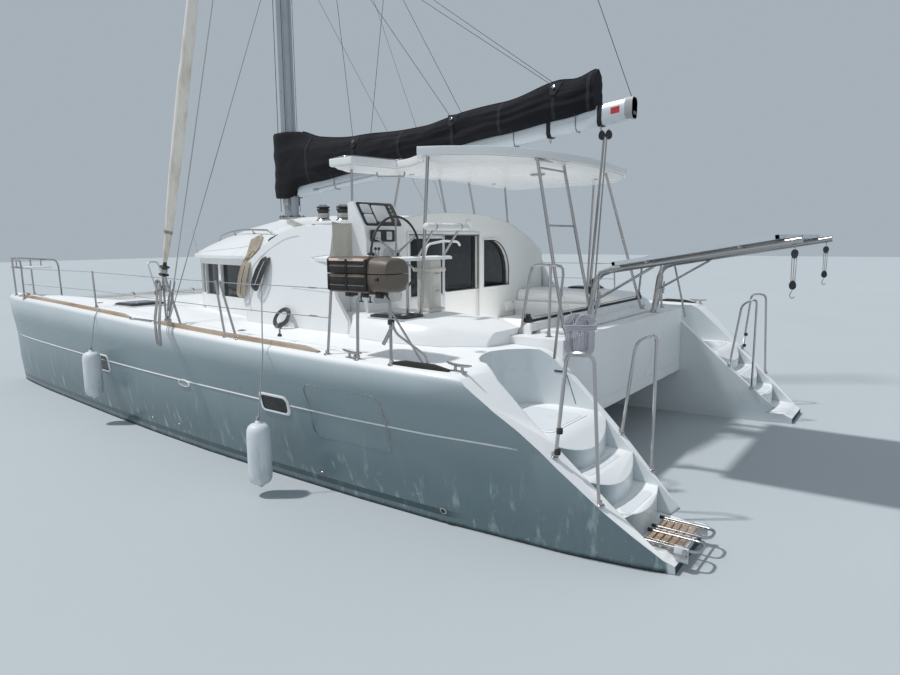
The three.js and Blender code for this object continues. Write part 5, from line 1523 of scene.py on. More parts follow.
def bag_point(x, t, side):
    """A point of the bag's cloth: t runs from its bottom to the ridge, side is -1 or 1."""
    low, high, half = bag_section(x)
    width = curve_through(BAG_WIDTHS, t)[0]
    collar = max(0.0, min(1.0, (x - 0.75) / 0.35))
    round_width = min(1.0, 0.86 + 0.6 * sin(pi * t) ** 0.5)
    width = width * (1 - collar) + round_width * collar
    sag = 0.0
    for fore, aft in zip((0.95, *LAZY_POINTS), (*LAZY_POINTS, -3.93)):
        if aft <= x <= fore:
            sag = sin(pi * (fore - x) / (fore - aft)) ** 2
    tall = high - low
    z = low + tall * t - 0.035 * sag * t * (1 - collar)
    here = vec(x * 0.9, side * 3.0, t * 2.2)
    long_folds = noise.noise(vec(x * 0.7, side * 5.0, t * 6.0 + x * 0.4)) * 0.022
    drag = noise.noise(vec(x * 3.2 + t * 2.0, side * 2.0, t * 1.3)) * 0.014
    fine = noise.noise(here * 5.0) * 0.005
    pull = sum(exp(-((x - spot) / 0.22) ** 2) for spot in LAZY_POINTS) * 0.022 * sin(pi * t)
    ease = sin(pi * min(1.0, max(0.0, t))) ** 0.4
    y = half * width * (1 + 0.04 * sag) + (long_folds + drag + fine - pull) * ease
    return vec(x, side * max(y, 0.003), z + (drag * 0.6 + fine) * ease)


BAG_ROWS, BAG_ACROSS, BAG_AFT = 170, 26, -3.93
BAG_SEAMS = (0.62, -0.35, -1.2, -2.05, -2.75, -3.45, -3.86)
BAG_TIES = (0.15, -0.9, -1.9, -2.9, -3.7)


def bag_cloth():
    """The lazy bag with the sail in it, and its collar round the mast, as one cloth over the gooseneck."""
    fore, near_mast = COLLAR["x"] + COLLAR["long"] - 0.001, 0.12
    rings = []
    for k in range(BAG_ROWS + 1):
        s = k / BAG_ROWS
        if s <= near_mast:
            s = near_mast * (s / near_mast) ** 1.4
        x = fore - (fore - BAG_AFT) * s
        right = [bag_point(x, j / BAG_ACROSS, 1) for j in range(BAG_ACROSS + 1)]
        left = [bag_point(x, j / BAG_ACROSS, -1) for j in range(BAG_ACROSS, -1, -1)]
        rings.append(right + left)
    joint = ("boat", "boom", (1.25, 0, 3.5), (0.70, 0, 3.5))
    nodes = ["sail_bag", "mast_collar"]
    made = Shape().loft(rings).make("sail_bag_cloth", ["canvas"], joint, "black_canvas", nodes, smooth=75)


def bag_trims():
    """Seams, ridge, lazy jack patches and the ties under the boom."""
    trims = Shape()
    for x in BAG_SEAMS:
        for side in (-1, 1):
            path = []
            for t in (j / BAG_ACROSS for j in range(1, BAG_ACROSS)):
                path.append((bag_point(x, t, side), vec(0, side, 0.4 * (t - 0.4)).normalized(), AHEAD))
            shadow_line(trims, path, 0.045, 0, 0.004)
    ridge = []
    for k in range(90):
        x = 0.86 - 4.76 * k / 89
        middle = bag_point(x, 1.0, 1) * 0.5 + bag_point(x, 1.0, -1) * 0.5
        ridge.append(middle + vec(0, 0.004 * sin(x * 9), 0.006))
    trims.tube(ridge, 0.013, 0, 8, 0.6)
    for x in LAZY_POINTS:
        for side in (-1, 1):
            spot = bag_point(x, 0.74, side) + vec(0, side * 0.004, 0)
            at = Matrix.Translation(spot) @ Matrix.Rotation(-side * radians(62), 4, "X")
            trims.plate([(0.09, -0.10), (0.03, 0.07), (-0.03, 0.07), (-0.09, -0.10)], 0.004, at, 0, 0.001)
            ring = [(0.020, 0), (0.020, 0.006), (0.012, 0.007), (0.012, 0)]
            trims.lathe(ring, spot + vec(0, side * 0.012, 0.03), (0, side, 0.45), 1, 16)
    half, depth = BOOM["width"] / 2, BOOM["depth"] / 2
    for x in BAG_TIES:
        for side in (-1, 1):
            z = boom_z(x)
            path = [bag_point(x, 0.06, side) + vec(0, side * 0.006, 0),
                    vec(x, side * (half + 0.008), z + 0.03),
                    vec(x, side * (half + 0.006), z - 0.04), vec(x, side * 0.045, z - depth - 0.004),
                    vec(x, 0, z - depth - 0.006)]
            trims.tube(through(path, 4), 0.004, 2, 6)
    trims.make("sail_bag_trims", ["webbing", "steel", "black_rope"], "boom")


RED_LABEL = (-4.16, 0.10)
BOOM_STRAPS = ((-3.36, 0.05), (-3.98, 0.05))


BOOM_SECTION = ((-0.62, -1), (0.62, -1), (1, -0.62), (1, 0.62), (0.62, 1), (-0.62, 1), (-1, 0.62),
                (-1, -0.62))


def boom():
    """The boom's straps, label, end cap with sheaves, grooves, reefing lines and bail."""
    extra = Shape()
    half, depth = BOOM["width"] / 2, BOOM["depth"] / 2
    for x, wide in BOOM_STRAPS:
        z = boom_z(x)
        ring = [(x, (half + 0.006) * a, z + (depth + 0.006) * b) for a, b in BOOM_SECTION]
        extra.loft([[Vector(p) + vec(d, 0, -d * BOOM["rise"]) for p in ring] for d in (-wide / 2, wide / 2)],
                   1)
        eye = [(x, 0, z - depth), (x, 0.0, z - depth - 0.06), (x + 0.001, 0.03, z - depth - 0.06),
               (x + 0.001, 0.03, z - depth)]
        extra.tube(bent(eye, 0.02), 0.006, 2, 8)
    x, wide = RED_LABEL
    z = boom_z(x) + 0.01
    for side in (-1, 1):
        corners = box_corners(-wide / 2, wide / 2, -0.035, 0.035)
        extra.loft([[vec(x + a, side * (half + out), z + b - a * BOOM["rise"]) for a, b in corners]
                    for out in (-0.001, 0.0012)], 3)
    end = BOOM["aft"]
    z = boom_z(end)
    extra.loft([[vec(end + d, (half + 0.0035) * a, z + (depth + 0.0035) * b) for a, b in BOOM_SECTION]
                for d in (0.0, 0.085)], 4)
    for y in (-0.04, 0.0, 0.04):
        extra.lathe([(0.028, -0.007), (0.022, 0), (0.028, 0.007)], (end + 0.015, y, z - 0.055), TO_PORT, 2,
                    18)
    for side in (-1, 1):
        groove = ((0.0005, -0.012), (0.0005, 0.012), (-0.003, 0.012), (-0.003, -0.012))
        extra.loft([[vec(x, side * (half + out), boom_z(x) + dz) for out, dz in groove]
                    for x in (0.9, end + 0.1)], 5)
        fore, aft = (vec(x, side * (half + out), boom_z(x) - 0.06)
                     for x, out in ((0.55, 0.014), (-1.2, 0.012)))
        extra.rod(fore, aft, 0.005, 6, 7)
        for x in (0.55, -1.2):
            y = side * (half + 0.008)
            extra.block((x - 0.05, y - 0.008, boom_z(x) - 0.075), (x + 0.05, y + 0.008, boom_z(x) - 0.045),
                        0.004, 4)
    bail = [vec(x, 0, boom_z(-2.5) - depth + z)
            for x, z in ((-2.55, 0), (-2.55, -0.05), (-2.45, -0.05), (-2.45, 0))]
    extra.tube(bent(bail, 0.02), 0.006, 2, 8)
    dress("boom", ["boom", "webbing", "steel", "red", "grey", "cover", "fleck_rope"], extra=extra, smooth=40)


def block_body(shape, place, along, size=0.04, looks=(0, 1)):
    """A sheave between two cheeks, hung along a direction."""
    along = Vector(along).normalized()
    axle = along.cross(vec(1, 0.2, 0)).normalized()
    shape.lathe([(size * 0.82, -0.006), (size * 0.62, 0.0), (size * 0.82, 0.006)], place, axle, looks[0], 20)
    across = axle.cross(along)
    for sign in (-1, 1):
        ring = []
        for b in angles(18):
            stretch = 1.45 if cos(b) > 0 else 1.1
            ring.append(along * size * stretch * cos(b) + across * size * 0.92 * sin(b))
        shape.loft([[place + p + axle * sign * d for p in ring] for d in (0.007, 0.0115)], looks[0])
    shape.tube([place + along * size * 1.2, place + along * size * 1.75], 0.006, looks[1], 8)


SHEET_CAR = vec(-3.92, 0.02, 1.59)
SHEET_HEAD = vec(-4.03, 0.0, 3.52)


TRACK_SECTION = ((-0.020, 0.0), (-0.020, 0.006), (-0.010, 0.010), (-0.014, 0.024), (0.014, 0.024),
                 (0.010, 0.010), (0.020, 0.006), (0.020, 0.0))
PLINTH = ((-3.86, 1.232), (-3.86, 1.525), (-3.875, 1.545), (-3.962, 1.545), (-3.98, 1.525), (-3.992, 1.468),
          (-4.160, 1.458), (-4.185, 1.435), (-4.185, 1.232))
PLINTH_SOCKETS = ((-4.12, 1.10), (-4.12, 0.42), (-4.12, -1.10))
FALLS = ((-0.03, 0.0), (0.03, 0.0), (0.0, 0.028), (-0.05, 0.02), (0.05, -0.02))


def mainsheet():
    """The traveller's track and car on the aft beam, and the sheet's purchase up to the boom."""
    track = Shape()
    x = SHEET_CAR.x
    track.loft([[vec(a, y, b) for a, b in PLINTH] for y in (-1.402, 1.402)], 3)
    for sign in (-1, 1):
        ends = [[vec(a, sign * y, max(b, 1.43)) for a, b in PLINTH[:6]] for y in (1.39, 1.53)]
        ends.append([p + vec(0, sign * 0.02, -0.03 if p.z > 1.45 else 0) for p in ends[-1]])
        track.loft(ends, 3)
    for foot in PLINTH_SOCKETS:
        track.lathe([(0.036, -0.004), (0.036, 0.005), (0.020, 0.010), (0.019, 0.034)], (*foot, 1.459), UP, 1,
                    20)
    track.loft([[vec(x + a, y, 1.5445 + b) for a, b in TRACK_SECTION] for y in (-1.50, 1.50)], 0)
    for y in (-1.49, 1.49):
        track.block((x - 0.03, y - 0.035, 1.545), (x + 0.03, y + 0.035, 1.595), 0.008, 0)
        track.lathe([(0.026, -0.016), (0.020, 0), (0.026, 0.016)], (x, y, 1.608), AHEAD, 0, 16)
    car = vec(x, SHEET_CAR.y, 1.570)
    track.block(car - vec(0.032, 0.07, 0.012), car + vec(0.032, 0.07, 0.022), 0.006, 0)
    eye = [car + vec(0, y, z) for y, z in ((-0.02, 0.02), (-0.018, 0.07), (0.018, 0.07), (0.02, 0.02))]
    track.tube(bent(eye, 0.015), 0.005, 1, 8)
    for sign in (-1, 1):
        track.rod(car + vec(0.0, 0.07 * sign, 0.012), vec(x, 1.46 * sign, 1.592), 0.0045, 2, 7)
    lower = SHEET_CAR + vec(0, 0, 0.16)
    up = (SHEET_HEAD - lower).normalized()
    block_body(track, lower, up, 0.042)
    block_body(track, lower + up * 0.10, up, 0.030)
    track.make("traveller", ["black", "steel", "fleck_rope", "gelcoat"])
    falls = Shape()
    upper = SHEET_HEAD - up * 0.06
    for dx, dy in FALLS:
        start = lower + vec(dx * 0.9, dy, 0.05)
        path = [start + (upper - start) * k / 12 + vec(dx, dy, 0) * (k / 24) for k in range(13)]
        falls.tube(path, 0.0055, 0, 7)
    for dx in (0.04, -0.04):
        block_body(falls, upper + vec(dx, 0, 0.01), UP, 0.040, (1, 2))
    falls.make("mainsheet_falls", ["fleck_rope", "black", "steel"], ("boat", "boom", lower, upper))


HALYARDS = (((1.13, 0.114), (1.13, 0.10), 0), ((1.13, -0.114), (1.13, -0.10), 1),
            ((1.37, 0.07), (1.345, 0.03), 0), ((1.37, -0.06), (1.345, -0.03), 2))
HALYARD_ENDS = (2.80, 17.45)


def mast():
    """The mast's track, plates, rivets, lamp and masthead, and the halyards beside it."""
    extra = Shape()
    aft = MAST["x"] - MAST["chord"] / 2
    track = [(-0.006, -0.012), (-0.010, -0.012), (-0.010, 0.012), (-0.006, 0.012)]
    extra.loft([[vec(aft + a + 0.009, b, z) for a, b in track] for z in (4.05, 17.3)], 1)
    for k in range(40):
        z = 4.2 + 0.33 * k
        extra.block((aft - 0.002, -0.010, z), (aft + 0.004, 0.010, z + 0.010), 0.0, 1)
    for low, high in ((0.093, 0.101), (-0.097, -0.097)):
        extra.block((1.12, low, 2.89), (1.28, high, 3.01), 0.002, 1)
    for z in (3.0, 4.6, 7.2, 9.8):
        for y in (-1, 1):
            extra.lathe([(0.010, 0), (0.010, 0.004), (0.005, 0.007)], (1.23, y * 0.094, z), (0, y, 0), 1, 10)
    lamp = [(0.0, 0.0), (0.035, 0.0), (0.04, 0.02), (0.04, 0.07), (0.03, 0.085), (0.0, 0.09)]
    extra.lathe(lamp, (1.36, 0, 8.9), UP, 2, 18)
    extra.block((1.325, -0.03, 8.885), (1.38, 0.03, 8.902), 0.004, 2)
    extra.lathe([(0.10, 0), (0.13, 0.02), (0.16, 0.05), (0.10, 0.09), (0.0, 0.10)], (1.05, 0, 17.495), UP, 2,
                24)
    for x, y in ((0.93, -0.5), (0.93, 0.5), (0.79, -1.0), (0.79, 1.0)):
        extra.pin((x, y, 6.9), (0.3, 1, 0), 0.014, 0.02, 2, 12)
    dress("mast", ["mast", "steel", "white"], extra=extra, smooth=40)
    lines = Shape()
    for foot, head, look in HALYARDS:
        low, high = (vec(*at, z) for at, z in zip((foot, head), HALYARD_ENDS))
        lines.tube(straight(low, high, 10), 0.005, look, 6)
    lines.make("halyards", ["black_rope", "fleck_rope", "white_rope"])


STAY_FOOT, STAY_TOP = vec(5.05, 0, 1.56), vec(1.36, 0, 13.10)
ROLL = ((1.955, 0.034), (2.02, 0.044), (2.25, 0.062), (3.10, 0.088), (4.30, 0.110), (5.60, 0.102),
        (7.40, 0.084), (9.60, 0.064), (11.70, 0.042), (12.30, 0.030))


def on_stay(z):
    return STAY_FOOT + (STAY_TOP - STAY_FOOT) * ((z - STAY_FOOT.z) / (STAY_TOP.z - STAY_FOOT.z))


ROLL_ROWS, ROLL_SIDES, SHEET_TURNS, SHEET_Z = 190, 30, 4, 2.50
DRUM = ((0.02, -0.03), (0.045, -0.025), (0.093, 0.0), (0.095, 0.006), (0.093, 0.016), (0.050, 0.03),
        (0.045, 0.12), (0.050, 0.142), (0.093, 0.158), (0.095, 0.166), (0.092, 0.172), (0.040, 0.19),
        (0.032, 0.26), (0.028, 0.30), (0.0, 0.302))
DRUM_Z = 1.70


def genoa():
    """The rolled headsail with its edges wound as spiral steps, its sheets' turns, and the drum."""
    axis = (STAY_TOP - STAY_FOOT).normalized()
    first = axis.cross(TO_PORT).normalized()
    second = axis.cross(first)

    def round_stay(angle):
        return first * cos(angle) + second * sin(angle)
    roll = Shape()
    rings = []
    for k in range(ROLL_ROWS + 1):
        z = ROLL[0][0] + (ROLL[-1][0] - ROLL[0][0]) * k / ROLL_ROWS
        radius = curve_through(ROLL, z)[0]
        ring = []
        for angle in angles(ROLL_SIDES):
            wind = (angle / (2 * pi) + z * 0.62) % 1.0
            leech = (angle / (2 * pi) - z * 0.23 + 0.4) % 1.0
            step = 0.0075 * (wind - 0.5) + 0.005 * (leech - 0.5)
            crease = noise.noise(vec(cos(angle) * 1.5, sin(angle) * 1.5, z * 1.7)) * 0.005
            ring.append(on_stay(z) + round_stay(angle) * min(radius + step + crease, radius + 0.006))
        rings.append(ring)
    roll.loft(rings, 0)
    wrapped = curve_through(ROLL, SHEET_Z)[0] + 0.007
    path = [on_stay(SHEET_Z + 0.014 * a / (2 * pi)) + round_stay(a) * wrapped
            for a in angles(18, 18 * SHEET_TURNS + 1)]
    roll.tube(path, 0.0065, 1, 7)
    looks = ["sail", "fleck_rope"]
    made = roll.make("rolled_headsail", looks, "furled_genoa", "sailcloth", ["furled_genoa"], smooth=40)
    drum = Shape()
    place = on_stay(DRUM_Z)
    drum.lathe(DRUM, place, axis, 0, 32)
    for k in range(5):
        path = [place + axis * (0.042 + 0.016 * k + 0.016 * a / (2 * pi)) + round_stay(a) * 0.056
                for a in angles(18, 19)]
        drum.tube(path, 0.0075, 1, 7)
    drum.lathe([(0.024, 0.30), (0.024, 0.33), (0.015, 0.335)], place, axis, 2, 16)
    drum.make("furling_drum", ["black", "white_rope", "steel"], "furled_genoa")
    dress("forestay", ["steel"], smooth=60)


CHAINPLATE = vec(-0.15, 3.01, 1.47)


TURNBUCKLE = (((-0.02, 0.05), 0.011, 10), ((0.05, 0.10), 0.006, 8),
              ((0.10, 0.115, 0.27, 0.285), [0.008, 0.012, 0.012, 0.008], 12), ((0.285, 0.34), 0.006, 8),
              ((0.34, 0.35, 0.46), [0.006, 0.009, 0.0075], 10))


def rigging(side):
    """Turnbuckles at the shrouds' feet."""
    sign = SIDES[side]
    fittings = Shape()
    foot = vec(CHAINPLATE.x, CHAINPLATE.y * sign, CHAINPLATE.z)
    for top, dx in ((vec(0.78, sign * 1.15, 6.9), -0.025), (vec(1.17, sign * 0.10, 13.1), 0.025)):
        start = foot + vec(dx, 0, 0)
        along = (top - start).normalized()
        for places, radii, sides in TURNBUCKLE:
            fittings.tube([start + along * t for t in places], radii, 0, sides)
    fittings.block(foot + vec(-0.06, -0.012, -0.055), foot + vec(0.06, 0.012, 0.02), 0.006, 0)
    dress("shrouds_" + side, ["steel"], smooth=60)
    fittings.make("turnbuckles_" + side, ["steel"])


def lazy_jacks():
    """Light lines from the mast to the bag's sides, and the topping lift to the boom's end."""
    for side, sign in SIDES.items():
        lines = Shape()
        split, head = vec(-0.4, sign * 0.55, 6.2), vec(1.0, sign * 0.45, 10.2)
        for x in LAZY_POINTS:
            foot = bag_point(x, 0.76, sign) + vec(0, sign * 0.012, 0.03)
            lines.tube(straight(foot, split, 8), 0.0035, 0, 6)
        lines.tube(straight(split, head, 6), 0.004, 0, 6)
        lines.lathe([(0.014, -0.008), (0.010, 0), (0.014, 0.008)], split, AHEAD, 1, 12)
        lines.make("lazy_jack_" + side, ["black_rope", "steel"],
                   ("boat", "boom", (0.6, 0, 8.5), (-0.4, 0, 4.1)))
    low, high = vec(BOOM["aft"] + 0.03, 0, boom_z(BOOM["aft"]) + 0.10), vec(1.02, 0, 17.5)
    lift = Shape().tube(straight(low, high, 24), 0.004, 0, 6)
    lift.make("topping_lift", ["black_rope"], ("boat", "boom", high, low))


bag_cloth()
bag_trims()
boom()
mainsheet()
mast()
genoa()
for side in SIDES:
    rigging(side)
lazy_jacks()


# Bimini

BIMINI_PLAN = ((-1.56, -1.96), (-1.62, -2.04), (-3.15, -2.05), (-3.52, -1.90), (-3.70, -1.48), (-3.76, -0.70),
               (-3.76, 0.30), (-3.68, 0.85), (-3.50, 1.44), (-3.22, 1.85), (-3.00, 2.04), (-2.93, 1.94),
               (-2.52, 1.40), (-2.20, 1.19), (-1.96, 1.12), (-1.96, 1.86), (-1.62, 1.86), (-1.56, 1.78))
ROOF_DROP = 0.068


def inset(outline, distance):
    """A closed plan outline moved inwards, with its corners kept from running away."""
    points = [Vector(p) for p in outline]
    area = sum(a.x * b.y - b.x * a.y for a, b in zip(points, points[1:] + points[:1]))
    inner = []
    for before, here, after in zip(points[-1:] + points[:-1], points, points[1:] + points[:1]):
        first, second = (here - before).normalized(), (after - here).normalized()
        middle = (first + second).normalized()
        normal = vec(-middle.y, middle.x) * (1 if area > 0 else -1)
        inner.append(here + normal * distance / max(0.6, abs(middle.dot(first))))
    return inner


def bimini_shell():
    """The roof's CAD solid with a thick rounded rim."""
    work = bmesh.new()
    work.from_mesh(frame["nodes"]["bimini_top"].data)
    bmesh.ops.remove_doubles(work, verts=work.verts, dist=MERGE)
    bmesh.ops.recalc_face_normals(work, faces=work.faces)
    rim = [e for e in work.edges if len(e.link_faces) == 2 and e.calc_face_angle(0) > radians(50)]
    bmesh.ops.bevel(work, geom=rim, offset=RIM_ROUND, segments=4, profile=0.5, affect="EDGES",
                    clamp_overlap=True)
    return shape_from(work)


RIM_ROUND, RIM_INSET, TRAY_SLOPE, GRID_STEP = 0.033, 0.035, 0.16, 0.07
CEILING_LAMP = (-3.05, -0.25)
CEILING_SPOTS = ((-2.0, 0.9), (-2.0, -0.9), (-3.4, -1.2))
GUTTER = ((-1.64, 1.80), (-1.90, 1.80), (-1.93, 1.14), (-2.20, 1.24), (-2.54, 1.46), (-2.90, 1.95))
BIMINI_TREE = solid_tree("bimini_top")


def under_bimini(x, y, drop=ROOF_DROP):
    place, out = node_hit(BIMINI_TREE, (x, y, 2.5), UP)
    return vec(x, y, place.z if place else 3.15) - UP * drop


def bimini_tray(roof):
    """The underside, moulded as one smooth tray that hides the hoops."""
    edge = inset(BIMINI_PLAN, RIM_INSET)
    sides = list(zip(edge, edge[1:] + edge[:1]))

    def from_edge(point):
        gaps = []
        for a, b in sides:
            along = b - a
            t = min(1.0, max(0.0, (point - a).dot(along) / along.dot(along)))
            gaps.append((a + along * t - point).length)
        return min(gaps)
    dense = []
    for a, b in sides:
        dense += straight(a, b, max(1, round((b - a).length / 0.06)))[:-1]
    inside = [vec(-3.74 + GRID_STEP * i, -2.03 + GRID_STEP * j) for i in range(31) for j in range(59)]
    inside = [p for p in inside if from_edge(p) > 0.035]
    rim = [(k, (k + 1) % len(dense)) for k in range(len(dense))]
    plan, _, flats, *_ = delaunay_2d_cdt(dense + inside, rim, [], 1, 1e-6)
    tray = []
    for point in plan:
        share = min(1.0, from_edge(point) / TRAY_SLOPE)
        tray.append(under_bimini(point.x, point.y, -0.004 + (ROOF_DROP + 0.004) * sin(share * pi / 2) ** 0.9))
    roof.add(tray, [list(f)[::-1] for f in flats])


def bimini():
    """The hard roof with its tray, a lamp, spots, a handle and a steel gutter."""
    roof = bimini_shell()
    bimini_tray(roof)
    lamp = under_bimini(*CEILING_LAMP)
    for scale, low, look in ((1.0, -0.018, 1), (0.8, -0.026, 2)):
        roof.loft([ring_about(lamp + UP * z, AHEAD, TO_PORT, (0.10 * scale, 0.055 * scale), 28)
                   for z in (0, low)],
                  look)
    for x, y in CEILING_SPOTS:
        profile = [(0.03, 0.004), (0.03, -0.006), (0.018, -0.010), (0, -0.010)]
        roof.lathe(profile, under_bimini(x, y), UP, 3, 18)
    fore, aft = under_bimini(-1.95, 1.45), under_bimini(-2.35, 1.45)
    roof.tube(bent([fore, fore - UP * 0.05, aft - UP * 0.05, aft], 0.03), 0.010, 3, 10)
    looks = ["gelcoat", "grey", "cover", "steel"]
    roof.make("bimini_roof", looks, slot="gelcoat", replaces=["bimini_top"], smooth=44)
    rows = [node_hit(BIMINI_TREE, (x, y, 4), -UP)[0] for x, y in through(GUTTER, 6)]
    Shape().tube([p + UP * 0.006 for p in rows if p], 0.012).make("bimini_track", ["steel"])


POST_FEET = ((-2.960, 1.960, 1.60), (-4.120, 1.100, 1.44), (-4.120, 0.420, 1.44), (-4.120, -1.100, 1.44),
             (-2.960, -1.960, 1.60))


def flange(shape, place, out=UP, radius=0.036, look=0):
    """A post's foot: a plate with its socket and three screws."""
    profile = [(radius, -0.003), (radius, 0.005), (radius * 0.55, 0.010), (radius * 0.5, 0.034),
               (radius * 0.42, 0.036)]
    shape.lathe(profile, place, out, look, 20)
    place, out = Vector(place), Vector(out).normalized()
    side = out.cross(vec(0.2, 1, 0.1)).normalized()
    for angle in angles(3):
        spot = place + Matrix.Rotation(angle, 3, out) @ side * (radius * 0.78)
        shape.lathe([(0.004, 0.003), (0.004, 0.0065)], spot, out, look, 8)


def bimini_frame():
    extra = Shape()
    for foot in POST_FEET:
        flange(extra, foot)
    dress("bimini_frame", ["steel"], extra=extra, smooth=50)


# Rails


LIFELINE_FEET = ((-0.10, 3.000), (-0.52, 3.050), (-1.39, 3.130), (-1.60, 3.140), (-2.90, 3.180),
                 (2.14, 2.690), (4.56, 2.64), (5.29, 2.478), (5.29, 2.205))
BOW_SEAT = {"middle": (4.885, 2.335, 1.944), "size": (0.35, 0.41, 0.030)}
WIRE_ENDS = ((-2.72, -2.60, 3.105), (4.42, 4.30, 2.62))
LANDING_LEVEL = 1.2


def rails(side):
    sign = SIDES[side]

    def feet(shape, places, top=3.0, radius=0.036):
        for x, y in places:
            flange(shape, (x, sign * y, on_deck(side, x, sign * y, top)), radius=radius)
        return shape
    extra = feet(Shape(), LIFELINE_FEET, radius=0.034)
    x, y, z = BOW_SEAT["middle"]
    half = Vector(BOW_SEAT["size"]) / 2
    extra.block(vec(x, sign * y, z) - half, vec(x, sign * y, z) + half, 0.012, 1)
    for z in (1.94, 1.69):
        for x0, x1, y in WIRE_ENDS:
            path = [(x0 + (x1 - x0) * t, sign * y, z) for t in (0, 0.15, 0.85, 1)]
            extra.tube(path, [0.004, 0.0075, 0.0075, 0.004], 0, 8)
    dress("guardrail_" + side, ["steel", "white"], extra=extra, smooth=50)
    pushpit = Shape()
    for x, y in ((-3.87, 1.56), (-4.20, 1.59)):
        flange(pushpit, (x, sign * y, on_top(x, sign * y)))
    dress("pushpit_" + side, ["steel"], extra=pushpit, smooth=50)
    stern = feet(Shape(), ((-4.94, 2.90), (-5.28, 2.84)), LANDING_LEVEL)
    for z in (0.98, 0.82):
        spot = vec(-4.952 - 0.09 * (z - 0.62), sign * 2.9, z)
        stern.lathe([(0.022, -0.02), (0.024, -0.012), (0.024, 0.012), (0.022, 0.02)], spot, UP, 1, 14)
    dress("stern_rail_outer_" + side, ["steel", "rubber"], extra=stern, smooth=50)
    inner = feet(Shape(), ((-5.02, 1.818), (-5.31, 1.85)), LANDING_LEVEL)
    dress("stern_rail_inner_" + side, ["steel"], extra=inner, smooth=50)


COCKPIT_TREE = solid_tree("cockpit")


def on_top(x, y):
    place, out = node_hit(COCKPIT_TREE, (x, y, 3), -UP)
    return place.z if place else 1.44


# Davits and solar panel

DAVIT_Y, TACKLE_X, TACKLE_Z = 0.96, -6.13, 2.29


def davits():
    """Arms with their braces, clamps, tackles with a hook, falls and a cleat."""
    for side, sign in SIDES.items():
        y = sign * DAVIT_Y
        extra = Shape()
        flange(extra, (-4.302, y, 1.44), radius=0.065)
        extra.tube([(-4.392, y, 1.75), (-4.95, y, 2.085)], 0.013, 0, 12)
        loop = [(-4.335, y - 0.035, 1.50), (-4.345, y - 0.10, 1.60), (-4.37, y - 0.10, 1.88),
                (-4.378, y - 0.03, 1.96)]
        extra.tube(bent(loop, 0.04), 0.012, 0, 12)
        extra.pin((-4.36, y, 1.72), (0.13, 0, -1), 0.037, 0.02, 0, 20)
        extra.pin((-4.95, y, 2.12), (1, 0, -0.17), 0.037, 0.02, 0, 20)
        tip = vec(TACKLE_X, y, TACKLE_Z)
        block_body(extra, tip - UP * 0.07, -UP, 0.03, (1, 0))
        extra.tube([tip, tip - UP * 0.03], 0.005, 0, 8)
        block_body(extra, tip - UP * 0.34, UP, 0.03, (1, 0))
        for dx in (-0.018, 0.0, 0.018):
            extra.tube([tip + vec(dx, 0, -0.09), tip + vec(dx * 0.8, 0, -0.32)], 0.004, 2, 6)
        hook = [tip + vec(dx, 0, dz) for dx, dz in ((0, -0.38), (0.02, -0.42), (0, -0.45), (-0.02, -0.43))]
        extra.tube(bent(hook, 0.015), 0.004, 0, 8)
        fall = [(-6.10, y, 2.352), (-5.3, y + 0.034, 2.215), (-4.6, y + 0.036, 2.09),
                (-4.42, y + 0.036, 2.03), (-4.37, y + 0.036, 1.75)]
        extra.tube(fall, 0.0045, 2, 6)
        cleat(extra, vec(-4.42, y, 1.70), (0.12, 0, -1), 0.14)
        dress("davit_" + side, ["steel", "black", "white_rope"], extra=extra, smooth=50)


PANEL_ENDS = ((-4.62, 2.0985), (-6.04, 2.3435))


SOLAR = {"wide": 1.145, "middle": 0.5765, "frame": 0.03}


def solar_panel():
    """Two framed panels side by side on the davits' arms."""
    (x0, z0), (x1, z1) = PANEL_ENDS
    along = vec(x1 - x0, 0, z1 - z0).normalized()
    out = vec(along.z, 0, -along.x)
    length = hypot(x1 - x0, z1 - z0)
    long, wide, bar = length / 2, SOLAR["wide"] / 2, SOLAR["frame"]
    axes = Matrix((-along, TO_PORT, out)).transposed().to_4x4()
    panel = Shape()
    for sign in (-1, 1):
        place = moved((x0 + x1) / 2, sign * SOLAR["middle"], (z0 + z1) / 2) @ axes
        for bounds in ((-long, long, -wide, -wide + bar), (-long, long, wide - bar, wide),
                       (-long, -long + bar, -wide, wide), (long - bar, long, -wide, wide)):
            panel.slab(box_corners(*bounds), (-0.004, 0.031), place, 1)
        inner = box_corners(-long + 0.02, long - 0.02, -wide + 0.02, wide - 0.02)
        panel.slab(inner, (0.020, 0.027), place, 0)
        panel.slab(inner, (0.014, 0.0195), place, 2)
        panel.block(place @ vec(-0.06, -0.05, -0.012), place @ vec(0.06, 0.05, 0.014), 0.004, 3)
    for t in (0.22, 0.78):
        spot = vec(x0, 0, z0) + along * length * t
        panel.tube([spot + vec(0, y, -0.017) for y in (-1.12, 1.12)], 0.012, 4, 12)
    looks = ["cells", "boom", "white", "black", "steel"]
    panel.make("solar_panels", looks, slot="solar_glass", replaces=["solar_panel"])


# Barbecue

BARBECUE = {"fore": -2.98, "split": -3.42, "aft": -3.62, "y": 3.06, "half": 0.163,
            "barbecue_lid": (2.0865, 2.2205), "barbecue": (2.0795, 1.9245)}


BOX_RINGS = ((0.004, 7, 0.95), (0, 7, 1.0), (-0.015, 7, 1.0), (-0.43, 7, 1.0), (-0.44, 7, 1.0))
DRUM_RINGS = ((-0.441, 3.4, 0.965), (-0.50, 3.2, 0.955), (-0.595, 3.0, 0.93), (-0.625, 2.8, 0.88),
              (-0.638, 2.6, 0.78), (-0.64, 2.6, 0.70))
LOUVRES = {"barbecue_lid": ((2.170, 2.186, 0.020), (2.098, 2.142, 0.005)),
           "barbecue": ((2.008, 2.058, 0.005), (1.955, 1.986, 0.005))}
LOUVRE_SPANS = ((-3.185, -3.005), (-3.40, -3.215))


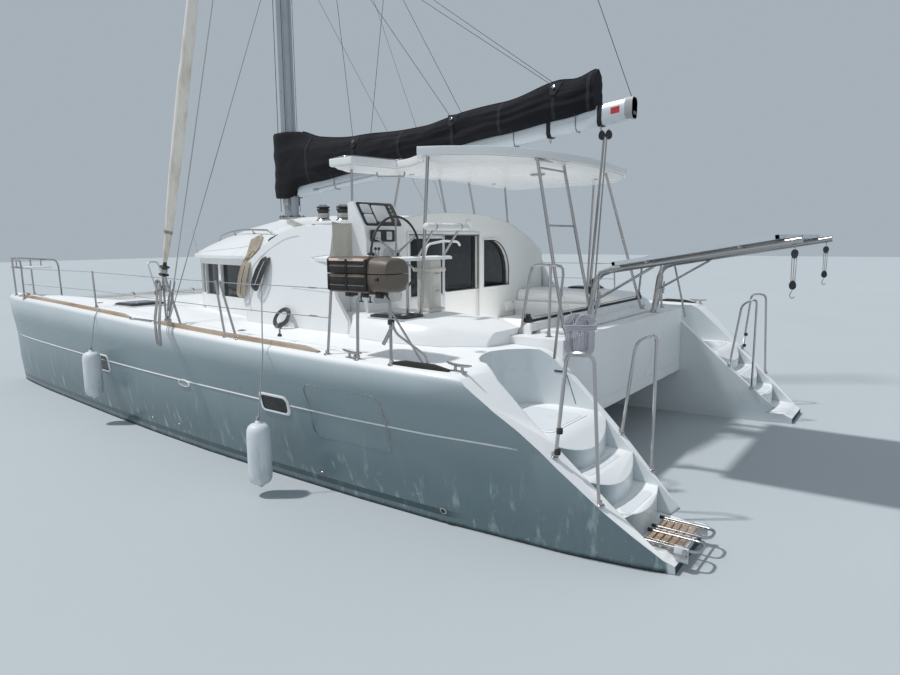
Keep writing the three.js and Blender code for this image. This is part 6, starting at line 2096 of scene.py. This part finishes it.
def pan_ring(x, near, far, corner, scale):
    """Half of a rounded box's outline at one station, from one rim over the middle to the other."""
    ring = []
    for k in range(17):
        angle = pi * k / 16
        wide, tall = abs(cos(angle)) ** (2 / corner), sin(angle) ** (2 / corner)
        y = BARBECUE["y"] + copysign(wide, cos(angle)) * BARBECUE["half"] * scale
        ring.append(vec(x, y, near + (far - near) * tall * scale))
    return ring


def barbecue_shell(node):
    """Half of the barbecue: a slatted fire box with louvres, the lid's top lips painted with a sunlit
    highlight, and a rounded drum at its aft end.
    """
    b = BARBECUE
    near, far = b[node]
    up = 1 if far > near else -1
    shape = Shape()
    for rings, look in ((BOX_RINGS, 0), (DRUM_RINGS, 1)):
        shape.loft([pan_ring(b["fore"] + dx, near, far, corner, scale) for dx, corner, scale in rings], look)
    front = b["y"] + b["half"]
    for low, high, lip in LOUVRES[node]:
        for aft, fore in LOUVRE_SPANS:
            shape.block((aft, front - 0.020, low - 0.012), (fore, front + 0.004, high), 0.004, 2)
            # Deep lips take the bright louvre look, a painted sunlit highlight; the others are steel.
            look = 4 if lip > 0.01 else 3
            shape.block((aft, front - 0.018, high), (fore, front + 0.0065, high + lip), 0.002, look)
    for x in (b["fore"] - 0.012, -3.20, b["split"] + 0.008):
        low, high = min(near, far - 0.02 * up), max(near, far - 0.02 * up)
        shape.block((x - 0.010, front - 0.020, low), (x + 0.010, front + 0.007, high), 0.003, 2)
    return shape


def barbecue():
    """The lid with its handle and gauge, the pan with its feet, pipes and knob, and the rail below."""
    looks = ["enamel", "taupe", "dark_slat_and_painted_shadow", "steel", "louvre", "black"]
    lid = barbecue_shell("barbecue_lid")
    handle = [(-3.12, 3.19, 2.196), (-3.12, 3.232, 2.205), (-3.28, 3.232, 2.205), (-3.28, 3.19, 2.196)]
    lid.tube(bent(handle, 0.015), 0.0055, 3, 10)
    lid.lathe([(0.021, 0), (0.024, 0.006), (0.021, 0.010), (0.0, 0.011)], (-3.30, 3.05, 2.2195), UP, 3, 20)
    pan = barbecue_shell("barbecue")
    for x in (-3.12, -3.30, -3.46):
        pan.block((x - 0.026, 3.03, 1.888), (x + 0.026, 3.14, 1.932), 0.006, 5)
        pan.pin((x, 3.10, 1.905), AHEAD, 0.024, 0.022, 5, 16)
    for x, y in ((-3.27, 3.13), (-3.38, 3.14)):
        pan.tube([(x, y, 1.90), (x, y, 1.862), (x, y, 1.852)], [0.006, 0.006, 0.010], 5, 10)
        pan.rod((x - 0.022, y, 1.852), (x + 0.022, y, 1.852), 0.005, 5, 8)
    pan.lathe([(0.016, 0.0), (0.016, 0.014), (0.010, 0.02), (0, 0.021)], (-3.53, 3.214, 2.045), TO_PORT, 5,
              16)
    for node, shape, body in (("barbecue", pan, "boat"), ("barbecue_lid", lid, "barbecue_lid")):
        shape.make(node + "_body", looks, body, "brown_enamel", [node], smooth=34)
    rail = Shape()
    for x in (-3.64, -3.27):
        flange(rail, (x, 3.188, on_deck("port", x, 3.19)), radius=0.034)
    brace = [(-3.585, 3.12, 1.73), (-3.66, 3.155, 1.62), (-3.95, 3.13, 1.46), (-3.97, 3.13, 1.36)]
    rail.tube(bent(brace, 0.05), 0.010, 0, 12)
    flange(rail, (-3.97, 3.13, on_deck("port", -3.97, 3.13)), radius=0.026)
    rail.tube([(-3.60, 3.13, 1.66), (-3.54, 3.17, 1.52)], 0.016, 0, 12)
    rail.pin((-3.588, 3.125, 1.70), (0.1, -0.15, 1), 0.028, 0.02, 1)
    dress("barbecue_rail", ["steel", "black"], extra=rail, smooth=50)


# Bows and foredeck


NET = {"aft": 3.08, "fore": 4.96, "inner": 0.085, "z": 1.352}


def trampolines():
    """The nets, with the rope round each and the lacing that stretches it."""
    for side, sign in SIDES.items():
        node = "trampoline_" + side
        made = shape_of(node).make("net_" + side, ["net"], slot="netting", replaces=[node])
        lacing = Shape()
        inner, z = sign * NET["inner"], NET["z"]
        lacing.tube(bent([(3.07, inner, z), (4.975, inner, z)], 0.02), 0.008, 0, 8)
        edge = []
        for k in range(20):
            x = NET["aft"] + (NET["fore"] - NET["aft"]) * k / 19
            place, *_ = HULL[side].ray_cast(vec(x, 0, z), vec(0, sign, 0))
            if place is not None:
                edge.append(place - vec(0, sign * 0.02, 0))
        lacing.tube(edge, 0.008, 0, 8)
        for x, end in ((3.075, edge[0]), (4.972, edge[-1])):
            lacing.tube([(x, inner, z), (x, end.y, z)], 0.008, 0, 8)
        centre = [(3.10 + 1.84 * k / 59, inner - sign * 0.028 * (1 - k % 2), z + 0.008 * (k % 2) - 0.004)
                  for k in range(60)]
        bow = [(4.972 + 0.02 * (k % 2), inner + (edge[-1].y - inner) * k / 55, z + 0.006 * (k % 2))
               for k in range(56)]
        hull = [spot + vec(0, sign * 0.022 * (k % 2), 0) for k, spot in enumerate(through(edge, 3))]
        for zigzag in (centre, bow, hull):
            lacing.tube(zigzag, 0.003, 1, 5)
        lacing.make("net_lacing_" + side, ["white_rope", "black_rope"])


BEAM = {"x": 5.06, "z": 1.33, "radius": 0.075}
CHAIN = {"aft": 2.52, "pitch": 0.044, "z": 1.50, "links": 52}


def crossbeam():
    """The beam with its end sockets, bands, roller and the striker's stays."""
    extra = Shape()
    x, z, r = BEAM["x"], BEAM["z"], BEAM["radius"]
    for y, edge, crown, half, soft, look in ((-1.95, 0.006, 0.010, 0.03, 0.02, 0),
                                             (1.95, 0.006, 0.010, 0.03, 0.02, 0),
                                             (0, 0.006, 0.009, 0.05, 0.04, 0),
                                             (-0.62, 0.004, 0.006, 0.02, 0.015, 1),
                                             (0.62, 0.004, 0.006, 0.02, 0.015, 1)):
        band = [(r + edge, -half), (r + crown, -soft), (r + crown, soft), (r + edge, half)]
        extra.lathe(band, (x, y, z), TO_PORT, look, 28)
    extra.block((4.98, -0.03, 1.40), (5.12, 0.03, 1.50), 0.01, 1)
    for y in (-0.14, 0.14):
        extra.rod((x, y * 4.4, 1.30), (x, y * 0.3, 1.06), 0.006, 1, 8)
    extra.rod((x, 0, 1.26), (x, 0, 1.05), 0.012, 1, 10)
    dress("crossbeam", ["beam", "steel"], extra=extra, smooth=50)


def bow_gear():
    """The foredeck's lockers, windlass and chain."""
    gear = Shape()
    for sign in (-1, 1):
        gear.plate(rounded(0.66, 0.60, 0.08, 6), 0.012, moved(1.9, sign * 0.62, 1.460), 0, 0.005)
        for dx in (-0.22, 0.22):
            gear.plate(rounded(0.07, 0.04, 0.01, 3), 0.010, moved(1.9 + dx, sign * 0.36, 1.472), 1)
    gear.plate(rounded(0.50, 0.42, 0.06, 6), 0.014, moved(2.72, 0.0, 1.460), 0, 0.005)
    capstan = [(0.06, 0), (0.06, 0.03), (0.05, 0.05), (0.05, 0.09), (0.062, 0.10), (0.062, 0.115),
               (0.04, 0.13), (0, 0.132)]
    gear.lathe(capstan, (2.45, 0.13, 1.473), UP, 2, 28)
    gear.block((2.32, -0.12, 1.473), (2.56, 0.06, 1.545), 0.02, 0)
    gear.make("foredeck_gear", ["gelcoat", "steel", "black"])
    chain = Shape()
    for k in range(CHAIN["links"]):
        sag = 0.012 * sin(k * 0.4) - 0.03 * min(1.0, k / 12)
        spot = vec(CHAIN["aft"] + CHAIN["pitch"] * k, 0.0, CHAIN["z"] + sag)
        if 2.5 < spot.x < 3.04:
            across = TO_PORT if k % 2 else UP
            chain.tube(ring_about(spot, AHEAD, across, (0.022 * 1.35, 0.013), 12), 0.0042, 0, 6, closed=True)
    chain.make("anchor_chain", ["beam"])
    dress("foredeck", ["gelcoat"], smooth=40)


HATCHES = (("bow", 1.90, 2.20, 0.50, 0.50, 1.478, 2.15), ("aft", -2.84, 2.19, 0.46, 0.32, 1.6003, -2.61))


def hatches(side):
    """Deck hatches: a frame on the deck, and a dark lid with hinges and handles that opens."""
    sign = SIDES[side]
    for where, x, y, long, wide, z, hinge in HATCHES:
        node = "hatch_" + where + "_" + side
        outline = rounded(long + 0.05, wide + 0.05, 0.055, 6)
        inner = rounded(long - 0.012, wide - 0.012, 0.05, 6)
        floor = z - 0.002
        low = on_deck(side, x, sign * y, 1.59) if where == "bow" else floor
        levels = ((outline, low - 0.004), (outline, floor + 0.004), (inner, floor + 0.008),
                  (inner, floor - 0.004))
        rings = [[vec(x + a, sign * y + b, h) for a, b in ring] for ring, h in levels]
        Shape().loft(rings, 0, caps=False).make(node + "_base", ["beam"])
        leaf = Shape()
        middle = moved(x, sign * y, z + 0.009)
        leaf.plate(rounded(long, wide, 0.05, 6), 0.018, middle, 1, 0.005)
        leaf.plate(rounded(long - 0.05, wide - 0.05, 0.04, 6), 0.008, middle @ moved(0, 0, 0.0175))
        for b in (-wide * 0.3, wide * 0.3):
            leaf.pin((hinge - 0.002, sign * y + b, z + 0.014), TO_PORT, 0.011, 0.03, 1, 12)
            spot = middle @ vec(-copysign(long / 2 - 0.055, hinge - x), b, 0.025)
            leaf.lathe([(0.024, 0), (0.024, 0.006), (0.010, 0.009), (0, 0.009)], spot, UP, 2, 16)
            leaf.plate(rounded(0.055, 0.014, 0.006, 3), 0.008, Matrix.Translation(spot + UP * 0.006), 2,
                       0.002)
        leaf.make(node + "_lid", ["glass", "black", "grey"], node, "tinted_acrylic", [node])


# Fenders

FENDERS = {
    "fender_1": ((1.610, 3.062, 0.66), ((1.610, 3.058, 0.99), (1.610, 2.992, 1.33), (1.610, 2.966, 1.42),
                                        (1.610, 2.902, 1.485), (1.610, 2.822, 1.462))),
    "fender_2": ((-2.160, 3.380, 0.40), ((-2.160, 3.372, 0.73), (-2.150, 3.282, 1.33), (-2.130, 3.264, 1.42),
                                         (-1.940, 3.0932, 1.94)))}


FENDER_HALF = ((0.110, 0.0), (0.1095, 0.18), (0.106, 0.23), (0.094, 0.262), (0.072, 0.282), (0.045, 0.291),
               (0.028, 0.297), (0.025, 0.312), (0.018, 0.318), (0.0, 0.318))
FENDER_COLLAR = ((0.038, 0.284), (0.041, 0.291), (0.030, 0.300))
FENDER_EYE = 0.309


def loops(shape, middles, first, second, radii, thick, sides, look=0):
    """Closed turns of rope about each middle, in the plane of two directions."""
    for middle in middles:
        shape.tube(ring_about(middle, first, second, radii, sides), thick, look, 6, closed=True)


def lay_cord(name, path, diameter, look, knots, knots_name, start=0, **says):
    """A rope's mesh along its path and its knots' mesh."""
    rope = Shape().tube(path, diameter / 2, 0, 8).make(name, [look])
    declare_cord(rope, path, diameter, knots.make(knots_name, [look]), start, **says)


def declare_cord(rope, path, diameter, knots, start=0, **says):
    round(reach(path), 3)


def fenders():
    for node, (middle, line) in FENDERS.items():
        shape = Shape()
        lower = [(r, -z) for r, z in FENDER_HALF[:0:-1]]
        shape.lathe([*lower, *FENDER_HALF], middle, UP, 0, 40)
        for end in (-1, 1):
            shape.lathe([(r, z * end) for r, z in FENDER_COLLAR], middle, UP, 1, 24)
            shape.pin(Vector(middle) + UP * FENDER_EYE * end, AHEAD, 0.0125, 0.015, 2)
        shape.make(node + "_body", ["fender", "cover", "rubber"], slot="fender_vinyl", replaces=[node],
                   smooth=60)
        path = through([Vector(middle) + UP * (FENDER_EYE - 0.001), *line], 6)
        knots = Shape()
        for base, up in ((path[0] + UP * 0.03, UP), (path[-1], (path[-1] - path[-2]).normalized())):
            middles = [base + up * 0.012 * k for k in (-1, 0, 1)]
            loops(knots, middles, AHEAD, TO_PORT, (0.011, 0.011), 0.0055, 12)
        lay_cord(node + "_line", path, 0.012, "grey_rope", knots, node + "_knots", start=-1,
                 far_end="object", stiffness="medium", lay="taut")


bimini()
bimini_frame()
for side in SIDES:
    rails(side)
davits()
solar_panel()
barbecue()
trampolines()
crossbeam()
bow_gear()
for side in SIDES:
    hatches(side)
fenders()


# Stern


HANDLE_X, HANDLE_Z = -4.40, 1.178
TREADS = ((-4.52, 0.872, 0.50, 0.60), (-5.07, 0.5815, 0.075, 0.60), (-5.36, 0.3415, 0.10, 0.50))
STEP_Y = 2.32
LANDING_HATCH = ((-4.24, 1.98), (-4.80, 1.98), (-4.80, 2.66), (-4.24, 2.66))
DECK_FILLER = (-3.96, 2.39)


def landing(side):
    """Seams, a slotted handle and a deck filler round the stern landing, and textured treads."""
    sign = SIDES[side]
    marks = Shape()
    rows = []
    for k in range(12):
        start = (-4.20 - 0.17 * k / 11, sign * 2.5, 1.36 - 0.46 * k / 11)
        place, out = node_hit(HULL[side], start, (-0.35, -sign, 0))
        if place is not None:
            rows.append((place, out, AHEAD))
    if len(rows) > 2:
        shadow_line(marks, rows, 0.007, 0, 0.002)
    place, out = node_hit(HULL[side], (HANDLE_X, sign * 2.5, HANDLE_Z), (0, -sign, 0))
    if place is not None:
        for (wide, tall, corner), levels, look in (((0.155, 0.026, 0.012), (-0.004, 0.005), 1),
                                                   ((0.13, 0.012, 0.006), (0.004, 0.0065), 0)):
            slot = [place + vec(a, 0, b) for a, b in rounded(wide, tall, corner)]
            marks.loft([[p + out * d for p in slot] for d in levels], look)
    seam = [(x, sign * y, 0.8705) for x, y in (*LANDING_HATCH, *LANDING_HATCH[:2])]
    marks.tube(bent(seam, 0.05)[6:-6], 0.0028, 0, 6, flat=0.5)
    for x, z, wide, long in TREADS:
        outline = rounded(wide, long, min(wide * 0.45, 0.06), 6)
        marks.slab(outline, (-0.003, 0.0015), moved(x, sign * STEP_Y, z), 2)
    x, y = DECK_FILLER[0], sign * DECK_FILLER[1]
    height = on_deck(side, x, y)
    marks.lathe([(0.050, -0.004), (0.050, 0.003), (0.040, 0.0055), (0.0, 0.006)], (x, y, height), UP, 3, 28)
    marks.rod((x - 0.025, y, height + 0.0068), (x + 0.025, y, height + 0.0068), 0.003, 1, 6)
    marks.make("landing_fittings_" + side, ["cells", "grey", "nonslip", "boom"])


LADDER = {"z": 0.160, "hinge": -5.815, "foot": -5.485, "end": -5.905, "slats": 5, "pitch": 0.056}


def ladder():
    """The folded swim ladder: two bent tubes, teak slats between them and the hinge at the stern's edge."""
    shape = Shape()
    z, foot, end, hinge_x = LADDER["z"], LADDER["foot"], LADDER["end"], LADDER["hinge"]
    for low, high in ((2.09, 2.275), (2.365, 2.55)):
        shape.tube(bent([(foot, low, z), (end, low, z), (end, high, z), (foot, high, z)], 0.075, 8), 0.0115,
                   0, 14)
        for y in (low, high):
            shape.pin((foot - 0.005, y, z), AHEAD, 0.015, 0.016, 2)
    for k in range(LADDER["slats"]):
        x = -5.525 - LADDER["pitch"] * k
        shape.block((x - 0.021, 2.085, 0.1475), (x + 0.021, 2.555, 0.1585), 0.003, 1)
    for y in (2.13, 2.32, 2.51):
        shape.tube([(-5.50, y, 0.1615), (-5.78, y, 0.1615)], 0.005, 0, 8)
    shape.rod((hinge_x, 2.085, 0.158), (hinge_x, 2.555, 0.158), 0.009, 0, 12)
    looks = ["steel", "teak", "rubber"]
    shape.make("folding_ladder", looks, "swim_ladder", "stainless_steel", ["swim_ladder"], smooth=50)
    hinge = Shape()
    for y in (2.055, 2.585):
        hinge.block((-5.832, y - 0.012, 0.108), (-5.74, y + 0.012, 0.130), 0.003, 0)
        hinge.pin((hinge_x, y, 0.158), TO_PORT, 0.018, 0.010, 0, 18)
        hinge.block((hinge_x - 0.009, y - 0.008, 0.118), (hinge_x + 0.009, y + 0.008, 0.158), 0.003, 0)
    hinge.make("ladder_brackets", ["steel"])


# Cockpit and saloon


LOCKER_LIDS = ((-2.15, -2.85), (-2.89, -3.60))
LID_Y = (-1.36, -0.92)


def cockpit():
    """The moulded cockpit with locker lids, seat pads, treads and drains."""
    extra = Shape()

    def lid(x, y, wide, long, corner, steps, thick, look, bevel, at_y=None):
        place = moved(x, y, on_top(x, y if at_y is None else at_y))
        extra.plate(rounded(wide, long, corner, steps), thick, place, look, bevel)
    for x0, x1 in LOCKER_LIDS:
        lid((x0 + x1) / 2, sum(LID_Y) / 2, abs(x1 - x0), LID_Y[1] - LID_Y[0], 0.05, 6, 0.012, 1, 0.004)
    for y in (-1.0, -0.33, 0.33, 1.0):
        place = moved(-3.785, y, on_top(-3.78, y))
        extra.plate(rounded(0.11, 0.60, 0.03, 5), 0.010, place, 1, 0.004)
    for x in (-2.5, -3.1):
        lid(x, -0.05, 0.52, 1.5, 0.06, 6, 0.006, 2, 0.002, at_y=0.0)
    for x, y in ((-3.64, 1.1), (-3.64, -0.7)):
        extra.lathe([(0.035, -0.002), (0.035, 0.003), (0.0, 0.004)], (x, y, on_top(x, y)), UP, 3, 20)
    dress("cockpit", ["gelcoat", "gelcoat", "nonslip", "steel"], extra=extra, smooth=44)


CUSHION_GRID = (18, 10)
PULL_IN, DENT, PIPING, BULGE = 0.016, 0.010, 0.0055, 0.008


def cushion(name, low, high, crown, buttons=0):
    """A box cushion that crowns on top, pulls in between its corners and has piping round its seams."""
    shape = Shape()
    middle_x, middle_y, middle_z = ((a + b) / 2 for a, b in zip(low, high))
    long, wide, tall = (b - a for a, b in zip(low, high))
    nu, nv = CUSHION_GRID
    spots = [low[0] + long * (k + 0.5) / buttons for k in range(buttons)]
    rims = []
    for top in (True, False):
        grid = []
        for i in range(nu + 1):
            for j in range(nv + 1):
                u, v = i / nu * 2 - 1, j / nv * 2 - 1
                x = middle_x + u * (long / 2) - copysign(PULL_IN * (1 - v * v) * abs(u) ** 6, u)
                y = middle_y + v * (wide / 2) - copysign(PULL_IN * (1 - u * u) * abs(v) ** 6, v)
                z = middle_z - (tall / 2 - crown * 0.2)
                if top:
                    edge = (1 - abs(u) ** 3.5) * (1 - abs(v) ** 3.5)
                    dents = [exp(-(((x - spot) / 0.05) ** 2 + ((y - middle_y) / 0.05) ** 2))
                             for spot in spots]
                    z = middle_z + ((tall / 2 - crown) + crown * sqrt(max(edge, 0))) - DENT * sum(dents)
                grid.append(vec(x, y, z))
        quads = [[a, a + nv + 1, a + nv + 2, a + 1] for i in range(nu)
                 for a in range(i * (nv + 1), i * (nv + 1) + nv)]
        shape.add(grid, quads if top else [quad[::-1] for quad in quads])
        rows = [grid[i * (nv + 1):(i + 1) * (nv + 1)] for i in range(nu + 1)]
        near, far = [row[0] for row in rows[:-1]], [row[-1] for row in rows[:0:-1]]
        rims.append(near + rows[-1][:nv] + far + rows[0][:0:-1])
        shape.tube(rims[-1], PIPING, 0, 6, closed=True)
    upper, under = rims
    bulge = []
    for middle in ((a + b) / 2 for a, b in zip(upper, under)):
        bulge.append(middle + vec(middle.x - middle_x, middle.y - middle_y, 0).normalized() * BULGE)
    shape.loft([upper, bulge, under], caps=False)
    made = shape.make(name, ["cushion"], "boat", "upholstery", smooth=60)


SETTEE = {"aft": -0.58, "pitch": 0.69, "long": 0.68, "inboard": -0.92, "outboard": -1.49}


def saloon():
    """The settee and its table behind the dark windows."""
    base = Shape()
    base.block((-0.60, -1.50, 0.7205), (1.50, -0.90, 1.03), 0.02, 0)
    base.block((-0.60, -1.65, 0.7205), (1.50, -1.50, 1.33), 0.02, 0)
    base.block((0.20, -0.90, 0.7205), (0.50, -0.30, 0.76), 0.01, 0)
    base.tube([(0.35, -0.60, 0.75), (0.35, -0.60, 1.295)], 0.04, 2, 20)
    base.plate(rounded(1.0, 0.5, 0.08, 6), 0.030, moved(0.40, -0.60, 1.305), 1, 0.008)
    base.make("saloon_joinery", ["cream", "teak", "boom"], slot="upholstery", replaces=["saloon_furniture"])
    for k in range(3):
        x = SETTEE["aft"] + SETTEE["pitch"] * k
        end, y = x + SETTEE["long"], SETTEE["outboard"]
        cushion("settee_seat_%d" % (k + 1), (x, y, 1.032), (end, SETTEE["inboard"], 1.15), 0.035, buttons=2)
        cushion("settee_back_%d" % (k + 1), (x, y, 1.155), (end, -1.37, 1.37), 0.02)


# Ropes put away


def along_guide(guide, distance):
    """Where a guide line of (place, out) pairs is at a distance along it, with its own directions there."""
    left = max(distance, 0.0)
    for (a, out_a), (b, out_b) in zip(guide, guide[1:]):
        step = (b - a).length
        if left <= step or b is guide[-1][0]:
            t = left / step
            down = (b - a).normalized()
            out = out_a.lerp(out_b, min(t, 1.0)).normalized()
            return a + (b - a) * t, down, (out - down * out.dot(down)).normalized()
        left -= step


RUN_STEPS, BEND_STEPS = 7, 12
HANK_PITCH, HANK_INNER, HANK_LAYER, WRAP_PITCH = 1.12, 3.05, 1.18, 1.05


def hank(name, guide, diameter, look, turns=3, shifts=(3.1, -3.1, 0.0), tie=0.30):
    """Rope folded down and up again in flat loops, laid one on another side by side, and tied across."""
    path = []

    def put(a, b, c):
        place, down, out = along_guide(guide, a)
        path.append(place + out.cross(down) * b + out * c)
    pitch = diameter * HANK_PITCH
    outer = diameter * HANK_INNER + pitch * turns
    high, low = outer, reach([place for place, out in guide]) - outer
    level = [diameter * (0.6 + HANK_LAYER * k) for k in reversed(range(len(shifts)))]
    half_turn = RUN_STEPS + BEND_STEPS
    for layer, shift in enumerate(shifts):
        for turn in range(turns):
            for k in range(2 * half_turn):
                wound = (turn + k / (2 * half_turn)) / turns
                radius = outer - pitch * turns * (wound if layer % 2 == 0 else 1 - wound)
                b, c = shift * diameter, level[layer]
                if layer and turn == 0:
                    c = level[layer - 1] + (c - level[layer - 1]) * min(1.0, k / 3)
                    slide = min(1.0, max(0.0, (k - 3) / 4))
                    b = diameter * (shifts[layer - 1] + (shift - shifts[layer - 1]) * slide)
                way, step = (1, k) if k < half_turn else (-1, k - half_turn)
                start, end = (high, low) if way > 0 else (low, high)
                if step < RUN_STEPS:
                    put(start + (end - start) * step / RUN_STEPS, b - way * radius, c)
                else:
                    angle = pi * (step - RUN_STEPS) / BEND_STEPS
                    put(end + way * radius * sin(angle), b - way * radius * cos(angle), c)
    path = eased(path)
    rope = Shape().tube(path, diameter / 2, 0, 7).make(name, [look])
    wide = outer + diameter * (max(abs(s) for s in shifts) + 0.9)
    middle, tall = level[0] / 2 + diameter * 0.3, level[0] / 2 + diameter * 0.85
    wraps = Shape()
    for k in range(4):
        place, down, out = along_guide(guide, high + (low - high) * tie + diameter * WRAP_PITCH * k)
        ring = []
        for angle in angles(28):
            across, lift = (copysign(abs(f) ** 0.6, f) for f in (cos(angle), sin(angle)))
            ring.append(place + out.cross(down) * wide * across + out * (middle + tall * lift))
        wraps.tube(ring, diameter * 0.48, 0, 7, closed=True)
    end = [(diameter * 0.53, -0.02), (diameter * 0.56, 0.0), (diameter * 0.5, 0.006), (0, 0.007)]
    wraps.lathe(end, path[-1], path[-1] - path[-2], 1, 12)
    tied = wraps.make(name + "_tie", [look, "black"])
    declare_cord(rope, path, diameter, tied, far_end="bare", stiffness="limp", lay="coiled")


def roof_guide(points, falls, lift=0.004):
    """A rope's line over the roof's edge and down the cabin side, as (place, out) pairs."""
    rows = [(place + out * lift, out) for place, out in (on_roof(x, y) for x, y in points)]
    rows += [(Vector(fall), vec(0, 0.99, 0.12)) for fall in falls]
    places, outs = (through(row, 5) for row in zip(*rows))
    for _ in range(3):
        places = eased(places)
    return list(zip(places, [o.normalized() for o in outs]))


TAN_LINE = (((-0.10, 1.68), (-0.27, 1.84), (-0.43, 2.00), (-0.56, 2.12)),
            ((-0.66, 2.27, 2.14), (-0.66, 2.335, 2.03), (-0.64, 2.345, 1.90), (-0.61, 2.35, 1.70)))
BLACK_LINE = (((-0.50, 1.72), (-0.70, 1.91), (-0.90, 2.09)),
              ((-1.03, 2.26, 2.20), (-1.00, 2.325, 2.09), (-0.93, 2.34, 1.96), (-0.86, 2.35, 1.80)))
GREY_TOP, GREY_OUT = (-4.52, 1.615, 1.69), (-0.6, 0.8, 0)
STROP_LINE = ((-4.352, 1.662, 1.872), (-4.370, 1.664, 1.850), (-4.420, 1.674, 1.78), (-4.470, 1.682, 1.69),
              (-4.4965, 1.6805, 1.5921))
SHROUD_DRAPE = ((-0.03, 3.015, 1.93, 0.0), (-0.04, 3.02, 1.87, 0.0), (-0.07, 3.035, 1.80, 0.1),
                (-0.12, 3.065, 1.73, 0.3), (-0.18, 3.11, 1.665, 0.6), (-0.25, 3.165, 1.61, 0.8),
                (-0.32, 3.215, 1.56, 0.8), (-0.38, 3.255, 1.505, 0.5), (-0.41, 3.282, 1.44, 0.2),
                (-0.43, 3.288, 1.37, 0.0), (-0.44, 3.288, 1.30, 0.0), (-0.445, 3.286, 1.24, 0.0))


def hanks():
    hank("tan_hank", roof_guide(*TAN_LINE), 0.008, "tan_rope", turns=4, tie=0.60)
    hank("black_hank", roof_guide(*BLACK_LINE), 0.008, "black_rope", turns=4, tie=0.50)
    down = [(Vector(GREY_TOP) + UP * -0.045 * k, Vector(GREY_OUT)) for k in range(10)]
    hank("grey_hank", down, 0.013, "lilac_rope", turns=4, tie=0.06)
    strop = through(STROP_LINE, 6)
    knot = Shape()
    middles = [vec(-4.357 + 0.004 * k, 1.661, 1.862 + 0.009 * k) for k in range(3)]
    loops(knot, middles, TO_PORT, vec(0.4, 0, 1), (0.021, 0.021), 0.004, 16)
    lay_cord("grey_hank_strop", strop, 0.008, "lilac_rope", knot, "grey_hank_strop_knot",
             far_end="knot", stiffness="limp", lay="hanging")
    down = [(vec(x, y, z), vec(0, 1, lift).normalized()) for x, y, z, lift in SHROUD_DRAPE]
    hank("shroud_hank", down, 0.008, "fleck_rope", turns=2, shifts=(2.2, -2.2, 0.0), tie=0.10)


COIL = {"x": -1.42, "y": 2.51, "first": 0.072, "grow": 0.0135, "turns": 4.3, "rise": (0, -0.56, 0.8285)}
COIL_TAIL = ((-1.52, 2.56), (-1.62, 2.64), (-1.72, 2.73), (-1.80, 2.80), (-1.86, 2.83))


def side_deck_coil():
    """The coil leaning by the cabin side, with its tail on the deck."""
    rise = Vector(COIL["rise"])
    centre = vec(COIL["x"], COIL["y"], on_deck("port", COIL["x"], COIL["y"]) + 0.010) + rise * 0.125
    path = []
    for k in range(round(24 * COIL["turns"])):
        angle = -pi / 2 - 2 * pi * k / 24
        radius = COIL["first"] + COIL["grow"] * k / 24
        path.append(centre + AHEAD * cos(angle) * radius + rise * radius * sin(angle))
    tail = [vec(x, y, on_deck("port", x, y) + 0.007) for x, y in COIL_TAIL]
    path += through([path[-1], *tail], 4)[1:]
    path = eased(path)[::-1]
    knot = Shape()
    middles = [path[2] + vec(0.010 * k, 0, 0.003) for k in (-1, 0, 1)]
    loops(knot, middles, TO_PORT, UP, (0.013, 0.013), 0.006, 12)
    lay_cord("side_deck_coil", path, 0.012, "black_rope", knot, "side_deck_coil_knot",
             far_end="bare", stiffness="limp", lay="coiled")


CLOTH = {"x": -2.10, "top": 2.53, "bottom": 2.12, "left": 2.31, "right": 1.965}


def on_cloth(u, v, lift=0.0):
    c = CLOTH
    y = c["left"] + (c["right"] - c["left"]) * u
    fold = sin(u * 15.0 + 0.6 * v) * 0.010 * v + sin(u * 31.0 + 1.3) * 0.003 * v
    z = c["top"] + (c["bottom"] - c["top"]) * v - 0.018 * sin(pi * u) * (1 - v) + 0.006 * sin(u * 19.0) * v
    return vec(c["x"] - fold - lift, y, z)


def helm_cloth():
    """A beige cloth hung in front of the console's side, with a hem and soft folds."""
    count = 30
    made = Shape().sheet(on_cloth, count, 26, 0.0016).make("helm_cloth", ["beige"])
    hem = Shape()
    for v, deep in ((0.40, 0.05), (0.97, 0.03)):
        for k in range(count):
            corners = ((k, v), (k + 1, v), (k + 1, v + deep), (k, v + deep))
            hem.add([on_cloth(a / count, b, 0.0025) for a, b in corners], [[0, 1, 2, 3]])
    hem.tube([on_cloth(k / 20, 0.0) + UP * 0.004 for k in range(21)], 0.006, 1, 8)
    hems = hem.make("helm_cloth_hem", ["beige", "steel"])
    wide = reach([on_cloth(k / 60, 0.5) for k in range(61)])


for side in SIDES:
    landing(side)
ladder()
cockpit()
saloon()
hanks()
side_deck_coil()
helm_cloth()

PLAIN = {"gelcoat": "gelcoat", "grey_gelcoat": "grey_gelcoat", "stainless_steel": "steel", "alloy": "mast",
         "black_plastic": "black", "winch_metal": "black", "tinted_glass": "glass", "tinted_acrylic": "glass",
         "black_canvas": "canvas", "sailcloth": "sail", "netting": "net", "antifoul": "antifoul",
         "bronze": "bronze", "fender_vinyl": "fender", "brown_enamel": "enamel", "solar_glass": "cells",
         "upholstery": "cushion"}


def rest():
    """Every CAD node that no piece stands for keeps its form and gets its finish."""
    for node, thing in frame["nodes"].items():
        if not thing.hide_render:
            dress(node, [PLAIN[SLOT_OF[node]]], smooth=34)


rest()
